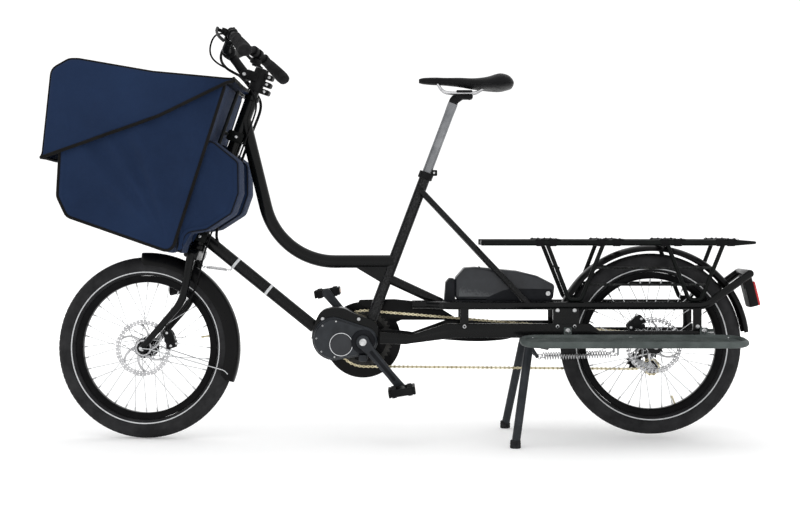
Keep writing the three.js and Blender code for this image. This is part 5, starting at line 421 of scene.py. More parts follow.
def refined(name, node, body, finish, bevel):
    """A merged copy of a node's own mesh with small rounded edges, in the same place."""
    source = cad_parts[node]
    mesh = source.data.copy()
    mesh.transform(source.matrix_world)
    mesh.materials.clear()

    def merge(work):
        bmesh.ops.remove_doubles(work, verts=work.verts, dist=1e-5)
        bmesh.ops.dissolve_limit(work, angle_limit=math.radians(1.5), verts=work.verts, edges=work.edges)

    healed(mesh, merge)
    mesh.name = name
    return dressed(name, mesh, body, finish, node, 35, bevel=bevel)


# ---------------------------------------------------------------- finishes


def node_tree(name):
    """A new material with its shader, a way to feed a node's inputs and a way to add a node."""
    made = bpy.data.materials.new(name)
    made.use_nodes = True
    tree = made.node_tree

    def feed(node, values):
        """Joins an input to another node's output, or gives it its value."""
        for key, value in values.items():
            if isinstance(value, bpy.types.NodeSocket):
                tree.links.new(value, node.inputs[key])
            else:
                node.inputs[key].default_value = value

    def add(kind, values=None, **settings):
        """A new node with its settings and its inputs fed; gives its outputs."""
        node = tree.nodes.new("ShaderNode" + kind)
        for key, value in settings.items():
            setattr(node, key, value)
        feed(node, values or {})
        return node.outputs

    return made, tree.nodes["Principled BSDF"], feed, add


def spread(add, value, low, high):
    """A value from 0.3 to 0.7 spread over a range."""
    return add("MapRange", {"Value": value, "From Min": 0.3, "From Max": 0.7, "To Min": low, "To Max": high})[0]


def blended(add, amount, *colours):
    """Two colours mixed by an amount."""
    first, second = ((*c, 1.0) if isinstance(c, tuple) else c for c in colours)
    return add("Mix", {0: amount, 6: first, 7: second}, data_type="RGBA")[2]


def noise(add, place, scale, detail, **more):
    """A drifting value of a size and a fineness."""
    return add("TexNoise", {"Vector": place, "Scale": scale, "Detail": detail, **more})[0]


def bumped(add, height, strength, distance, **under):
    """Bumps from a height, on top of those under it."""
    return add("Bump", {"Height": height, "Strength": strength, "Distance": distance, **under})[0]


def worked(add, operation, *values):
    """A sum of the kind named, on two or three values."""
    return add("Math", dict(enumerate(values)), operation=operation)[0]


def finish(name, slot, dark, light, rough, metal=0.0, patch=14.0, grain=900.0, grain_depth=0.00005, stretch=None,
           coat=0.0, wear=None, wear_at=0.57, specular=0.09, bumps=None):
    """Colour that drifts between two shades, roughness in patches, a fine grain as bumps, and paler worn edges."""
    made, shader, feed, add = node_tree(name)
    place = add("TexCoord")["Object"]
    fine_place = add("Mapping", {"Vector": place, "Scale": stretch})[0] if stretch else place
    drift = noise(add, place, patch, 4.0, Roughness=0.6)
    colour = blended(add, spread(add, drift, 0.0, 1.0), dark, light)
    if wear:
        scratch = worked(add, "MULTIPLY", noise(add, place, 220.0, 3.0), 0.16)
        edge = worked(add, "ADD", add("NewGeometry")["Pointiness"], scratch)
        band = add("MapRange", {"Value": edge, "From Min": wear_at + 0.08, "From Max": wear_at + 0.16, "To Min": 0.0,
                                "To Max": 0.7})[0]
        colour = blended(add, band, colour, wear)
    normal = bumped(add, noise(add, fine_place, grain, 2.0), 0.35, grain_depth)
    if bumps:
        normal = bumps(add, place, normal)
    feed(shader, {"Base Color": colour, "Roughness": spread(add, noise(add, fine_place, 60.0, 3.0), *rough),
                  "Normal": normal, "Metallic": metal, "Specular IOR Level": 0.5 if metal > 0.8 else specular,
                  "Coat Weight": 0.16 * coat, "Coat Roughness": 0.06})
    return made


def cells(scale, depth, strength=0.6):
    """Bumps from cells: the distance to the nearest cell centre as a height."""
    def add_cells(add, place, normal):
        cell = add("TexVoronoi", {"Vector": place, "Scale": scale}, feature="F1")["Distance"]
        return bumped(add, cell, strength, depth, Normal=normal)
    return add_cells


def ridges(scale, depth):
    """Bumps from one wave up the piece, as moulded ribs."""
    def add_ridges(add, place, normal):
        wave = add("TexWave", {"Vector": place, "Scale": scale}, wave_type="BANDS", bands_direction="Z")["Fac"]
        return bumped(add, wave, 0.6, depth, Normal=normal)
    return add_ridges


def woven(name, dark, light, pitch=0.0021, depth=0.0005, sheen=0.04, faded=None):
    """Cloth: two sets of threads at right angles on the piece's own map, over and under by turns, with a loose nap, and
    painted shade darkening the gaps between the threads.
    """
    made, shader, feed, add = node_tree(name)
    place = add("TexCoord")
    threads = [worked(add, "SINE", worked(add, "MULTIPLY_ADD", way, math.pi / pitch, 0.0))
               for way in add("SeparateXYZ", {0: place["UV"]})[:2]]
    lift = worked(add, "ABSOLUTE", worked(add, "MULTIPLY", *threads))
    nap = noise(add, place["Object"], 700.0, 3.0)
    drift = noise(add, place["Object"], 7.0, 5.0, Roughness=0.65)
    shade = blended(add, spread(add, drift, 0.0, 1.0), dark, light)
    # painted shade: where the threads sink, the colour is darkened towards 0.45 of the dark shade, standing in for
    # shadow in the gaps
    between = add("MapRange", {"Value": lift, "To Min": 0.35, "To Max": 0.0})[0]
    shade = blended(add, between, shade, tuple(c * 0.45 for c in dark))
    if faded:
        shade = blended(add, spread(add, noise(add, place["Object"], 2.2, 2.0), 0.0, 0.45), shade, faded)
    weave = bumped(add, worked(add, "MULTIPLY_ADD", nap, 0.5, lift), 0.55, depth)
    creases = noise(add, place["Object"], 13.0, 4.0, Roughness=0.5)
    feed(shader, {"Base Color": shade, "Roughness": spread(add, nap, 0.72, 0.95),
                  "Normal": bumped(add, creases, 0.5, 0.01, Normal=weave), "Sheen Weight": sheen,
                  "Sheen Roughness": 0.5, "Specular IOR Level": 0.06})
    return made


FRAME_PAINT = finish("frame_gloss_paint", "gloss_black", (0.0015, 0.0017, 0.0018), (0.0034, 0.0038, 0.004), (0.2, 0.34),
    patch=9, grain=420, grain_depth=0.00002, coat=0.9, wear=(0.05, 0.05, 0.052), wear_at=0.6)
FORK_PAINT = finish("fork_gloss_paint", "gloss_black", (0.0015, 0.0017, 0.0018), (0.0036, 0.004, 0.0042), (0.22, 0.36),
    patch=12, coat=0.85, grain=500, grain_depth=0.00002)
RACK_PAINT = finish("rack_powder_coat", "satin_black", (0.0016, 0.002, 0.0019), (0.004, 0.0054, 0.005), (0.34, 0.5),
    patch=20, grain=1500, grain_depth=0.00012, coat=0.25, wear=(0.09, 0.09, 0.09), wear_at=0.6)
GUARD_PLASTIC = finish("mudguard_plastic", "gloss_black", (0.0018, 0.0018, 0.002), (0.0042, 0.0042, 0.0046),
    (0.26, 0.4), patch=10, grain=600, grain_depth=0.00003, coat=0.3)
SATIN_PLASTIC = finish("satin_plastic", "satin_black", (0.004, 0.0041, 0.0044), (0.011, 0.0112, 0.012), (0.42, 0.6),
    patch=30, grain=1800, grain_depth=0.00015, bumps=cells(1900, 0.00008, strength=0.3))
GREY_CASTING = finish("grey_casting", "dark_grey", (0.014, 0.016, 0.019), (0.03, 0.034, 0.04), (0.32, 0.46), metal=0.3,
    specular=0.3, patch=18, grain=1600, grain_depth=0.0002, bumps=cells(1300, 0.0001, strength=0.35),
    wear=(0.2, 0.2, 0.21), wear_at=0.58)
GREY_PAINT = finish("grey_stand_paint", "dark_grey", (0.019, 0.021, 0.024), (0.04, 0.044, 0.05), (0.34, 0.5), metal=0.2,
    patch=16, grain=1200, grain_depth=0.0001, coat=0.15, wear=(0.22, 0.22, 0.22), wear_at=0.59)
BOARD_PAINT = finish("board_paint", "dark_grey", (0.05, 0.06, 0.058), (0.1, 0.116, 0.112), (0.4, 0.58), metal=0.2,
    patch=14, grain=1100, grain_depth=0.00014, wear=(0.2, 0.2, 0.2), wear_at=0.59)
CASE_PLASTIC = finish("battery_case_plastic", "anthracite", (0.012, 0.0132, 0.016), (0.024, 0.0264, 0.031), (0.3, 0.44),
    specular=0.35, patch=16, grain=2100, grain_depth=0.00018, bumps=cells(2300, 0.0001, strength=0.4),
    wear=(0.09, 0.095, 0.1), wear_at=0.6)
DOCK_PLASTIC = finish("battery_dock_plastic", "satin_black", (0.006, 0.0065, 0.008), (0.014, 0.015, 0.018),
    (0.46, 0.62), patch=24, grain=1900, grain_depth=0.00016)
POLISHED = finish("polished_aluminium", "silver", (0.5, 0.51, 0.53), (0.74, 0.75, 0.77), (0.18, 0.34), metal=1.0,
    patch=30, grain=900, grain_depth=0.00004, stretch=(1, 9, 1))
BRUSHED = finish("brushed_steel", "steel", (0.3, 0.31, 0.32), (0.52, 0.53, 0.54), (0.26, 0.44), metal=1.0, patch=34,
    grain=1400, grain_depth=0.00006, stretch=(1, 1, 12))
POST_METAL = finish("seat_post_metal", "silver", (0.12, 0.124, 0.132), (0.24, 0.246, 0.256), (0.28, 0.42), metal=0.9,
    patch=22, grain=1500, grain_depth=0.00008, stretch=(6, 6, 1))
ROTOR_STEEL = finish("rotor_steel", "steel", (0.36, 0.36, 0.37), (0.62, 0.62, 0.63), (0.2, 0.38), metal=1.0, patch=26,
    grain=1700, grain_depth=0.00005, stretch=(3, 1, 3))
SPOKE_STEEL = finish("spoke_steel", "silver", (0.45, 0.46, 0.47), (0.7, 0.71, 0.72), (0.2, 0.32), metal=1.0, patch=50,
    grain=1200, grain_depth=0.00003)
BOLT_STEEL = finish("bolt_steel", "steel", (0.36, 0.365, 0.37), (0.66, 0.665, 0.67), (0.2, 0.36), metal=1.0, patch=90,
    grain=1600, grain_depth=0.00005)
SPRING_STEEL = finish("spring_steel", "steel", (0.42, 0.42, 0.43), (0.7, 0.7, 0.71), (0.22, 0.36), metal=1.0, patch=60,
    grain=1600, grain_depth=0.00004)
CHAIN_METAL = finish("oiled_chain", "brass", (0.42, 0.36, 0.22), (0.85, 0.78, 0.56), (0.24, 0.46), metal=1.0, patch=44,
    grain=1500, grain_depth=0.00006)
COG_METAL = finish("cog_steel", "steel", (0.012, 0.012, 0.012), (0.05, 0.049, 0.046), (0.3, 0.46), metal=0.7, patch=50,
    grain=1500, grain_depth=0.00005)
TYRE_RUBBER = finish("tyre_rubber", "tyre", (0.014, 0.014, 0.0148), (0.031, 0.031, 0.0325), (0.66, 0.88), patch=22,
    grain=1500, grain_depth=0.0003, bumps=cells(650, 0.0002, strength=0.25), wear=(0.07, 0.068, 0.064), wear_at=0.56)
GRIP_RUBBER = finish("grip_rubber", "rubber", (0.007, 0.007, 0.0075), (0.018, 0.018, 0.019), (0.6, 0.82), patch=40,
    grain=1500, grain_depth=0.0003, bumps=cells(900, 0.0007, 0.6))
HOSE_RUBBER = finish("hose_rubber", "rubber", (0.003, 0.003, 0.0034), (0.008, 0.008, 0.0086), (0.4, 0.6), patch=30,
    grain=1400, grain_depth=0.0001)
FOOT_RUBBER = finish("foot_rubber", "rubber", (0.01, 0.01, 0.0105), (0.03, 0.03, 0.031), (0.7, 0.9), patch=60,
    grain=1200, grain_depth=0.0003)
SADDLE_COVER = finish("saddle_cover", "satin_black", (0.003, 0.003, 0.0034), (0.009, 0.009, 0.0098), (0.36, 0.54),
    patch=20, grain=1300, grain_depth=0.0002, bumps=cells(620, 0.00045, 0.55))
BLACK_RIM = finish("rim_anodised", "satin_black", (0.002, 0.002, 0.0023), (0.006, 0.006, 0.0065), (0.26, 0.42),
    metal=0.4, patch=24, grain=1400, grain_depth=0.00006, stretch=(1, 8, 1))
REFLEX_BAND = finish("reflective_band", "tyre", (0.52, 0.53, 0.54), (0.72, 0.73, 0.74), (0.3, 0.45), patch=60,
    grain=2600, grain_depth=0.00008, bumps=cells(1500, 0.0001, strength=0.3))
LENS_RED = finish("red_lens", "red", (0.42, 0.006, 0.01), (0.62, 0.02, 0.026), (0.1, 0.2), specular=0.5, patch=40,
    grain=500, grain_depth=0.00003, coat=0.8, bumps=cells(260, 0.0012, 0.8))
LENS_CLEAR = finish("clear_lens", "silver", (0.55, 0.57, 0.6), (0.75, 0.77, 0.8), (0.06, 0.14), patch=40, grain=400,
    grain_depth=0.00003, coat=0.9, bumps=ridges(120, 0.001))
BUCKLE = finish("buckle_plastic", "satin_black", (0.01, 0.01, 0.0105), (0.02, 0.02, 0.021), (0.3, 0.46), patch=60,
    grain=1500, grain_depth=0.0001)
CLOTH = woven("bag_cloth", (0.0085, 0.017, 0.043), (0.0125, 0.026, 0.066), sheen=0.05, faded=(0.018, 0.036, 0.088))
CLOTH_EDGE = woven("bag_binding", (0.005, 0.0048, 0.0048), (0.014, 0.0135, 0.013), pitch=0.0014, depth=0.0003)
WEBBING = woven("strap_webbing", (0.005, 0.005, 0.0054), (0.013, 0.013, 0.014), pitch=0.0018, depth=0.0005)


# ---------------------------------------------------------------- camera, floor and light

def studio():
    """A camera level with the bike's middle, a pale floor that runs far back, and broad soft lights."""
    scene = bpy.context.scene

    def stood(name, data, place=(0, 0, 0), turned=(0, 0, 0)):
        made = bpy.data.objects.new(name, data)
        made.location, made.rotation_euler = place, turned
        scene.collection.objects.link(made)
        return made

    scene.camera = stood("camera", bpy.data.cameras.new("camera"), (-0.0225, -4.2, 0.617), (HALF_PI, 0, 0))
    lens = scene.camera.data
    lens.lens, lens.sensor_width, lens.shift_y = 66.1, 36.0, -0.049
    floor = bpy.data.meshes.new("floor")
    floor.from_pydata([(160.0 * x, 160.0 * y, -0.0004) for x, y in ((-1, -1), (1, -1), (1, 1), (-1, 1))], [],
        [(0, 1, 2, 3)])
    floor.materials.append(finish("floor_paper", None, (0.87,) * 3, (0.9,) * 3, (0.85, 0.95), patch=2.0, grain=80,
        grain_depth=0.0001))
    paper = floor.materials[0].node_tree.nodes["Principled BSDF"]
    paper.inputs["Emission Color"].default_value = (1.0,) * 4
    paper.inputs["Emission Strength"].default_value = 0.22
    stood("floor", floor)
    scene.world = bpy.data.worlds.new("studio")
    scene.world.use_nodes = True
    sky = scene.world.node_tree.nodes["Background"].inputs
    sky["Color"].default_value, sky["Strength"].default_value = (1.0,) * 4, 1.12
    for name, place, aim, width, height, power in (
        ("key", (-2.4, -3.2, 3.6), (0, 0, 0.5), 2.6, 1.6, 120.0),
        ("fill", (3.2, -2.6, 2.4), (0.2, 0, 0.5), 2.2, 2.2, 60.0),
        ("back", (0.4, 3.6, 3.0), (0, 0, 0.5), 3.4, 1.4, 110.0),
    ):
        light = bpy.data.lights.new(name, "AREA")
        light.shape, light.size, light.size_y, light.energy = "RECTANGLE", width, height, power
        x, y, z = np.array(aim, float) - place
        stood(name, light, place, (math.atan2(math.hypot(x, y), -z), 0, math.atan2(x, -y)))
    scene.view_settings.view_transform = "Standard"


studio()


# ---------------------------------------------------------------- wheels

def tyre_surface(centre):
    """Round the wheel and across the section: a circle of the tyre's width on a ring, less grooves whose depth
    is a mix of narrow rings and slanted cuts over the tread, plus two low moulded rings on each side."""
    wall = np.radians(np.linspace(52, 158.2, 19))
    phi = np.concatenate([-wall[::-1], np.radians(np.arange(-50, 50.1, 2.0)), wall])
    theta = circle(620)[:, None]
    from_middle = np.abs(27.5 * phi)
    rings = sum(np.exp(-((from_middle - place) / 0.7) ** 2) for place in (4.0, 13.5))
    slant = np.cos(theta * TREAD_CUTS + from_middle * 0.16)
    cuts = np.clip((slant - 0.62) / 0.2, 0, 1) * ((from_middle > 4.5) & (from_middle < 22))
    centre_cuts = np.clip((np.cos(theta * TREAD_CUTS + 1.5) - 0.8) / 0.12, 0, 1) * (from_middle < 2.6)
    depth = np.clip(rings + cuts + 0.6 * centre_cuts, 0, 1) * 1.3 * (from_middle < 23)
    raised = sum(0.5 * np.exp(-((np.degrees(np.abs(phi)) - place) / 1.6) ** 2) for place in (84, 146))
    body = 27.2 - depth + raised
    return grid(about(TYRE_RING + body * np.cos(phi), body * np.sin(phi), theta) + centre, True)


def side_band(centre, side):
    """A thin band on the tyre's side: a narrow run of the same circle, a fraction proud of it, with a back that sinks
    in."""
    phi = np.radians([121.0, 121.2, 124.6, 128.0, 128.2])
    lift = np.array([26.6, 27.75, 27.8, 27.75, 26.6])
    return grid(about(TYRE_RING + lift * np.cos(phi), side * lift * np.sin(phi), circle(240)[:, None]) + centre, True)


def rim_surface(centre):
    """A rim section swung about the axle: a deep box whose sides curve out to the bead."""
    half = np.array([[185.6, -7.5], [186.2, -9.2], [189, -10.6], [196, -11.9], [201, -12.6], [204.3, -12.9],
        [204.6, -12.2]])
    profile = np.vstack([half, half[::-1] * [1, -1]])
    return lathe(profile, centre, Y, 160, closed=True)


def hub_surface(centre, half, flanges, mount):
    """A hub turned about the axle: barrel, waisted middle, two flanges' discs and a rotor seat."""
    low, high = flanges

    def flange(y):
        return [[16, y - 4.2], [22, y - 3.0], [29, y - 2.2], [29, y + 2.2], [22, y + 3.0], [16, y + 4.2]]

    profile = [[6.4, -half], [13.5, -half], [15, -half + 1.5], [15, mount], [22, mount], [22, mount + 4],
        [15.2, mount + 4.6]]
    profile += flange(low) + [[14.2, (low + high) / 2 - 5], [14.2, (low + high) / 2 + 5]] + flange(high)
    profile += [[15, high + 6], [15, half - 1.5], [13.5, half], [6.4, half]]
    kept = [profile[0]]
    for point in profile[1:]:
        if point[1] >= kept[-1][1] - 1e-6:
            kept.append(point)
    return lathe(kept, centre, Y, 48, closed=True)


def spoke_set(centre, flanges):
    """All spokes at once: a thin round bar moved, leant and stretched from its flange hole to its place at the rim."""
    i = np.arange(SPOKES)
    side, lean = np.where(i % 2, 1.0, -1.0), np.where(i % 4 < 2, 1.0, -1.0)
    rim = i / SPOKES * 2 * math.pi
    a = about(26.5, np.array(flanges)[i % 2] + lean * 1.35, rim + lean * math.radians(60)) + centre
    b = about(184.0, side * 2.4 + lean * 1.35, rim) + centre
    along = b - a
    across = unit(np.cross(along, Y))
    other = unit(np.cross(along, across))
    bar = tube([[0, 0, 0], Z], 1.0, 6)
    nipple = tube([[0, 0, 0], 0.15 * Z, Z], [1.5, 2.2, 2.2], 8)
    head = tube([-0.5 * Z, 0.5 * Z], 1.9, 8)
    level = np.broadcast_to(np.stack([X, Z, 7.0 * Y], 1), (SPOKES, 3, 3))
    return (repeated(bar, np.stack([across, other, along], 2), a),
            repeated(nipple, np.stack([across, other, unit(along) * 11], 2), b - unit(along) * 10.4),
            repeated(head, level, a - lean[:, None] * Y * 1.35))


def rotor_piece(name, centre, side, body, node):
    """A rotor as a flat sheet given its thickness: cells with round holes set side by side round the band, six slanted
    arms that are strips between two radii, and a centre ring with its bolts."""
    cells_round, turn, hole = 44, 2 * math.pi / 44, 2.2
    corners = np.array([[-1, -1], [0, -1], [1, -1], [1, 0], [1, 1], [0, 1], [-1, 1], [-1, 0]], float)
    angle = np.arctan2(corners[:, 1], corners[:, 0])
    rows = []
    for low, high in ((66.0, 73.0), (73.0, 80.0)):
        middle, half = (low + high) / 2, (high - low) / 2
        r = np.concatenate([middle + corners[:, 1] * half, middle + hole * np.sin(angle)])
        t = np.concatenate([corners[:, 0] * turn / 2, hole * np.cos(angle) / middle])
        place = np.arange(cells_round)[:, None] * turn + t[None]
        rows.append(about(r - 1.4 * (0.5 - 0.5 * np.cos(11 * place)) * (r > 79), 0.0, place).reshape(-1, 3))
    j = np.arange(8)
    hole_ring = np.stack([j, (j + 1) % 8, (j + 1) % 8 + 8, j + 8], 1)
    band = (hole_ring[None] + 16 * np.arange(cells_round)[:, None, None]).reshape(-1, 4)
    points, quads = np.vstack(rows), np.vstack([band, band + 16 * cells_round])
    s = np.linspace(0, 1, 9)
    radius = 23.0 + s * 43.5
    wide = (5.4 - 2.2 * np.sin(s * math.pi)) / radius
    for k in range(6):
        mid = k * math.pi / 3 + 0.62 * s ** 1.3
        edge = np.stack([about(radius, 0.0, mid + q * wide) for q in (-1, 1)], 1)
        quads = np.vstack([quads, len(points) + np.stack([2 * j, 2 * j + 1, 2 * j + 3, 2 * j + 2], 1)])
        points = np.vstack([points, edge.reshape(-1, 3)])
    n = np.arange(48)
    quads = np.vstack([quads, len(points) + np.stack([n, (n + 1) % 48, 48 + (n + 1) % 48, 48 + n], 1)])
    points = np.vstack([points] + [about(r, 0.0, circle(48)) for r in (15.6, 24.5)])
    made = piece(name, (points + centre + side * Y, quads, []), body, ROTOR_STEEL, node, smooth=30)

    def join(work):
        bmesh.ops.remove_doubles(work, verts=work.verts, dist=2e-5)
        bmesh.ops.recalc_face_normals(work, faces=work.faces)

    healed(made.data, join)
    wall = made.modifiers.new("thickness", "SOLIDIFY")
    wall.thickness, wall.offset = 0.0019, 0.0


def wheel(label, centre, half, flanges, rotor_at, body, valve_at):
    """One wheel: tyre with its bands, rim, hub, spokes, valve, rotor and rotor bolts."""
    bars, nipples, heads = spoke_set(centre, flanges)
    way = way_at(valve_at)
    valve = lathe([[3.0, 0], [3.2, -2], [2.4, -3], [2.4, -16], [3.0, -17], [3.0, -24], [2.0, -25]],
        centre + way * 185.8, way, 16)
    spots = about(20.5, -rotor_at - 0.9, np.arange(6) * (math.pi / 3)) + centre
    piece(f"{label}_tyre_casing", tyre_surface(centre), body, TYRE_RUBBER, f"{label}_tyre", smooth=60)
    piece(f"{label}_tyre_bands", [side_band(centre, -1), side_band(centre, 1)], body, REFLEX_BAND)
    piece(f"{label}_rim_section", rim_surface(centre), body, BLACK_RIM, f"{label}_rim")
    piece(f"{label}_hub_body", hub_surface(centre, half, flanges, -rotor_at + 1.3), body,
        GREY_CASTING if label == "rear" else BLACK_RIM, f"{label}_hub")
    piece(f"{label}_spokes", [bars, heads], body, SPOKE_STEEL, smooth=60)
    piece(f"{label}_nipples", nipples, body, BOLT_STEEL, smooth=60)
    piece(f"{label}_valve", valve, body, CHAIN_METAL)
    rotor_piece(f"{label}_rotor_disc", centre, -rotor_at, body, f"{label}_rotor")
    piece(f"{label}_rotor_bolts", [bolt(p, -Y, 2.6, 1.6) for p in spots], body, BOLT_STEEL)


wheel("front", FRONT, 49.0, (-25.0, 25.0), 41.0, "front_wheel", 10.7)
wheel("rear", REAR, 67.0, (-30.0, 18.0), 58.0, "rear_wheel", -68)


# ---------------------------------------------------------------- front frame

def head_tube():
    """The head tube with its two cups, turned about the steering axis."""
    profile = [[14.9, 0], [20.2, 0], [21.4, 1.2], [21.4, 11], [20.4, 12.2], [18.5, 14], [18.5, 449], [20.4, 450.8],
        [21.4, 452], [21.4, 461.8], [20.2, 463], [14.9, 463]]
    return lathe(profile, on_steer(315), UP, 48, closed=True)


def main_frame():
    """Tubes carried along the frame's lines, each run into the next, with a gusset and the plates round the motor."""
    top = on_steer(708)
    low = [top[0] + (top[2] - 503.5) * math.tan(math.radians(13.8)), 0, 503.5]
    join = on_seat((503.5 - 279) / SEAT_UP[2])
    gusset = [[join[0] - 106, 503], [join[0], 503], [on_seat((437.5 - 279) / SEAT_UP[2])[0], 437.5],
        [join[0] - 106, 486]]
    return [head_tube(), tube(bent([top, low, join], 235, 24), 18.5, 32), tube([on_steer(354), DOWN_END], 17.3, 32),
            lathe([[13.9, 512 - 58], [15.9, 512 - 58], [15.9, 0], [13.9, 0]], on_seat(58), SEAT_UP, 36, closed=True),
            side_plate(rounded_outline(gusset, 5), 22, 0, 2.5)]


def motor_outline(grow):
    """Two circles, round the motor and round the crank, and their common tangents."""
    motor, crank = np.array([-84.0, 286.0]), np.array([0.0, 279.0])
    big, small = 61 + grow, 41 + grow
    lean = math.atan2(*(crank - motor)[::-1])
    part = math.acos((big - small) / np.linalg.norm(crank - motor))
    return np.vstack([arc(big, lean + part, lean + 2 * math.pi - part, 48, *motor),
                      arc(small, lean - part, lean + part, 26, *crank)])


def motor_cradle():
    """Two side plates and a roof over the motor: the outline of the bracket above the motor's own outline."""
    shares = np.array([[0, 0.08], [0.03, 0.42], [0.13, 0.86], [0.28, 1], [0.48, 1], [0.66, 0.83], [0.97, 0.56],
        [1, 0.1]])
    left = DOWN_END[0] - 17.3 / 2
    outer = eased([left, CRANK[2]] + shares * [189, 93], 60)
    around = motor_outline(1.2)
    upper = around[around[:, 1] > 279.5]
    upper = upper[np.argsort(upper[:, 0])]
    x = np.linspace(max(left + 2, upper[0, 0]), outer[-1, 0], 60)
    inner = np.stack([x, np.minimum(np.interp(x, upper[:, 0], upper[:, 1]), outer[:, 1] - 1.0)], 1)
    edges = ((-36, 2.2), (-35.2, 0.6), (-33.5, 0), (33.5, 0), (35.2, 0.6), (36, 2.2))
    return grid(np.array([at_side(np.vstack([outer - [0, pull], inner[::-1]]), y) for y, pull in edges]))


DOWN_END = np.array([-139, 0, 315.0])
BOLT_SPOTS = [(-139 + 189 / 8, 279 + 93 * 0.75 - 7), (-139 + 126, 279 + 62)]
piece("frame_tubes", main_frame() + [motor_cradle()], "frame", FRAME_PAINT, "front_frame", smooth=40)
steel("frame_bolts", [bolt([x, s * 36.0, z], s * Y, 5.6, 3.6) for x, z in BOLT_SPOTS for s in (-1, 1)])
down_way = unit(DOWN_END - on_steer(354))
piece("down_tube_bands", [lathe([[17.35, -4], [17.7, -3.5], [17.7, 3.5], [17.35, 4]], on_steer(354) + down_way * t,
    down_way, 40, closed=True) for t in (126.0, 246.0)], "frame", REFLEX_BAND)


# ---------------------------------------------------------------- rear frame and rack

def rear_tubes():
    """Rails, stays, upper tube, cross tubes and bow: round sections carried along their bent lines."""
    high = on_seat(458)
    rail = [(139, 16, RAIL_HEIGHT), (174, 16, RAIL_HEIGHT), (244, 70, RAIL_HEIGHT), (962, 70, RAIL_HEIGHT),
        (1088, 70, 471)]
    stay = [high + 17 * Y, (469, 70, RAIL_HEIGHT)]
    made = both(tube(bent(rail, 60, 10), 11, 24)) + both(tube(bent(stay, 10), 8.5, 20))
    made.append(tube([on_seat(190), [222, 0, 385.0]], 13.5, 24))
    made += [rod((x, -70, z), (x, 70, z), 9) for x, z in ((222, 381), (285, 381), (529, 381), (404, 311))]
    return made + [rod((1088, -72, 471), (1088, 72, 471), 11, 24, 2), rod(high - 17 * Y, high + 17 * Y, 8.5),
                   rod((820, -90, 269), (820, 90, 269), 6, 18, 1)]


def lower_beam():
    """The lower beam: rings of a rounded box whose height, foot and distance across follow shares along its length."""
    shares = np.array([[0, -0.48, 0.38, 0.56], [0.08, -0.52, 0.18, 0.56], [0.096, -0.45, 0.15, 0.62],
        [0.206, -0.07, 1, 1], [0.234, 0, 1, 1], [0.652, 0, 1, 1], [0.68, 0, 0.5, 1], [1, 0, 0.5, 1]])
    s = np.unique(np.concatenate([np.linspace(0, 1, 90), shares[:, 0]]))
    rings = []
    for a, low, high, out in zip(s, *(np.interp(s, shares[:, 0], shares[:, k]) for k in (1, 2, 3))):
        box = soft_box(17.6, (high - low) * 40, 4.0, 3)
        rings.append(box @ [Y, Z] + [47 + a * 907, -72 * out, 291 + (low + high) * 20])
    return grid(np.array(rings))


def frame_plates():
    """Struts, dropouts, stand ears and the block at the motor, each an outline with rounded edges."""
    made = [block((53, 0, 282.7), X, 12, 72, 25, 1.5, 3)]
    for x, width in ((285, 24), (570, 73), (939, 24)):
        half = width / 2
        edge = np.array([[half + 3, 309], [half, 318], [half, 372], [half + 3, 383]])
        outline = np.vstack([edge[:1] * [-1, 1], edge, edge[:0:-1] * [-1, 1]]) + [x, 0]
        made += both(side_plate(rounded_outline(outline, 4), 12, -72, 1.6))
    disc = arc(23, math.radians(168), math.radians(372), 28, 820, 269)
    made += both(side_plate(np.vstack([disc, [[846, 280], [866, 302], [774, 302], [794, 280]]]), 7, -71.1, 1.2))
    ear = rounded_outline([[449, 303], [457.5, 265.2], [474.5, 265.2], [483, 303]], 6)
    return made + both(side_plate(ear, 6, -72, 1.0))


piece("rear_tubes", rear_tubes(), "frame", FRAME_PAINT, "rear_frame", smooth=40)
piece("rear_beams", both(lower_beam()) + frame_plates(), "frame", FRAME_PAINT, smooth=30)
steel("rear_bolts", [bolt([x, s * 78.0, z], s * Y, 6.5, 3.2) for x in (546, 594, 285, 939) for z in (323, 368)
    for s in (-1, 1) if x not in (285, 939) or z == 323] + [bolt([820, s * 90.0, 269], s * Y, 9.5, 4.5)
    for s in (-1, 1)])

SPRING_START, SPRING_END = np.array([498, 42, 232.5]), np.array([717, 42, 239.5])
spring_out = unit(SPRING_END - SPRING_START)
hook_eye = SPRING_END + spring_out * 4.3
piece("spring_hangers", both(rod((hook_eye[0], 42, hook_eye[2]), (hook_eye[0], 42, 292), 3.6))
    + both(rod((hook_eye[0], 42, 292), (hook_eye[0], 67, 300), 3.6, 14, 2)), "frame", BRUSHED)


def rack_tubes():
    """The rack: side rails drawn in to a slim tip, loops under them, thin rods on the front legs and bars across."""
    made = both(tube([(x, 78, RACK_HEIGHT) for x in (332, 333, 1048, 1100, 1103)], [7.5, 8.5, 8.5, 4.2, 2.6], 24))
    for x in (596, 933):
        legs = [(x - 78.5, 78, 554.25), (x - 17, 70, 397.5), (x + 17, 70, 397.5), (x + 78.5, 78, 554.25)]
        made += both(tube(bent(legs, 13, 6), 6, 18))
    for share in (0.4, 0.665):
        z, y, reach = RACK_HEIGHT - share * 177.5, 78 - 8 * share, 78.5 - 61.5 * share
        made += both(rod((596 + reach - 6, y, z), (933 + reach, y, z), 3.5, 14))
        made += both(rod((596 - reach, y, z), (596 - reach + 10, y, z), 3.5, 14))
    return made + [rod((x, -77, RACK_HEIGHT), (x, 77, RACK_HEIGHT), 6, 20)
        for x in (340.5, 515.25, 690, 864.75, 1039.5)]


def flat_strap(points, width, thick, across):
    """Webbing: a thin rounded rectangle carried along a line, with its width across it."""
    path = np.asarray(points, float)
    step = unit(np.vstack([path[1:2] - path[:1], path[2:] - path[:-2], path[-1:] - path[-2:-1]]))
    wide = unit(across - (step @ across)[:, None] * step)
    box = soft_box(width, thick, thick * 0.45, 2)[None]
    return grid(path[:, None] + box[..., :1] * wide[:, None] + box[..., 1:] * np.cross(step, wide)[:, None])


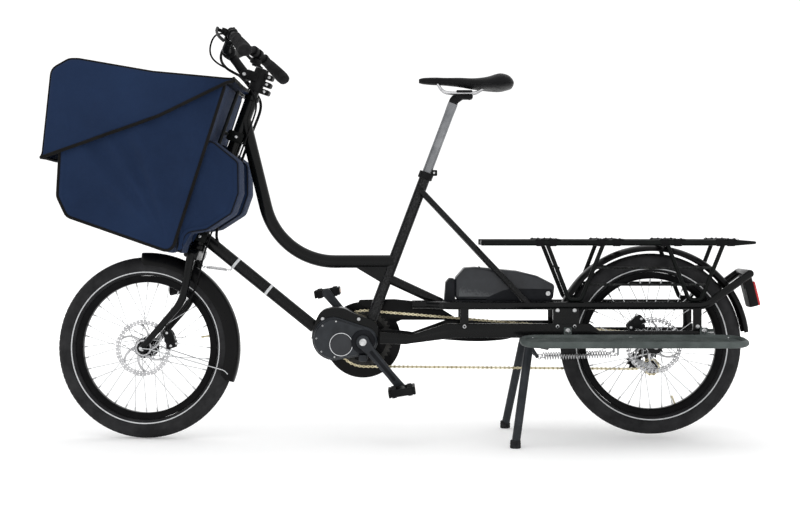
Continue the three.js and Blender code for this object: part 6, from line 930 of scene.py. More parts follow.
def rack_straps():
    """Webbing laid across the rack beside its cross bars, turned once round each rail, with a flat ladder buckle on
    each rail and a short loose end held down along it."""
    straps, buckles = [], []
    s, top = np.linspace(-1, 1, 25), 568.4
    for x in (497, 533, 668, 712, 846, 884, 1003, 1033):
        straps.append(flat_strap(np.stack([0 * s + x, s * 72, 566.4 - 2.6 * (1 - s ** 2)], 1), 20, 1.4, X))
        for side in (-1, 1):
            y = side * 77.0
            straps.append(sleeve(8.65, 10.4, 10, (x, side * 78, RACK_HEIGHT), X, 32))
            buckles.append(block((x, y, top), X, 27, 15, 2.6, 0.9, 1.2))
            buckles += [block((x + a, y, top + 1.8), X, 3.4, 16, 2.2, 0.7, 0.9) for a in (8.5, -8.5)]
            tail = [[x + 6, y, top + 1.0], [x + 16, y, top + 0.6], [x + 22, y, top - 0.4]]
            straps.append(flat_strap(eased(tail, 8), 12, 1.2, Y))
    return straps, buckles


piece("rack_tubes", rack_tubes(), "frame", RACK_PAINT, "rack", smooth=40)
webbing, buckle_parts = rack_straps()
piece("rack_webbing", webbing, "frame", WEBBING)
piece("rack_buckles", buckle_parts, "frame", BUCKLE)


# ---------------------------------------------------------------- mudguards, lamp, boards, stand

def guard_surface(centre, radius, half, side, start, end, tip=10.0):
    """A mudguard: an arched section with turned-in edges and a wall of even thickness, swung about the axle; its ends
    are drawn narrower by a quarter ellipse."""
    s = np.linspace(-1, 1, 21)
    full = HALF_PI * 0.94
    outer = np.stack([radius - side * (np.abs(s) ** 2.6) * 0.94, half * np.sin(s * full) / math.sin(full)], 1)
    d = np.gradient(outer, axis=0)
    normal = unit(np.stack([-d[:, 1], d[:, 0]], 1))
    inner = outer - normal * np.sign(normal[10, 0]) * 2.2
    lip = outer[[0, -1]] + [[-1.2, 0.4], [-1.2, -0.4]]
    section = np.vstack([outer, lip[1:], inner[::-1], lip[:1]])
    run = np.linspace(0, 1, 130)[:, None]
    near = np.minimum(run, 1 - run) * (end - start) / tip
    narrow = 0.72 + 0.28 * np.sqrt(1 - (1 - np.clip(near, 0, 1)) ** 2)
    theta = np.radians(np.linspace(start, end, 130))[:, None]
    return grid(about(section[:, 0], section[:, 1] * narrow, theta) + centre)


piece("rear_mudguard_shell", guard_surface(REAR, 281, 31, 16, 7, 166), "frame", GUARD_PLASTIC, "rear_mudguard",
    smooth=50)
steel("rear_mudguard_boss", [rod((864.75, 0, 545), (864.75, 0, 553), 5.5, 20, 1.2), bolt([864.75, 0, 545.5], -Z, 5, 2)])

LAMP_BACK = way_at(14)
LAMP_DOWN = -square_to(LAMP_BACK)
LAMP_TOP = np.array([1089, 0, 465.0])
lamp_rim = soft_box(92, 60, 9, 6)
lens_edge = soft_box(70, 52, 6, 6)
lamp_centre = LAMP_TOP + LAMP_DOWN * 46
piece("lamp_housing", [prism(lamp_rim, lamp_centre, LAMP_DOWN, Y, 24.6, 3.0, 5),
    block(LAMP_TOP + LAMP_DOWN * 22 - LAMP_BACK * 11, LAMP_DOWN, 34, 40, 6, 1.5, 4)], "frame", SATIN_PLASTIC,
    "rear_light")
piece("lamp_lens", [prism(lens_edge, LAMP_TOP + LAMP_DOWN * 57 + LAMP_BACK * 15.6, LAMP_DOWN, Y, 6.4, 2.2, 4),
    prism(soft_box(16, 30, 3), LAMP_TOP + LAMP_DOWN * 11.5 + LAMP_BACK * 13.2, LAMP_DOWN, Y, 2.4, 0.8)], "frame",
    LENS_RED, "rear_reflector")


BOARD_SLOPE, BRACKETS = 9 / 136, (574.1, 955.25)


def board_parts():
    """One running board: a tube loop with bent corners, a panel with pressed ribs, two flat brackets and its bolts."""
    corners = [(441, -112, 294), (441, -248, 285), (1046, -248, 285), (1046, -112, 294)]
    loop = tube(bent(corners, 52, 10, closed=True), 9, 22, closed=True)
    panel_edge = rounded_outline([[445, 116], [445, 244], [1042, 244], [1042, 116]], 46, 8)

    def lifted(points, thick):
        return np.stack([points[:, 0], -points[:, 1], 294 - BOARD_SLOPE * (points[:, 1] - 112) + thick], 1)

    drawn_in = inset(panel_edge, 0.8)
    rings = [lifted(drawn_in, -1.6), lifted(panel_edge, -0.9), lifted(panel_edge, 0.9), lifted(drawn_in, 1.6)]
    panel = [grid(np.array(rings))]
    for y in np.arange(6) * 19.5 + 130:
        z = 294 - BOARD_SLOPE * (y - 112) + 1.4
        line = [[480, -y, z], [483, -y, z + 0.8], [1004, -y, z + 0.8], [1007, -y, z]]
        panel.append(tube(line, [0.4, 2.0, 2.0, 0.4], 12))
    section = [[-112, 294], [-112, 298], [-85.3, 302], [-85.3, 321], [-81.3, 321], [-81.3, 298]]
    brackets = [prism(rounded_outline(section, 1.2, 2), x * X, Y, Z, 22, 0.8) for x in BRACKETS]
    return [loop], panel, brackets


for label, side in SIDES:
    loop, panel, brackets = board_parts()
    if side > 0:
        loop, panel, brackets = ([mirrored(s) for s in group] for group in (loop, panel, brackets))
    piece(f"board_loop_{label}", loop, "frame", BOARD_PAINT, f"running_board_{label}", smooth=40)
    piece(f"board_panel_{label}", panel, "frame", BOARD_PAINT)
    piece(f"board_brackets_{label}", brackets, "frame", BOARD_PAINT)
    spots = [([x, side * 85.3, 312], side * Y, 7.6, 4.2) for x in BRACKETS]
    spots += [([x, side * y, 294 - BOARD_SLOPE * (y - 112) + 1.5], Z, 5.2, 2.6) for x in (470, 744, 1017)
        for y in (122, 236)]
    steel(f"board_bolts_{label}", [bolt(*spot) for spot in spots])


def stand_parts():
    """The stand: cross tube, splayed legs, rubber feet with rings, and the foot lever."""
    tubes, rubber = [rod((466, -68.7, 276.5), (466, 68.7, 276.5), 12, 24)], []
    foot = [[9, 22], [13, 22], [14.4, 20.5], [14.4, 17], [13.6, 16], [15, 14.5], [15, 11], [14.2, 10], [15, 8.5],
        [15, 2], [13.4, 0.3], [9, 0.3]]
    for s in (-1, 1):
        leg = bent([(466, s * 97, 277), (462, s * 103, 258), (420, s * 194, 16)], 30, 6)
        tubes += [rod((466, s * 75.3, 276.5), (466, s * 99, 276.5), 12, 24, 2),
            tube(leg, [12.6] + [12.4] * 7 + [11.6], 24), rod((466, s * 42, 276.5), (494, s * 42, 232.5), 5, 16, 1.5)]
        rubber.append(lathe(foot, (418.6, s * 196.0, 0), Z, 32))
    tubes.append(tube(bent([(466, -14, 270.5), (500, -14, 263), (526, -14, 258.5)], 20, 4), 5, 18))
    rubber.append(rod((505, -14, 262.6), (528, -14, 258.1), 7.2, 20, 2))
    return tubes, rubber


stand_tubes, stand_rubber = stand_parts()
piece("stand_tubes", stand_tubes, "centre_stand", GREY_PAINT, "stand", smooth=40)
piece("stand_feet", stand_rubber, "centre_stand", FOOT_RUBBER)
piece("stand_pivots", [bolt([466, s * 99.2, 276.5], s * Y, 8.6, 3.4) for s in (-1, 1)]
    + [rod((466, -75, 276.5), (466, 75, 276.5), 4.8)], "centre_stand", BOLT_STEEL)


def coil(start, end, radius, wire, turns, straight):
    """A spring: a helix of even pitch between two straight ends with hooks, drawn by sines and cosines round its
    line."""
    along, length = unit(end - start), np.linalg.norm(end - start)
    a = unit(np.cross(along, Y + 0.01 * X))
    t = np.linspace(0, 1, turns * 20 + 1)[:, None]
    turn = t * turns * 2 * math.pi
    ease = np.clip(np.minimum(t, 1 - t) * turns / 0.5, 0, 1)
    helix = start + along * (straight + t * (length - 2 * straight)) + radius * ease * (
        np.cos(turn) * a + np.sin(turn) * np.cross(along, a))
    near = along * (straight * 0.5)
    return tube(np.vstack([start + along, start + near, helix, end - near, end - along]), wire, 10)


def hook(end, along, wire, size=4.2):
    """A spring's eye: most of a circle in the plane of the spring's line."""
    side = unit(np.cross(along, Y))
    t = np.radians(np.linspace(-60, 240, 22))
    return tube(end + size * (np.cos(t)[:, None] * along + np.sin(t)[:, None] * side), wire, 8)


for label, side in SIDES:
    flip = np.array([1, side, 1])
    shapes = [coil(SPRING_START * flip, SPRING_END * flip, 6.2, 1.35, 26, 13),
        hook(SPRING_END * flip - spring_out * flip * 1.5, spring_out * flip, 1.35),
        hook(SPRING_START * flip + spring_out * flip * 1.5, -spring_out * flip, 1.35)]
    made = piece(f"stand_spring_coil_{label}", shapes, None, SPRING_STEEL, f"stand_spring_{label}", smooth=60)
    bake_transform(made)


# ---------------------------------------------------------------- fork, stem and handlebar

def fork_parts():
    """Fork: curved tapering legs, crown with rounded shoulders, steerer, dropout discs and axle."""
    leg = bent([on_steer(300, 0, 50), on_steer(165, -25, 54), on_steer(0, 39, 58)], 120, 14)
    far = walked(leg)
    return both(tube(leg, 12.5 - 4.0 * far / far[-1], 22)) + [
        block(on_steer(299.4), Y, 116, 40, 30, 5, 13, across=AHEAD),
        rod(on_steer(284.4), on_steer(850.0), 14.2, 28),
        lathe([[14.4, 0], [20.5, 1], [21.6, 3], [21.6, 9], [14.4, 9.6]], on_steer(306), UP, 40, closed=True),
        *both(prism(soft_box(26, 26, 12.9, 8), FRONT + 52.6 * Y, X, Z, 6, 1.2)),
        rod(FRONT - 56 * Y, FRONT + 56 * Y, 6, 18, 1),
        rod(on_steer(284, -12), on_steer(272, -31), 3.5, 12, 1)]


piece("fork_tubes", fork_parts(), "steering", FORK_PAINT, "fork", smooth=40)
piece("fork_bolts", [bolt(FRONT + s * 56 * Y, s * Y, 9, 4) for s in (-1, 1)], "steering", BOLT_STEEL)


piece("front_mudguard_shell", guard_surface(FRONT, 271, 30, 38, -21, 93, tip=8), "steering", GUARD_PLASTIC,
    "front_mudguard", smooth=50)
stay_low = math.radians(-16.8)
stays = []
for s in (-1, 1):
    line = [(FRONT[0] + 252 * math.cos(stay_low), s * 28.75, FRONT[2] + 252 * math.sin(stay_low)),
        (FRONT[0] + 232, s * 34, FRONT[2] - 62), (FRONT[0] + 26, s * 66.5, 256), (FRONT[0], s * 67.3, 258)]
    stays.append(tube(bent(line, 20, 5), 1.6, 12))
    stays.append(rod((FRONT[0], s * 64.8, 258), (FRONT[0], s * 69.0, 258), 4.2, 18, 1))
bracket_top = on_steer(283.8)
bracket_way = unit(FRONT - bracket_top)
stays.append(rod(bracket_top, bracket_top + bracket_way * 14, 6, 18, 1))
piece("front_mudguard_stays", stays, "steering", SPOKE_STEEL)

BAR_CENTRE = on_steer(872.5, 105)


def stem_parts():
    """Stem: clamp sleeve, pivot, angled arm and bar clamp, with the three ears of the height clamp."""
    pivot = on_steer(828, 39)
    return [lathe([[14.6, 0], [19, 0], [20, 1.5], [20, 62.5], [19, 64], [14.6, 64]], on_steer(793), UP, 40,
        closed=True), block(on_steer(831.7, 19.5), AHEAD, 39, 44, 28, 3, 8),
        rod(pivot - 24 * Y, pivot + 24 * Y, 14, 30, 1.6), rod(pivot - 27.5 * Y, pivot + 27.5 * Y, 7.5, 24, 1.2),
        tube([pivot, pivot + 0.5 * (BAR_CENTRE - pivot), BAR_CENTRE], [14, 12.6, 13.4], 26),
        lathe([[11.2, -22], [17.6, -22], [19, -20.6], [19, 20.6], [17.6, 22], [11.2, 22]], BAR_CENTRE, Y, 40,
        closed=True), *(block(on_steer(800.5 + 21.5 * i, -27), AHEAD, 34 - 3.75 * i, 30, 15, 2.5, 5) for i in range(3)),
        lathe([[14.5, 0], [19.5, 0], [19.5, 2.5], [16, 4.6], [6, 5.2], [4, 3.2]], on_steer(857), UP, 36)]


piece("stem_body", stem_parts(), "steering", SATIN_PLASTIC, "stem", smooth=35)
stem_bolts = [bolt(BAR_CENTRE + AHEAD * 19.2 + s * 13 * Y + UP * 0.1, AHEAD, 4, 2.6) for s in (-1, 1)]
stem_bolts += [bolt(on_steer(800.5 + 21.5 * i, -30, s * 15), s * Y, 4.6, 2.6) for i in range(3) for s in (-1, 1)]
stem_bolts += [bolt(on_steer(828, 39, s * 27.5), s * Y, 5.4, 2.2) for s in (-1, 1)]
piece("stem_bolts", stem_bolts, "steering", BOLT_STEEL)

BAR_SHARES = np.array([0, 0.2, 0.433, 0.633, 1.0])
BAR_RISES = np.array([0, 0, 1, 0.83, -0.03])
BAR_SWEEPS = np.array([0, 0, 0.18, 0.41, 1.0])


def on_bar(side):
    """Bent centre line of one half of the handlebar."""
    corners = [on_steer(872.5 + 41.5 * r, 105 - 110 * w, side * BAR_HALF * q)
        for q, r, w in zip(BAR_SHARES, BAR_RISES, BAR_SWEEPS)]
    return bent(corners, 45, 10)


bar_line = np.vstack([on_bar(-1)[::-1], on_bar(1)[1:]])
piece("handlebar_tube", tube(bar_line, 11, 26), "steering", SATIN_PLASTIC, "handlebar", smooth=50)


def bar_place(share, side):
    """A place on the handlebar's centre line by its share of the half width, and the way along it outwards."""
    line = on_bar(side)
    step = 0.02 if share <= 0.97 else -0.02
    here, next_one = (np.array([np.interp(s, np.abs(line[:, 1]) / BAR_HALF, line[:, k]) for k in range(3)])
                      for s in (share, share + step))
    return here, unit((next_one - here) * step)


def grip_surface(side):
    """A shaped grip: rings about its line whose section is wider towards the palm, with ribs and a flared end cap."""
    a, b = bar_place(0.68, side)[0], bar_place(1.0, side)[0]
    way = unit(b - a)
    start = a - way * 6
    t = np.linspace(0, 1, 90)
    radius = np.interp(t, [0, 0.02, 0.12, 0.16, 0.55, 0.86, 0.97, 1.0], [12.2, 15, 15.2, 14.2, 16.2, 17.0, 15.6, 12.5])
    wing = np.interp(t, [0, 0.14, 0.3, 0.75, 0.95, 1.0], [0, 0, 3.5, 7.6, 6.2, 2.0])
    ribs = 0.5 * np.sin(t * 2 * math.pi * 24) * ((t > 0.2) & (t < 0.88))
    back = unit(-AHEAD - way * (way @ -AHEAD))
    up = np.cross(back, way) * side
    turn = circle(36)
    palm = np.clip(np.cos(turn), 0, 1) ** 1.4
    r = (radius + ribs)[:, None] + wing[:, None] * palm[None]
    squeeze = 1 - 0.1 * palm[None] * (wing / 7.6)[:, None]
    line = start + (t * (np.linalg.norm(b - a) + 9))[:, None] * way
    rings = line[:, None] + (r * np.cos(turn))[..., None] * back + (r * squeeze * np.sin(turn))[..., None] * up
    collar = [[11.2, 0], [15.5, 0], [16.2, 0.8], [16.2, 6.4], [15.4, 7.2], [11.2, 7.2]]
    return grid(rings), lathe(collar, start - way * 0.6, way, 36, closed=True)


def clamp_ring(share, side):
    """A split clamp round the bar with softened edges."""
    edge = [[11.15, -7], [14.8, -7], [16, -5.8], [16, 5.8], [14.8, 7], [11.15, 7]]
    return lathe(edge, *bar_place(share, side), 36, closed=True)


def brake_master(side):
    """Brake master: clamp, tank along the bar, lid with two screws, and the pivot ear of the lever."""
    centre, way = bar_place(0.5, side)
    root = centre + AHEAD * 25
    inward = -side * Y
    tank = tube([root + inward * step for step in (-12, -10.5, 22, 24)], [6.5, 8.5, 8.5, 6.8], 24)
    top = block(root + UP * 8 + inward * 4, Y, 30, 15, 5, 1.4, 3, across=AHEAD)
    ear = block(centre + AHEAD * 36 + side * 10 * Y, AHEAD, 24, 14, 9, 1.6, 4)
    nut = lathe([[2.6, 0], [5.2, 0], [5.2, 7], [3.8, 9], [3.4, 14], [2.6, 14]], root + inward * 22, inward, 18,
        closed=True)
    return [clamp_ring(0.5, side), block(centre + AHEAD * 14, AHEAD, 26, 12, 13, 2, 3), tank, top, ear, nut]


def lever_blade(side):
    """Brake lever: a flattened blade whose line bows away from the grip and ends in a small ball."""
    pivot = bar_place(0.5, side)[0] + AHEAD * 44 + side * 14 * Y
    way = unit(bar_place(1.0, side)[0] - bar_place(0.7, side)[0])
    away = unit(AHEAD - way * (way @ AHEAD))
    stations = eased([[0, 0], [0.3, 0.35], [0.65, 0.42], [1, 0.08]], 40)
    line = pivot + stations[:, :1] * 118 * way + stations[:, 1:] * 20 * away
    width = np.interp(np.linspace(0, 1, 40), [0, 0.1, 0.5, 0.9, 0.96, 1], [8, 6.5, 5.4, 5.2, 5.6, 2.4])[:, None, None]
    turn = circle(20)[None, :, None]
    section = np.cos(turn) * width * unit(np.cross(way, away)) * 0.95 + np.sin(turn) * width * 0.55 * away
    return grid(line[:, None] + section), rod(pivot - UP * 7, pivot + UP * 7, 3.6, 16, 0.8)


for label, side in SIDES:
    grip, collar = grip_surface(side)
    piece(f"grip_sleeve_{label}", [grip], "steering", GRIP_RUBBER, f"grip_{label}", smooth=60)
    piece(f"grip_collar_{label}", [collar], "steering", SATIN_PLASTIC)
    piece(f"brake_master_body_{label}", brake_master(side), "steering", SATIN_PLASTIC, f"brake_master_{label}")
    centre = bar_place(0.5, side)[0]
    screws = [bolt(centre + AHEAD * 25 + UP * 10.5 - side * k * Y, UP, 2.0, 1.0)
        for k in (-7, 15)] + [bolt(centre - UP * 15.6, -UP, 3.0, 2)]
    piece(f"brake_master_screws_{label}", screws, "steering", BOLT_STEEL)
    blade, pin = lever_blade(side)
    piece(f"brake_lever_blade_{label}", [blade, pin], f"{label}_brake_lever", SATIN_PLASTIC, f"brake_lever_{label}",
        smooth=50)

bell_base = bar_place(0.37, -1)[0] + UP * 15.6
dome = [[13.6, 0], [15.5, 0.4], [15.5, 2.4], [15.1, 5.5], [13.2, 10], [9.2, 13.4], [4.5, 15], [3.4, 15.1], [3.2, 16.4],
    [1.6, 17.2]]
piece("bell_body", [clamp_ring(0.37, -1), lathe([[6, -3], [9, -2], [13, 0.5], [13, 1.5]], bell_base, UP, 32)],
    "steering", SATIN_PLASTIC, "bell")
piece("bell_dome", lathe(dome, bell_base + UP * 1.6, UP, 48), "steering", BLACK_RIM)
refined("bell_striker_arm", "bell_lever", "bell_striker", SATIN_PLASTIC, 0.3)

shift_centre = bar_place(0.575, 1)[0]
drum = [[4, -9], [12, -8.6], [16, -7], [17, -5], [17, 5.5], [16, 7.6], [8, 8.6], [3, 8.7]]
shifter = [clamp_ring(0.575, 1), lathe(drum, shift_centre - UP * 22.5, UP, 40),
    block(shift_centre - UP * 15 + AHEAD * 2, UP, 14, 16, 18, 2, 4)]
piece("shifter_body", shifter, "steering", SATIN_PLASTIC, "shifter")
refined("shift_paddles", "shift_lever", "shift_paddle", SATIN_PLASTIC, 0.4)


# ---------------------------------------------------------------- brakes and lights

def caliper_parts(centre, degrees, y):
    """A caliper at its place round the axle: two halves about the rotor with a bridge, piston caps, pad fins and hose
    joint."""
    out = way_at(degrees)
    way = square_to(out)
    place = centre + out * 80 + y * Y
    half = rounded_outline([[-15, -26], [12, -26], [16, -14], [16, 14], [12, 26], [-15, 26], [-10, 12], [-10, -12]], 5)
    shell = []
    for s in (-1, 1):
        shell.append(prism(half, place + s * 8.6 * Y, out, way, 12, 2.2, 4))
        shell.append(lathe([[9.5, 0], [11.5, 0], [11.5, 2.2], [9.5, 3.4], [3, 3.6]], place + s * 14.4 * Y, s * Y, 28))
    shell.append(block(place + out * 9, way, 46, 14, 12, 1.6, 3))
    banjo = place + out * 15 - way * 17 - 9 * Y
    return shell, [block(place + out * 4, way, 18, 3.2, 26, 0.6, 3),
                   *(bolt(place + way * t + out * 2 - 14.8 * Y, -Y, 4.2, 3.2) for t in (-19, 19)),
                   rod(banjo, banjo + out * 7, 4.2, 6, 0.5)]


shell, metal = caliper_parts(FRONT, 18, -41)
piece("front_caliper_body", shell, "steering", SATIN_PLASTIC, "front_caliper", smooth=35)
piece("front_caliper_bolts", metal, "steering", BOLT_STEEL)
shell, metal = caliper_parts(REAR, 130, -58)
shell.append(block((REAR[0] + 80 * math.cos(math.radians(130)), -66.5, 322.5), X, 50, 13, 13, 2, 3))
piece("rear_caliper_body", shell, "frame", SATIN_PLASTIC, "rear_caliper", smooth=35)
steel("rear_caliper_bolts", metal)

lamp_place = on_steer(178, 36, 74.5)
lamp_shell = [[5, 15], [12.5, 14], [14.6, 11], [15.4, 4], [17.4, -5], [19, -12], [19, -15.4], [17.2, -15.8],
    [16.6, -13.5], [5, -13]]
piece("headlight_shell", [lathe(lamp_shell, lamp_place, X, 44),
    tube(bent([on_steer(178, -25, 62.5), on_steer(178, -6, 70), lamp_place + UP * 2 + X * 8], 14, 5),
    [8, 8, 8, 8, 7, 7, 7, 6], 20)], "steering", SATIN_PLASTIC, "headlight")
piece("headlight_lens", lathe([[0.5, -17.8], [8, -17.4], [14.5, -16], [16.8, -14.4], [16.8, -13.6], [0.5, -13.4]],
    lamp_place, X, 44), "steering", LENS_CLEAR)


# ---------------------------------------------------------------- front carrier and bag

def carrier_parts():
    """The carrier behind and under the bag: bent rods each side, ties across and the two brackets on the head tube."""
    made = [tube(bent([on_steer(a, b, s * 120) for a, b in ((770, 28), (325, 28), (325, 278))], 26, 8), 5, 18)
        for s in (-1, 1)]
    made += [rod(on_steer(*at, -120), on_steer(*at, 120), 5, 18)
        for at in ((352, 28), (652, 28), (325, 274), (770, 28))]
    return made + [block(on_steer(along, 4.75, s * 24.3), AHEAD, 46.5, 5, 30, 1.2, 6) for along in (352, 652)
        for s in (-1, 1)]


piece("carrier_rods", carrier_parts(), "frame", RACK_PAINT, "bag_carrier")
steel("carrier_bolts", [bolt(on_steer(along, 2, s * 27), s * Y, 5, 3.2) for along in (352, 652) for s in (-1, 1)])


def bag_at(shares):
    """Places beside the head tube from shares of the bag's length forwards and its height upwards."""
    return [-371, 526] + np.asarray(shares, float) * [-460, 494]


def ripple(u, v, scale):
    """A soft unevenness: a few long waves of different lengths and directions added up."""
    return scale * (0.5 * np.sin(2.1 * u + 1.3 * v + 0.4) + 0.3 * np.sin(3.7 * u - 2.2 * v + 1.9) + 0.2
        * np.sin(5.9 * u + 4.1 * v + 2.7))


ROOM_RADIUS, ROOM_HEIGHT = 80, 332


def crown_room(points):
    """Makes room for the fork's crown to turn: what lies within a radius of the steering axis and below a height along
    it is moved the shorter way, straight out to that radius or up to that height."""
    arm = points - STEER_FOOT
    along = arm @ UP
    radial = arm - along[:, None] * UP
    reach = np.linalg.norm(radial, axis=1)
    inside = (reach < ROOM_RADIUS) & (along < ROOM_HEIGHT)
    nearer_top = ROOM_HEIGHT - along <= ROOM_RADIUS - reach
    rise = np.where(inside & nearer_top, ROOM_HEIGHT - along, 0)
    push = np.where(inside & ~nearer_top, ROOM_RADIUS - reach, 0)
    return points + rise[:, None] * UP + push[:, None] * unit(radial)


def bag_surface(outline, half, low_sag, side_dish, corner, pleat_depth=0.0):
    """A sewn bag: its outline carried across with rounded seams; the bottom hangs lower in the middle, and each side
    panel, drawn as the outline shrunk step by step to its middle, dishes inwards with long soft folds, and with pleats
    that fan out from its low rear corner: waves of the angle about that corner, strongest half way up the panel."""
    centre = outline.mean(0)
    along = walked(np.vstack([outline, outline[:1]]))[:-1]
    turn = along / along[-1] * 2 * math.pi
    start = inset(outline, corner)
    low_corner = outline[np.argmax(outline[:, 0] - 1.5 * outline[:, 1])]
    half_way, seams = [], []
    for side in (-1, 1):
        rows = []
        for k in np.linspace(0.01, 0.97, 34):
            points = centre + (start - centre) * k
            arm = points - low_corner
            angle, far = np.arctan2(arm[:, 1], -arm[:, 0]), np.linalg.norm(arm, axis=1)
            fan = np.sin(19 * angle + 1.7 * np.sin(6 * angle)) * np.exp(-((far - 240) / 150) ** 2)
            pleats = pleat_depth * fan * (1 - k ** 8)
            dish = side_dish * (1 - k ** 2) * (0.75 + 0.25 * k * np.cos(turn))
            waves = ripple(points[:, 0] / 60 + points[:, 1] / 85, points[:, 1] / 120 - points[:, 0] / 150, 4.6)
            rows.append((points, side * (half - dish + waves * (1 - k ** 4) + pleats - 2.2), points))
        for a in np.linspace(0, HALF_PI, 6):
            points = inset(outline, corner * (1 - math.sin(a)))
            rows.append((points, side * (half - corner * (1 - math.cos(a))), points))
        half_way.append(rows)
    for y in np.linspace(-half + corner, half - corner, 34):
        share = 1 - (y / half) ** 2
        drop = np.clip((centre[1] - outline[:, 1]) / (centre[1] - outline[:, 1].min()), 0, 1) ** 2
        bulge = unit(outline - centre) * (ripple(turn * 3, y / 60, 1.6) + 3.0 * share)[:, None]
        points = outline + bulge * min(share * 3, 1) - np.stack([0 * drop, low_sag * share * drop], 1)
        seams.append((points, y, np.stack([along, np.full(len(along), y)], 1)))
    rows = half_way[0] + seams + half_way[1][::-1]
    return grid(np.array([at_side(points, y) for points, y, _ in rows])), np.vstack([mark for *_, mark in rows]) / 1000


def with_room(shape, across=0.0):
    """A shape moved across, with room made in it for the crown."""
    return crown_room(shape[0] + across * Y), *shape[1:]


def binding(name, edges, body):
    """Bound edges of cloth, with the cloth's own map along them."""
    points = np.vstack([edge[0] for edge in edges])
    uv = np.stack([points[:, 0] + points[:, 1], points[:, 2]], 1) / 1000
    return piece(name, edges, body, CLOTH_EDGE, smooth=60, uv=uv)


BAG_CORNERS = bag_at([[0.316, 0.0067], [0.943, 0.211], [1, 0.324], [0.987, 0.536], [0.972, 1.02], [0.922, 1.05],
    [0.872, 1.05], [0.435, 0.985], [0.0304, 0.955], [-0.005, 0.94]])
bag_line = rounded_outline(BAG_CORNERS, 26, 6)
bag_line = even_line(np.vstack([bag_line, bag_line[:1]]), 181)[:-1]
shell, uv = bag_surface(bag_line, 208, 6, 7, 14, pleat_depth=5.2)
bag_shell = piece("bag_shell", with_room(shell), "frame", CLOTH, "bag", smooth=80, uv=uv)

pocket_corners = bag_at([[0.11, 0.656], [-0.076, 0.514], [-0.078, 0.34], [-0.035, 0.227], [0.113, 0.138],
    [0.235, 0.121], [0.262, 0.012], [0.285, 0.02], [0.30, 0.3]])
pocket_line = rounded_outline(pocket_corners, 22, 5)
for label, side in SIDES:
    shell, uv = bag_surface(pocket_line, 77, 2, 2, 12)
    piece(f"bag_pocket_{label}", with_room(shell, side * 122.5), "frame", CLOTH, smooth=80, uv=uv)

bindings = []
for s in (-1, 1):
    bindings.append(tube(at_side(inset(bag_line, 2.6), s * 203.6), 4.4, 10, closed=True))
    bindings += [tube(at_side(inset(pocket_line, 2.0), s * 122.5 + p * 74.0), 1.5, 8, closed=True) for p in (-1, 1)]
binding("bag_binding", [with_room(b) for b in bindings], "frame")


def lid_surface():
    """The lid: rows along its top line; each row climbs one hanging side from the slanting lower edge, turns over a
    rounded seam, crosses the top with a slight sag and comes down the other side."""
    top = bag_at([[-0.05, 0.9741], [0.0304, 0.9802], [0.4348, 1.0146], [0.8707, 1.085], [0.9261, 1.085], [1.03, 1.03],
        [1.0857, 0.5405]])
    low = bag_at([[-0.05, 0.955], [-0.013, 0.9494], [0.3935, 0.7652], [1.0857, 0.537]])
    top, low = even_line(bent(top, 30, 7), LID_ROWS), even_line(low, LID_ROWS)
    inner, down = unit(low - top), np.linalg.norm(low - top, axis=1)
    half = 217.0
    radius = np.minimum(15.0, np.maximum(down, 0.5))
    hang = []
    for k in np.linspace(1, 0, 22):
        reach = radius + (down - radius) * k
        sway = ripple(top[:, 0] / 70 + reach / 90, reach / 110, 4.2) * (reach / max(down.max(), 1)) + 2.2 * k ** 2
        hang.append((reach, half - 0.6 + sway - 2.0))
    for a in np.linspace(0, HALF_PI, 6)[1:]:
        hang.append((radius * (1 - math.sin(a)), half - 2.6 - radius * (1 - math.cos(a))))
    sides = [[(top + inner * reach[:, None], side * y) for reach, y in hang] for side in (-1, 1)]
    rows = [(points, y, points) for points, y in sides[0]]
    for y in np.linspace(-half + 20, half - 20, 36):
        points = top - [0, 3.0 * (1 - (y / half) ** 2)] + inner * ripple(top[:, 0] / 60, y / 50, 1.0)[:, None]
        rows.append((points, y, np.stack([np.linspace(0, 900, LID_ROWS), np.full(LID_ROWS, y)], 1)))
    rows += [(points, y, points) for points, y in sides[1][::-1]]
    rings = np.array([at_side(points, y) for points, y, _ in rows]).transpose(1, 0, 2)
    uv = np.array([mark for *_, mark in rows]).transpose(1, 0, 2).reshape(-1, 2) / 1000
    return grid(rings, open_sheet=True), uv, rings


shell, uv, lid_rings = lid_surface()
lid = piece("bag_lid_cloth", shell, "lid", CLOTH, "bag_lid", smooth=80, uv=uv)
wall = lid.modifiers.new("cloth", "SOLIDIFY")
wall.thickness, wall.offset, wall.use_even_offset = 0.003, -1.0, False
hem = np.vstack([lid_rings[:, 0], lid_rings[-1, 1:-1], lid_rings[::-1, -1], lid_rings[0, -2:0:-1]])
keep = [0]
for i in range(1, len(hem)):
    if np.linalg.norm(hem[i] - hem[keep[-1]]) > 3:
        keep.append(i)
edges = [tube(hem[keep], 4.6, 10, closed=True)]
edges += [tube(lid_rings[:, s], 3.0, 8) for s in (24, len(lid_rings[0]) - 25)]
lid_binding = binding("bag_lid_binding", edges, "lid")


# ---------------------------------------------------------------- seat

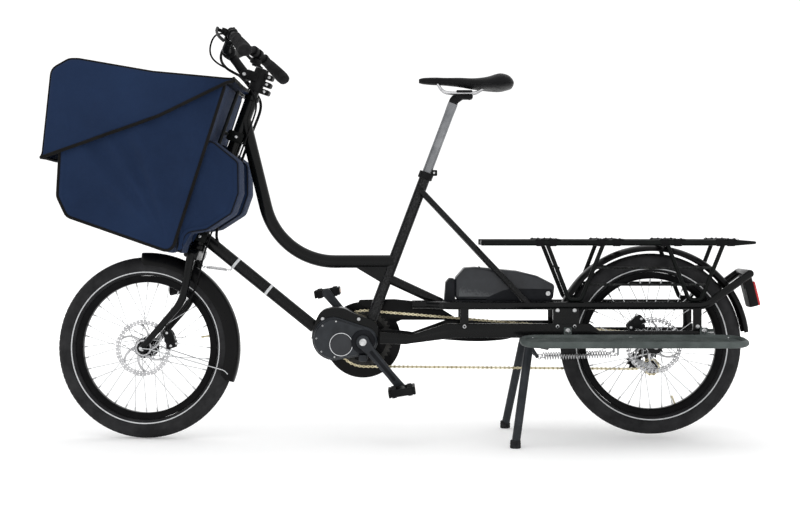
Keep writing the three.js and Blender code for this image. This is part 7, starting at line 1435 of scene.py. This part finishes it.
POST_TOP = on_seat(727)
HEAD = POST_TOP + [30.0, 0, 22.0]
NOSE, UNDER = HEAD[0] - 129.0, HEAD[2] + 32.0
post = [[11, 397], [13.6, 398], [13.6, 690], [14.4, 706], [14.4, 722], [9, 727]]
piece("seat_post_tube", lathe(post, CRANK, SEAT_UP, 36), "seat", POST_METAL, "seat_post")
piece("seat_post_head", [tube(bent([on_seat(706), POST_TOP + [2, 0, 6.0], HEAD - [8, 0, 2]], 16, 6), 13.4, 26),
    block(HEAD + [0, 0, -7.0], X, 50, 32, 15, 3, 6), block(HEAD + [0, 0, 6.6], X, 46, 54, 8, 2, 3.6),
    rod(HEAD + [-15, 0, -16], HEAD + [-15, 0, 12], 3, 16), rod(HEAD + [15, 0, -16], HEAD + [15, 0, 12], 3, 16)], "seat",
    SATIN_PLASTIC)
rails = [(NOSE + 53.6, 11, UNDER - 3.5), (HEAD[0] - 60, 17, HEAD[2] + 6), (HEAD[0] - 34, 22, HEAD[2] + 3),
    (HEAD[0] + 34, 22, HEAD[2] + 3), (NOSE + 198.3, 30.8, UNDER - 7)]
piece("saddle_rail_rods", both(tube(bent(rails, 30, 6), 3.5, 16)), "seat", SPRING_STEEL, "saddle_rails")


def saddle_surface():
    """The saddle: crowned sections along its length, each a rounded arch wide as its share, with a raised rear, a dip
    in the middle and a soft skirt drawn in underneath."""
    shares = [[0, 0.1, 0.3, 0.5], [0.02, 0.155, 0.27, 0.53], [0.05, 0.2, 0.24, 0.56], [0.14, 0.225, 0.22, 0.6],
        [0.25, 0.24, 0.22, 0.62], [0.42, 0.34, 0.22, 0.7], [0.58, 0.56, 0.26, 0.82], [0.72, 0.82, 0.2, 0.9],
        [0.85, 1, 0.04, 0.94], [0.94, 0.94, 0.12, 0.86], [0.985, 0.78, 0.3, 0.78], [1, 0.6, 0.42, 0.68]]
    s, dense, crest = np.linspace(0, 1, 96)[:, None], eased(shares, 400), HEAD[2] + 61
    wide, up, down = (np.interp(s, dense[:, 0], dense[:, k]) for k in (1, 2, 3))
    angle = np.linspace(0, 2 * math.pi, 49)[:-1]
    c, q = np.cos(angle), np.sin(angle)
    lift = np.where(q > 0, np.abs(q) ** 0.9, -np.abs(q) ** 0.8)
    high, low = crest - 58 * up, crest - 58 * down
    middle = low + (high - low) * 0.42
    y = 80 * wide * np.sign(c) * np.abs(c) ** 0.8
    z = np.where(lift > 0, middle + (high - middle) * lift, middle + (middle - low) * lift * 0.95)
    ends = np.clip((s - 0.2) / 0.15, 0, 1), np.clip((0.95 - s) / 0.1, 0, 1)
    z -= 3.0 * np.exp(-(y / 9.0) ** 2) * (lift > 0.4) * ends[0] * ends[1]
    tuck = np.where(lift < 0, 1 - 0.22 * np.abs(lift), 1)
    rings = np.stack(np.broadcast_arrays(NOSE + 268 * s, y * tuck, z), -1)
    return grid(rings), rings


cover, saddle_rings = saddle_surface()
saddle = piece("saddle_cushion", cover, "seat", SADDLE_COVER, "saddle", smooth=60)
seam = [tube(saddle_rings[2:-1, k], 1.3, 8) for k in (0, 24)]
piece("saddle_piping", seam, "seat", SATIN_PLASTIC, smooth=60)
piece("seat_clamp_ring", [lathe([[16.1, 492], [19.6, 492], [20.9, 493.2], [20.9, 510.8], [19.6, 512], [16.1, 512]],
    CRANK, SEAT_UP, 40, closed=True), block(on_seat(502) + [24, 0, 8.0], X, 18, 13.3, 17, 1.6, 3)], "frame",
    SATIN_PLASTIC, "seat_clamp")
steel("seat_clamp_bolt", rod(on_seat(502) + [24, -9, 8], on_seat(502) + [24, 9, 8], 3.4, 6, 0.5))


# ---------------------------------------------------------------- motor, crank and chain

LOOP = motor_outline(0)


def motor_parts():
    """Motor: its two-circle outline carried across with rounded edges, a raised cover with a groove round it, cooling
    ribs underneath and the round boss at the crank side."""
    shell = side_plate(LOOP, 86, 0, 6, 6)
    cover = side_plate(inset(LOOP, 5), 17, -49.0, 8.4, 9)
    lip = side_plate(inset(LOOP, 3), 4, -44.2, 1.2, 3)
    far = side_plate(inset(LOOP, 9), 4, 42, 1.6, 3)
    tab = block((0, -22, 233), X, 24, 86, 20, 3, 5)
    ribs = []
    for a in np.radians(np.arange(215, 300, 9)):
        place = (-84 + 46 * math.cos(a), -20, 286 + 60 * math.sin(a))
        ribs.append(block(place, (-math.sin(a), 0, math.cos(a)), 3, 40, 6, 0.9, 1.2))
    return [shell, cover, lip, far, tab] + ribs


boss = [[4, 5], [26, 5], [29.5, 4], [31, 1.5], [31, -4.5], [20, -4.5]]
piece("motor_case", motor_parts(), "frame", GREY_CASTING, "motor_housing", smooth=40)
piece("motor_boss", lathe(boss, (-62, -61.6, 271), -Y, 56), "frame", CASE_PLASTIC)
piece("motor_boss_ring", lathe([[31.2, -3.4], [32.8, -3.4], [32.8, -0.4], [31.2, -0.4]], (-62, -61.6, 271), -Y, 56,
    closed=True), "frame", POLISHED)
piece("motor_crank_cap", lathe([[19.5, -1], [34, -1], [34, 5.5], [31, 8.8], [22, 10.2], [19.5, 10.2]], (0, -56.6, 279),
    -Y, 56, closed=True), "frame", DOCK_PLASTIC)
MOTOR_MIDDLE = np.array([-45.0, 283])
screw_spots = [LOOP[k] + unit(MOTOR_MIDDLE - LOOP[k]) * 13 for k in (4, 14, 24, 34, 44, 52, 60, 68)]
steel("motor_screws", [bolt(np.array([q[0], -56.6, q[1]]), -Y, 2.6, 1.6) for q in screw_spots])


def crank_arm(eye, side):
    """A crank arm: sections from a round root to a round eye, waisted between, with a hollow run along its outer
    face."""
    way, length = unit(eye - CRANK), np.linalg.norm(eye - CRANK)
    cross = np.cross(Y, way)
    t = np.linspace(0, 1, 14)[1:-1]
    waist = np.interp(t, [0, 0.2, 0.7, 1], [17.5, 13.8, 11.6, 13.0])
    outline = np.vstack([arc(19, HALF_PI, 3 * HALF_PI, 20), np.stack([t * length, -waist], 1),
                         arc(13.5, -HALF_PI, HALF_PI, 18, length), np.stack([t * length, waist], 1)[::-1]])
    hollow = rounded_outline([[32, -5.4], [length - 30, -4.4], [length - 30, 4.4], [32, 5.4]], 4, 5)
    return (prism(outline, CRANK + side * 75.5 * Y, way, cross, 13, 3.2, 4),
            prism(hollow, CRANK + side * 81.6 * Y, way, cross, 1.2, 0.5))


CRANK_EYES = ((109.3, 0, 148.8), (-109.3, 0, 409.2))
for (label, side), eye in zip(SIDES, CRANK_EYES):
    arm, groove = crank_arm(np.array(eye), side)
    spindle = [rod((0, -69, 279), (0, 69, 279), 9, 28)] if side > 0 else []
    washer = [[0.5, -1], [9.5, -1], [10.5, 0], [10.5, 1.6], [9.6, 2.6], [5, 2.8], [4.4, 0.8], [0.5, 0.8]]
    piece(f"crank_arm_{label}", [arm] + spindle, "crank", GREY_CASTING, f"crank_{label}", smooth=35)
    piece(f"crank_inlay_{label}", groove, "crank", DOCK_PLASTIC)
    piece(f"crank_bolt_{label}", [lathe(washer, CRANK + side * 81.5 * Y, side * Y, 32),
        lathe([[3, -1], [7, -1], [7, 0.8], [6, 1.4], [3, 1.4]], eye + side * 81.6 * Y, side * Y, 24)], "crank",
        BOLT_STEEL)


def pedal_parts(eye, side):
    """A pedal: a cage with two end plates, two tread rails with teeth, a barrel about the axle and moulded grip
    blocks."""
    u = way_at(9)
    w, centre = square_to(u), eye + side * 128.9 * Y
    cage, grips = [], []
    for s in (-1, 1):
        cage += [block(centre + u * s * 33.5, Y, 90, 8, 22, 2, 3, across=u),
            block(centre + Y * s * 42.4, u, 60, 6.6, 21, 2, 3)]
        for v in (-1, 1):
            rail = centre + u * s * 22.5
            grips.append(block(rail + w * v * 10.6, Y, 78, 13, 4, 1.2, 2, across=u))
            grips += [block(rail + w * v * 12.2 + Y * (k - 3) * 11, Y, 4, 12, 2.6, 0.8, 0.9, across=u)
                for k in range(7)]
    cage.append(rod(centre - Y * 40, centre + Y * 40, 11, 28, 2))
    metal = [rod(eye + side * 82.9 * Y, centre - side * Y * 38, 6.2, 20, 0.8),
        rod(eye + side * 83.2 * Y, eye + side * 86.2 * Y, 8.2, 6, 0.6)]
    return cage, grips, metal, [block(centre + u * s * 37.0, Y, 34, 1.4, 11, 0.4, 1.2, across=u) for s in (-1, 1)]


AMBER = finish("amber_reflector", "brass", (0.55, 0.16, 0.01), (0.75, 0.27, 0.02), (0.14, 0.26), patch=60, grain=500,
    grain_depth=0.00003, coat=0.7, bumps=cells(420, 0.0008, 0.7))
for (label, side), eye in zip(SIDES, CRANK_EYES):
    body = f"{label}_pedal"
    cage, grips, metal, reflect = pedal_parts(np.array(eye), side)
    piece(f"pedal_cage_{label}", cage, body, SATIN_PLASTIC, f"pedal_{label}", smooth=35)
    piece(f"pedal_treads_{label}", grips, body, FOOT_RUBBER)
    piece(f"pedal_axle_{label}", metal, body, BOLT_STEEL)
    piece(f"pedal_reflectors_{label}", reflect, body, AMBER)


def cog_surface(centre, teeth, width, bore, y=0.0):
    """A chainwheel: radius round the wheel is the pitch circle less a roller's hollow at each tooth space, thinner at
    the tips."""
    pitch = CHAIN_PITCH / (2 * math.sin(math.pi / teeth))
    t = circle(teeth * 10)
    outline = np.minimum(pitch - 4.0 + 7.2 * (0.5 + 0.5 * np.cos(teeth * t)) ** 1.15, pitch + 2.9)
    half, root = width / 2, pitch - 6.5
    rows = ((bore, -half), (root, -half), (outline, -half * 0.62), (outline, half * 0.62), (root, half), (bore, half))
    return grid(np.array([about(radius, y + high, t) for radius, high in rows]) + centre, True)


def spider(centre, y, inner, outer, arms, width):
    """Arms of a chainwheel: tapering bars from the middle ring out to the rim with rounded roots."""
    edge = [[inner - 3, width * 0.8], [outer * 0.55, width / 2], [outer, width * 0.9]]
    outline = rounded_outline([[a, -b] for a, b in edge] + edge[::-1], 3)
    ways = about(1.0, 0.0, circle(arms) + 0.3)
    middle = centre + y * Y
    return [sleeve(9.3, inner, 1.6, middle, Y)] + [prism(outline, middle, way, np.cross(Y, way), 3, 0.6) for way in ways]


piece("chainwheel", [cog_surface(CRANK, 40, 2.6, 66.0, CHAIN_SIDE)] + spider(CRANK, CHAIN_SIDE, 24, 68.5, 5, 15),
    "crank", COG_METAL, smooth=30)
cogs = [cog_surface(REAR, n, 2.2, 15.9, y) for n, y in zip((12, 12, 14, 16, 18, 20, 22), (56, 51, 46, 41, 36, 31, 26))]
piece("cassette_cogs", cogs, "sprockets", COG_METAL, "cassette", smooth=30)
piece("cassette_body", lathe([[8, 24.6], [16.6, 24.6], [16.6, 57.6], [13, 59.4], [8, 59.4]], REAR, Y, 36, closed=True),
    "sprockets", BRUSHED)
GUIDE, TENSION = np.array([832, CHAIN_SIDE, 197.0]), np.array([784, CHAIN_SIDE, 213.0])
for name, node, body, centre in (("guide_wheel", "guide_pulley", "upper_pulley", GUIDE),
        ("tension_wheel", "tension_pulley", "lower_pulley", TENSION)):
    piece(name, [cog_surface(centre, 11, 4.4, 4.0), sleeve(3.2, 8, 2.6, centre, Y, 24)], body, SATIN_PLASTIC, node)


def cage_plates():
    """Derailleur: two cage plates, an arm and its knuckles, a parallelogram body, bolts at the wheels."""
    way, span = unit(TENSION - GUIDE), np.linalg.norm(TENSION - GUIDE)
    outline = np.vstack([arc(11, HALF_PI, 3 * HALF_PI, 14), [[span * 0.5, -7.5]], arc(11, -HALF_PI, HALF_PI, 14, span),
        [[span * 0.5, 7.5]]])
    plates = [prism(outline, GUIDE + y * Y, way, np.cross(Y, way), 2.4, 0.6) for y in (-4.35, 4.35)]
    sizes = ((1, (4.4, 2.4)), (-1, (3.8, 1.6)))
    return plates, [bolt(p + s * 5.6 * Y, s * Y, *size) for p in (GUIDE, TENSION) for s, size in sizes]


cage, metal = cage_plates()
knuckle = [rod((832, 61.8, 197), (832, 79, 197), 10.5, 28, 2),
    block((826, 73, 217), (-0.25, 0, 0.97), 38, 14, 17, 3, 5),
    rod((819, 66, 236), (819, 82, 236), 10.5, 28, 2)]
piece("derailleur_cage", cage, "frame", BRUSHED, "rear_derailleur")
piece("derailleur_body", knuckle, "frame", SATIN_PLASTIC)
steel("derailleur_bolts", metal + [bolt([819, 82, 236], Y, 4.4, 2.4)])


def chain_line():
    """The chain's closed line: arcs round each wheel joined by the straight tangents between neighbours, at even steps
    of one pitch; its length over the pitch, rounded, is the number of links."""
    wheels = [(CRANK, 80.85, 1), (REAR, 24.26, 1), (GUIDE, 22.23, -1), (TENSION, 22.23, 1)]
    headings, line = [], []
    for (p, r1, s1), (q, r2, s2) in zip(wheels, wheels[1:] + wheels[:1]):
        x, _, z = q - p
        headings.append(math.atan2(z, x) - math.asin((s1 * r1 - s2 * r2) / math.hypot(x, z)))
    for k, (p, r, s) in enumerate(wheels):
        start = headings[k - 1] + s * HALF_PI
        sweep = -s * ((s * (headings[k - 1] - headings[k])) % (2 * math.pi))
        line.append(arc(r, start, start + sweep, 60, p[0], p[2]))
    line = np.vstack(line + [line[0][:1]])
    links = 2 * round(walked(line)[-1] / (2 * CHAIN_PITCH))
    return at_side(even_line(line, links + 1)[:-1], CHAIN_SIDE)


def chain_parts():
    """All links at once: waisted link plates, inner and outer by turns, and a pin and roller at each joint, set along
    the line."""
    joints = chain_line()
    way = unit(np.roll(joints, -1, 0) - joints)
    turns = np.stack([way, np.broadcast_to(Y, way.shape), np.cross(way, Y)], 2)
    outline = np.vstack([arc(4.0, HALF_PI, 3 * HALF_PI, 9), [[6.35, -2.1]], arc(4.0, -HALF_PI, HALF_PI, 9, CHAIN_PITCH),
        [[6.35, 2.1]]])
    plates = []
    for which, gap in ((0, 2.0), (1, 3.1)):
        pick = np.arange(len(joints)) % 2 == which
        plates += [repeated(side_plate(outline, 0.9, s * gap, 0.2, 1), turns[pick], joints[pick]) for s in (-1, 1)]
    roller = tube([-1.6 * Y, 1.6 * Y], 3.6, 12)
    pin = tube([-3.7 * Y, -3.5 * Y, 3.5 * Y, 3.7 * Y], [1.4, 1.7, 1.7, 1.4], 10)
    return plates, [repeated(roller, turns, joints), repeated(pin, turns, joints)]


plates, rollers = chain_parts()
piece("chain_plates", plates, "frame", CHAIN_METAL, "chain", smooth=40)
piece("chain_rollers", rollers, "frame", COG_METAL, smooth=40)


def guard_parts():
    """Chain guard: a dished disc with a turned edge and pressed rings, and a tail plate over the upper run."""
    disc = [[19.5, 60.6], [30, 60.4], [60, 60.9], [78, 61.2], [84, 62.0], [90, 61.2], [104, 61.0], [109.2, 60.4],
        [110, 61.2], [109.4, 62.2], [104, 62.8], [90, 62.8], [84, 63.4], [78, 62.8], [60, 62.6], [30, 62.4],
        [19.5, 62.4]]
    plate = lathe(disc, (-3, 0, 275), Y, 96, closed=True)
    shares = [[-0.08, 0.97], [0.33, 1], [0.72, 0.83], [1, 0.1], [1, 0], [0.88, 0], [0.85, 0.08], [0.4, 0.08],
        [0.3, -0.1], [0.22, 0.3], [0.0, 0.62]]
    tail = [[-3 + 278 * a, 327 + 66 * b] for a, b in shares]
    return [plate, side_plate(rounded_outline(tail, 8, 4), 2.4, 61.5, 0.7)]


piece("chain_guard_shell", guard_parts(), "frame", GUARD_PLASTIC, "chain_guard", smooth=40)


# ---------------------------------------------------------------- battery

def shares_line(shares, x, z, length, height, radius=6.0):
    """An outline from shares of a length and a height at a place, with rounded corners."""
    return rounded_outline([[x + length * a, z + height * b] for a, b in shares], radius, 5)


BATTERY = (261, 395.6, 282, 91)
PACK = [[0, 0], [0, 0.68], [0.09, 1], [0.2, 1.02], [0.62, 0.9], [0.83, 0.74], [1, 0.47], [0.985, 0.06], [0.96, 0]]
LOWER = [[0.26, 0.0], [0.36, 0.14], [0.47, 0.29], [0.56, 0.36], [0.97, 0.34], [0.984, 0.08], [0.955, 0.0]]
pack_line = shares_line(PACK, *BATTERY, 11)
lower_line = shares_line(LOWER, *BATTERY, 6)
piece("battery_case", side_plate(pack_line, 79, 0, 10, 9), "battery", CASE_PLASTIC, "battery_pack", smooth=50)
piece("battery_lower_case", [side_plate(lower_line, 2.0, s * 38.9, 0.8, 3) for s in (-1, 1)], "battery", DOCK_PLASTIC,
    smooth=50)
lock = [[2, -1], [7, -1], [7, 1.4], [6, 2.4], [2.6, 2.6], [2.0, 1.0]]
piece("battery_lock", lathe(lock, (523.3, -39.6, 413.8), -Y, 30), "battery", BOLT_STEEL)
handle = bent([(330, -14, 484), (330, -14, 487.4), (330, 14, 487.4), (330, 14, 484)], 5, 5)
piece("battery_handle", tube(handle, 2.4, 14), "battery", DOCK_PLASTIC)
dock_line = shares_line([[0, 0], [0.14, 0.82], [0.45, 1], [0.985, 1], [0.985, 0]], 229.7, 390.3, 31, 65.5, 6)
piece("battery_dock", [side_plate(dock_line, 76, 0, 5, 5), block((386.4, 0, 392.9), X, 312, 74, 4.8, 1.2, 2)], "frame",
    DOCK_PLASTIC, "battery_mount", smooth=40)
steel("battery_dock_bolts", [bolt([236.5, s * 22.0, 425], unit([-1, 0, 0.35]), 3.6, 2) for s in (-1, 1)])


# ---------------------------------------------------------------- hoses, cables and centring spring

FRONT_HOSE_ROUTE = [
    [-398, -98, 1142], [-416, -78, 1132], [-428, -64, 1110], [-428, -56, 1080], [-398, -52, 1056], [-355, -50, 1038],
    [-325, -48, 1005],
    [-300, -40, 968], [-300, -29, 934], [-315.5, -27, 892], [-350, -27, 798], [-384, -27, 704], [-419, -27, 610],
    [-438, -28, 559],
    [-446, -33, 529], [-457, -36, 485], [-466, -36, 447], [-488, -36, 386], [-514, -36, 358], [-537, -36, 345],
    [-553.5, -36, 335],
    [-557.7, -36, 325], [-553.3, -36, 310.8],
]
BUNDLE_ROUTE = [
    [-387.8, 110.4, 1139.3], [-407.6, 92.9, 1129.9], [-418, 76, 1104], [-414, 66, 1078], [-390, 60, 1054],
    [-350, 54, 1036], [-322, 48, 1002],
    [-298, 40, 968], [-298, 31, 934], [-315, 29, 892], [-350, 28, 798], [-384, 28, 704], [-418, 28, 612],
    [-426, 28, 570], [-400, 26, 527],
    [-300, 25, 446], [-200, 25, 364], [-153, 26, 329],
]
REAR_CABLE_ROUTE = [
    [40.4, -26, 303], [96, -27.2, 303], [140, -28, 298], [180, -34, 292], [240, -48, 286], [320, -52, 282],
    [390, -52, 286], [435, -52, 295],
    [500, -52, 299], [560, -52, 300], [606, -55, 316],
]


def hose_start(side):
    """Two places straight out of a brake master's inner end."""
    centre = bar_place(0.5, side)[0]
    end = centre + AHEAD * 25 - side * Y * 24
    return np.array([end - side * Y * 0.3, end - side * Y * 8])


def joined(name, shapes, finish, node):
    """A piece that bends between two bodies, from a place where it still follows the first to one where it follows the
    second."""
    made = piece(name, shapes, None, finish, node, smooth=60)
    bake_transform(made)
    return made


def relaxed(line):
    """A hose's line with its corners eased: again and again each point moves to the middle of its neighbours, ends
    held."""
    line = np.array(line, float)
    for _ in range(EASING_PASSES):
        line[1:-1] = (line[:-2] + 2 * line[1:-1] + line[2:]) / 4
    return line


front_line = steered(relaxed(eased(np.vstack([hose_start(-1), FRONT_HOSE_ROUTE]), 260)))
half_way = int(np.argmin(np.abs(front_line[:, 2] - 704)))
upper_hose = joined("brake_hose_upper", [tube(front_line[: half_way + 1], 2.6, 14)], HOSE_RUBBER, "front_brake_hose")
lower_hose = joined("brake_hose_lower", [tube(front_line[half_way - 1:], 2.6, 14)], HOSE_RUBBER, ())
loom = relaxed(eased(np.vstack([steered(hose_start(1)), BUNDLE_ROUTE]), 240))
bundle = joined("cable_loom", [tube(loom, 4.0, 14)], HOSE_RUBBER, "cable_bundle")
beside = np.array(REAR_CABLE_ROUTE, float)
looser = beside + [0, 3.5, 0] + 5.0 * np.sin(np.linspace(0, math.pi, len(beside)))[:, None] * np.array([0, 1.2, 1.0])
piece("cables_rear", [tube(eased(beside, 160), 2.7, 14), tube(eased(looser, 160), 2.4, 14),
    tube(eased(beside + [0, -1, 4.6], 160), 2.2, 12)], "frame", HOSE_RUBBER, "rear_cables", smooth=60)
clips = []
for z in (640, 740, 840):
    for line, radius in ((front_line, 2.6), (loom, 4.0)):
        k = int(np.argmin(np.abs(line[:, 2] - z)))
        clips.append(sleeve(radius + 0.1, radius + 1.2, 3, line[k], line[k + 1] - line[k - 1], 18))
piece("hose_clips", clips, "frame", SATIN_PLASTIC)

lug, hook_place = steered(on_steer(272, -31)), on_steer(290, -113)
pull = unit(hook_place - lug)
spring_a, spring_b = lug + pull * 3.8, hook_place - pull * 3.8
joined("spring_centring", [coil(spring_a, spring_b, 3.9, 0.9, 18, 9), hook(spring_a + pull * 1.0, -pull, 0.9, 3.0),
    hook(spring_b - pull * 1.0, pull, 0.9, 3.0)], SPRING_STEEL, "centring_spring")
steel("spring_peg", rod(on_steer(290, -113), on_steer(290, -113) + [0, 0, 15.0], 1.7, 12, 0.5))
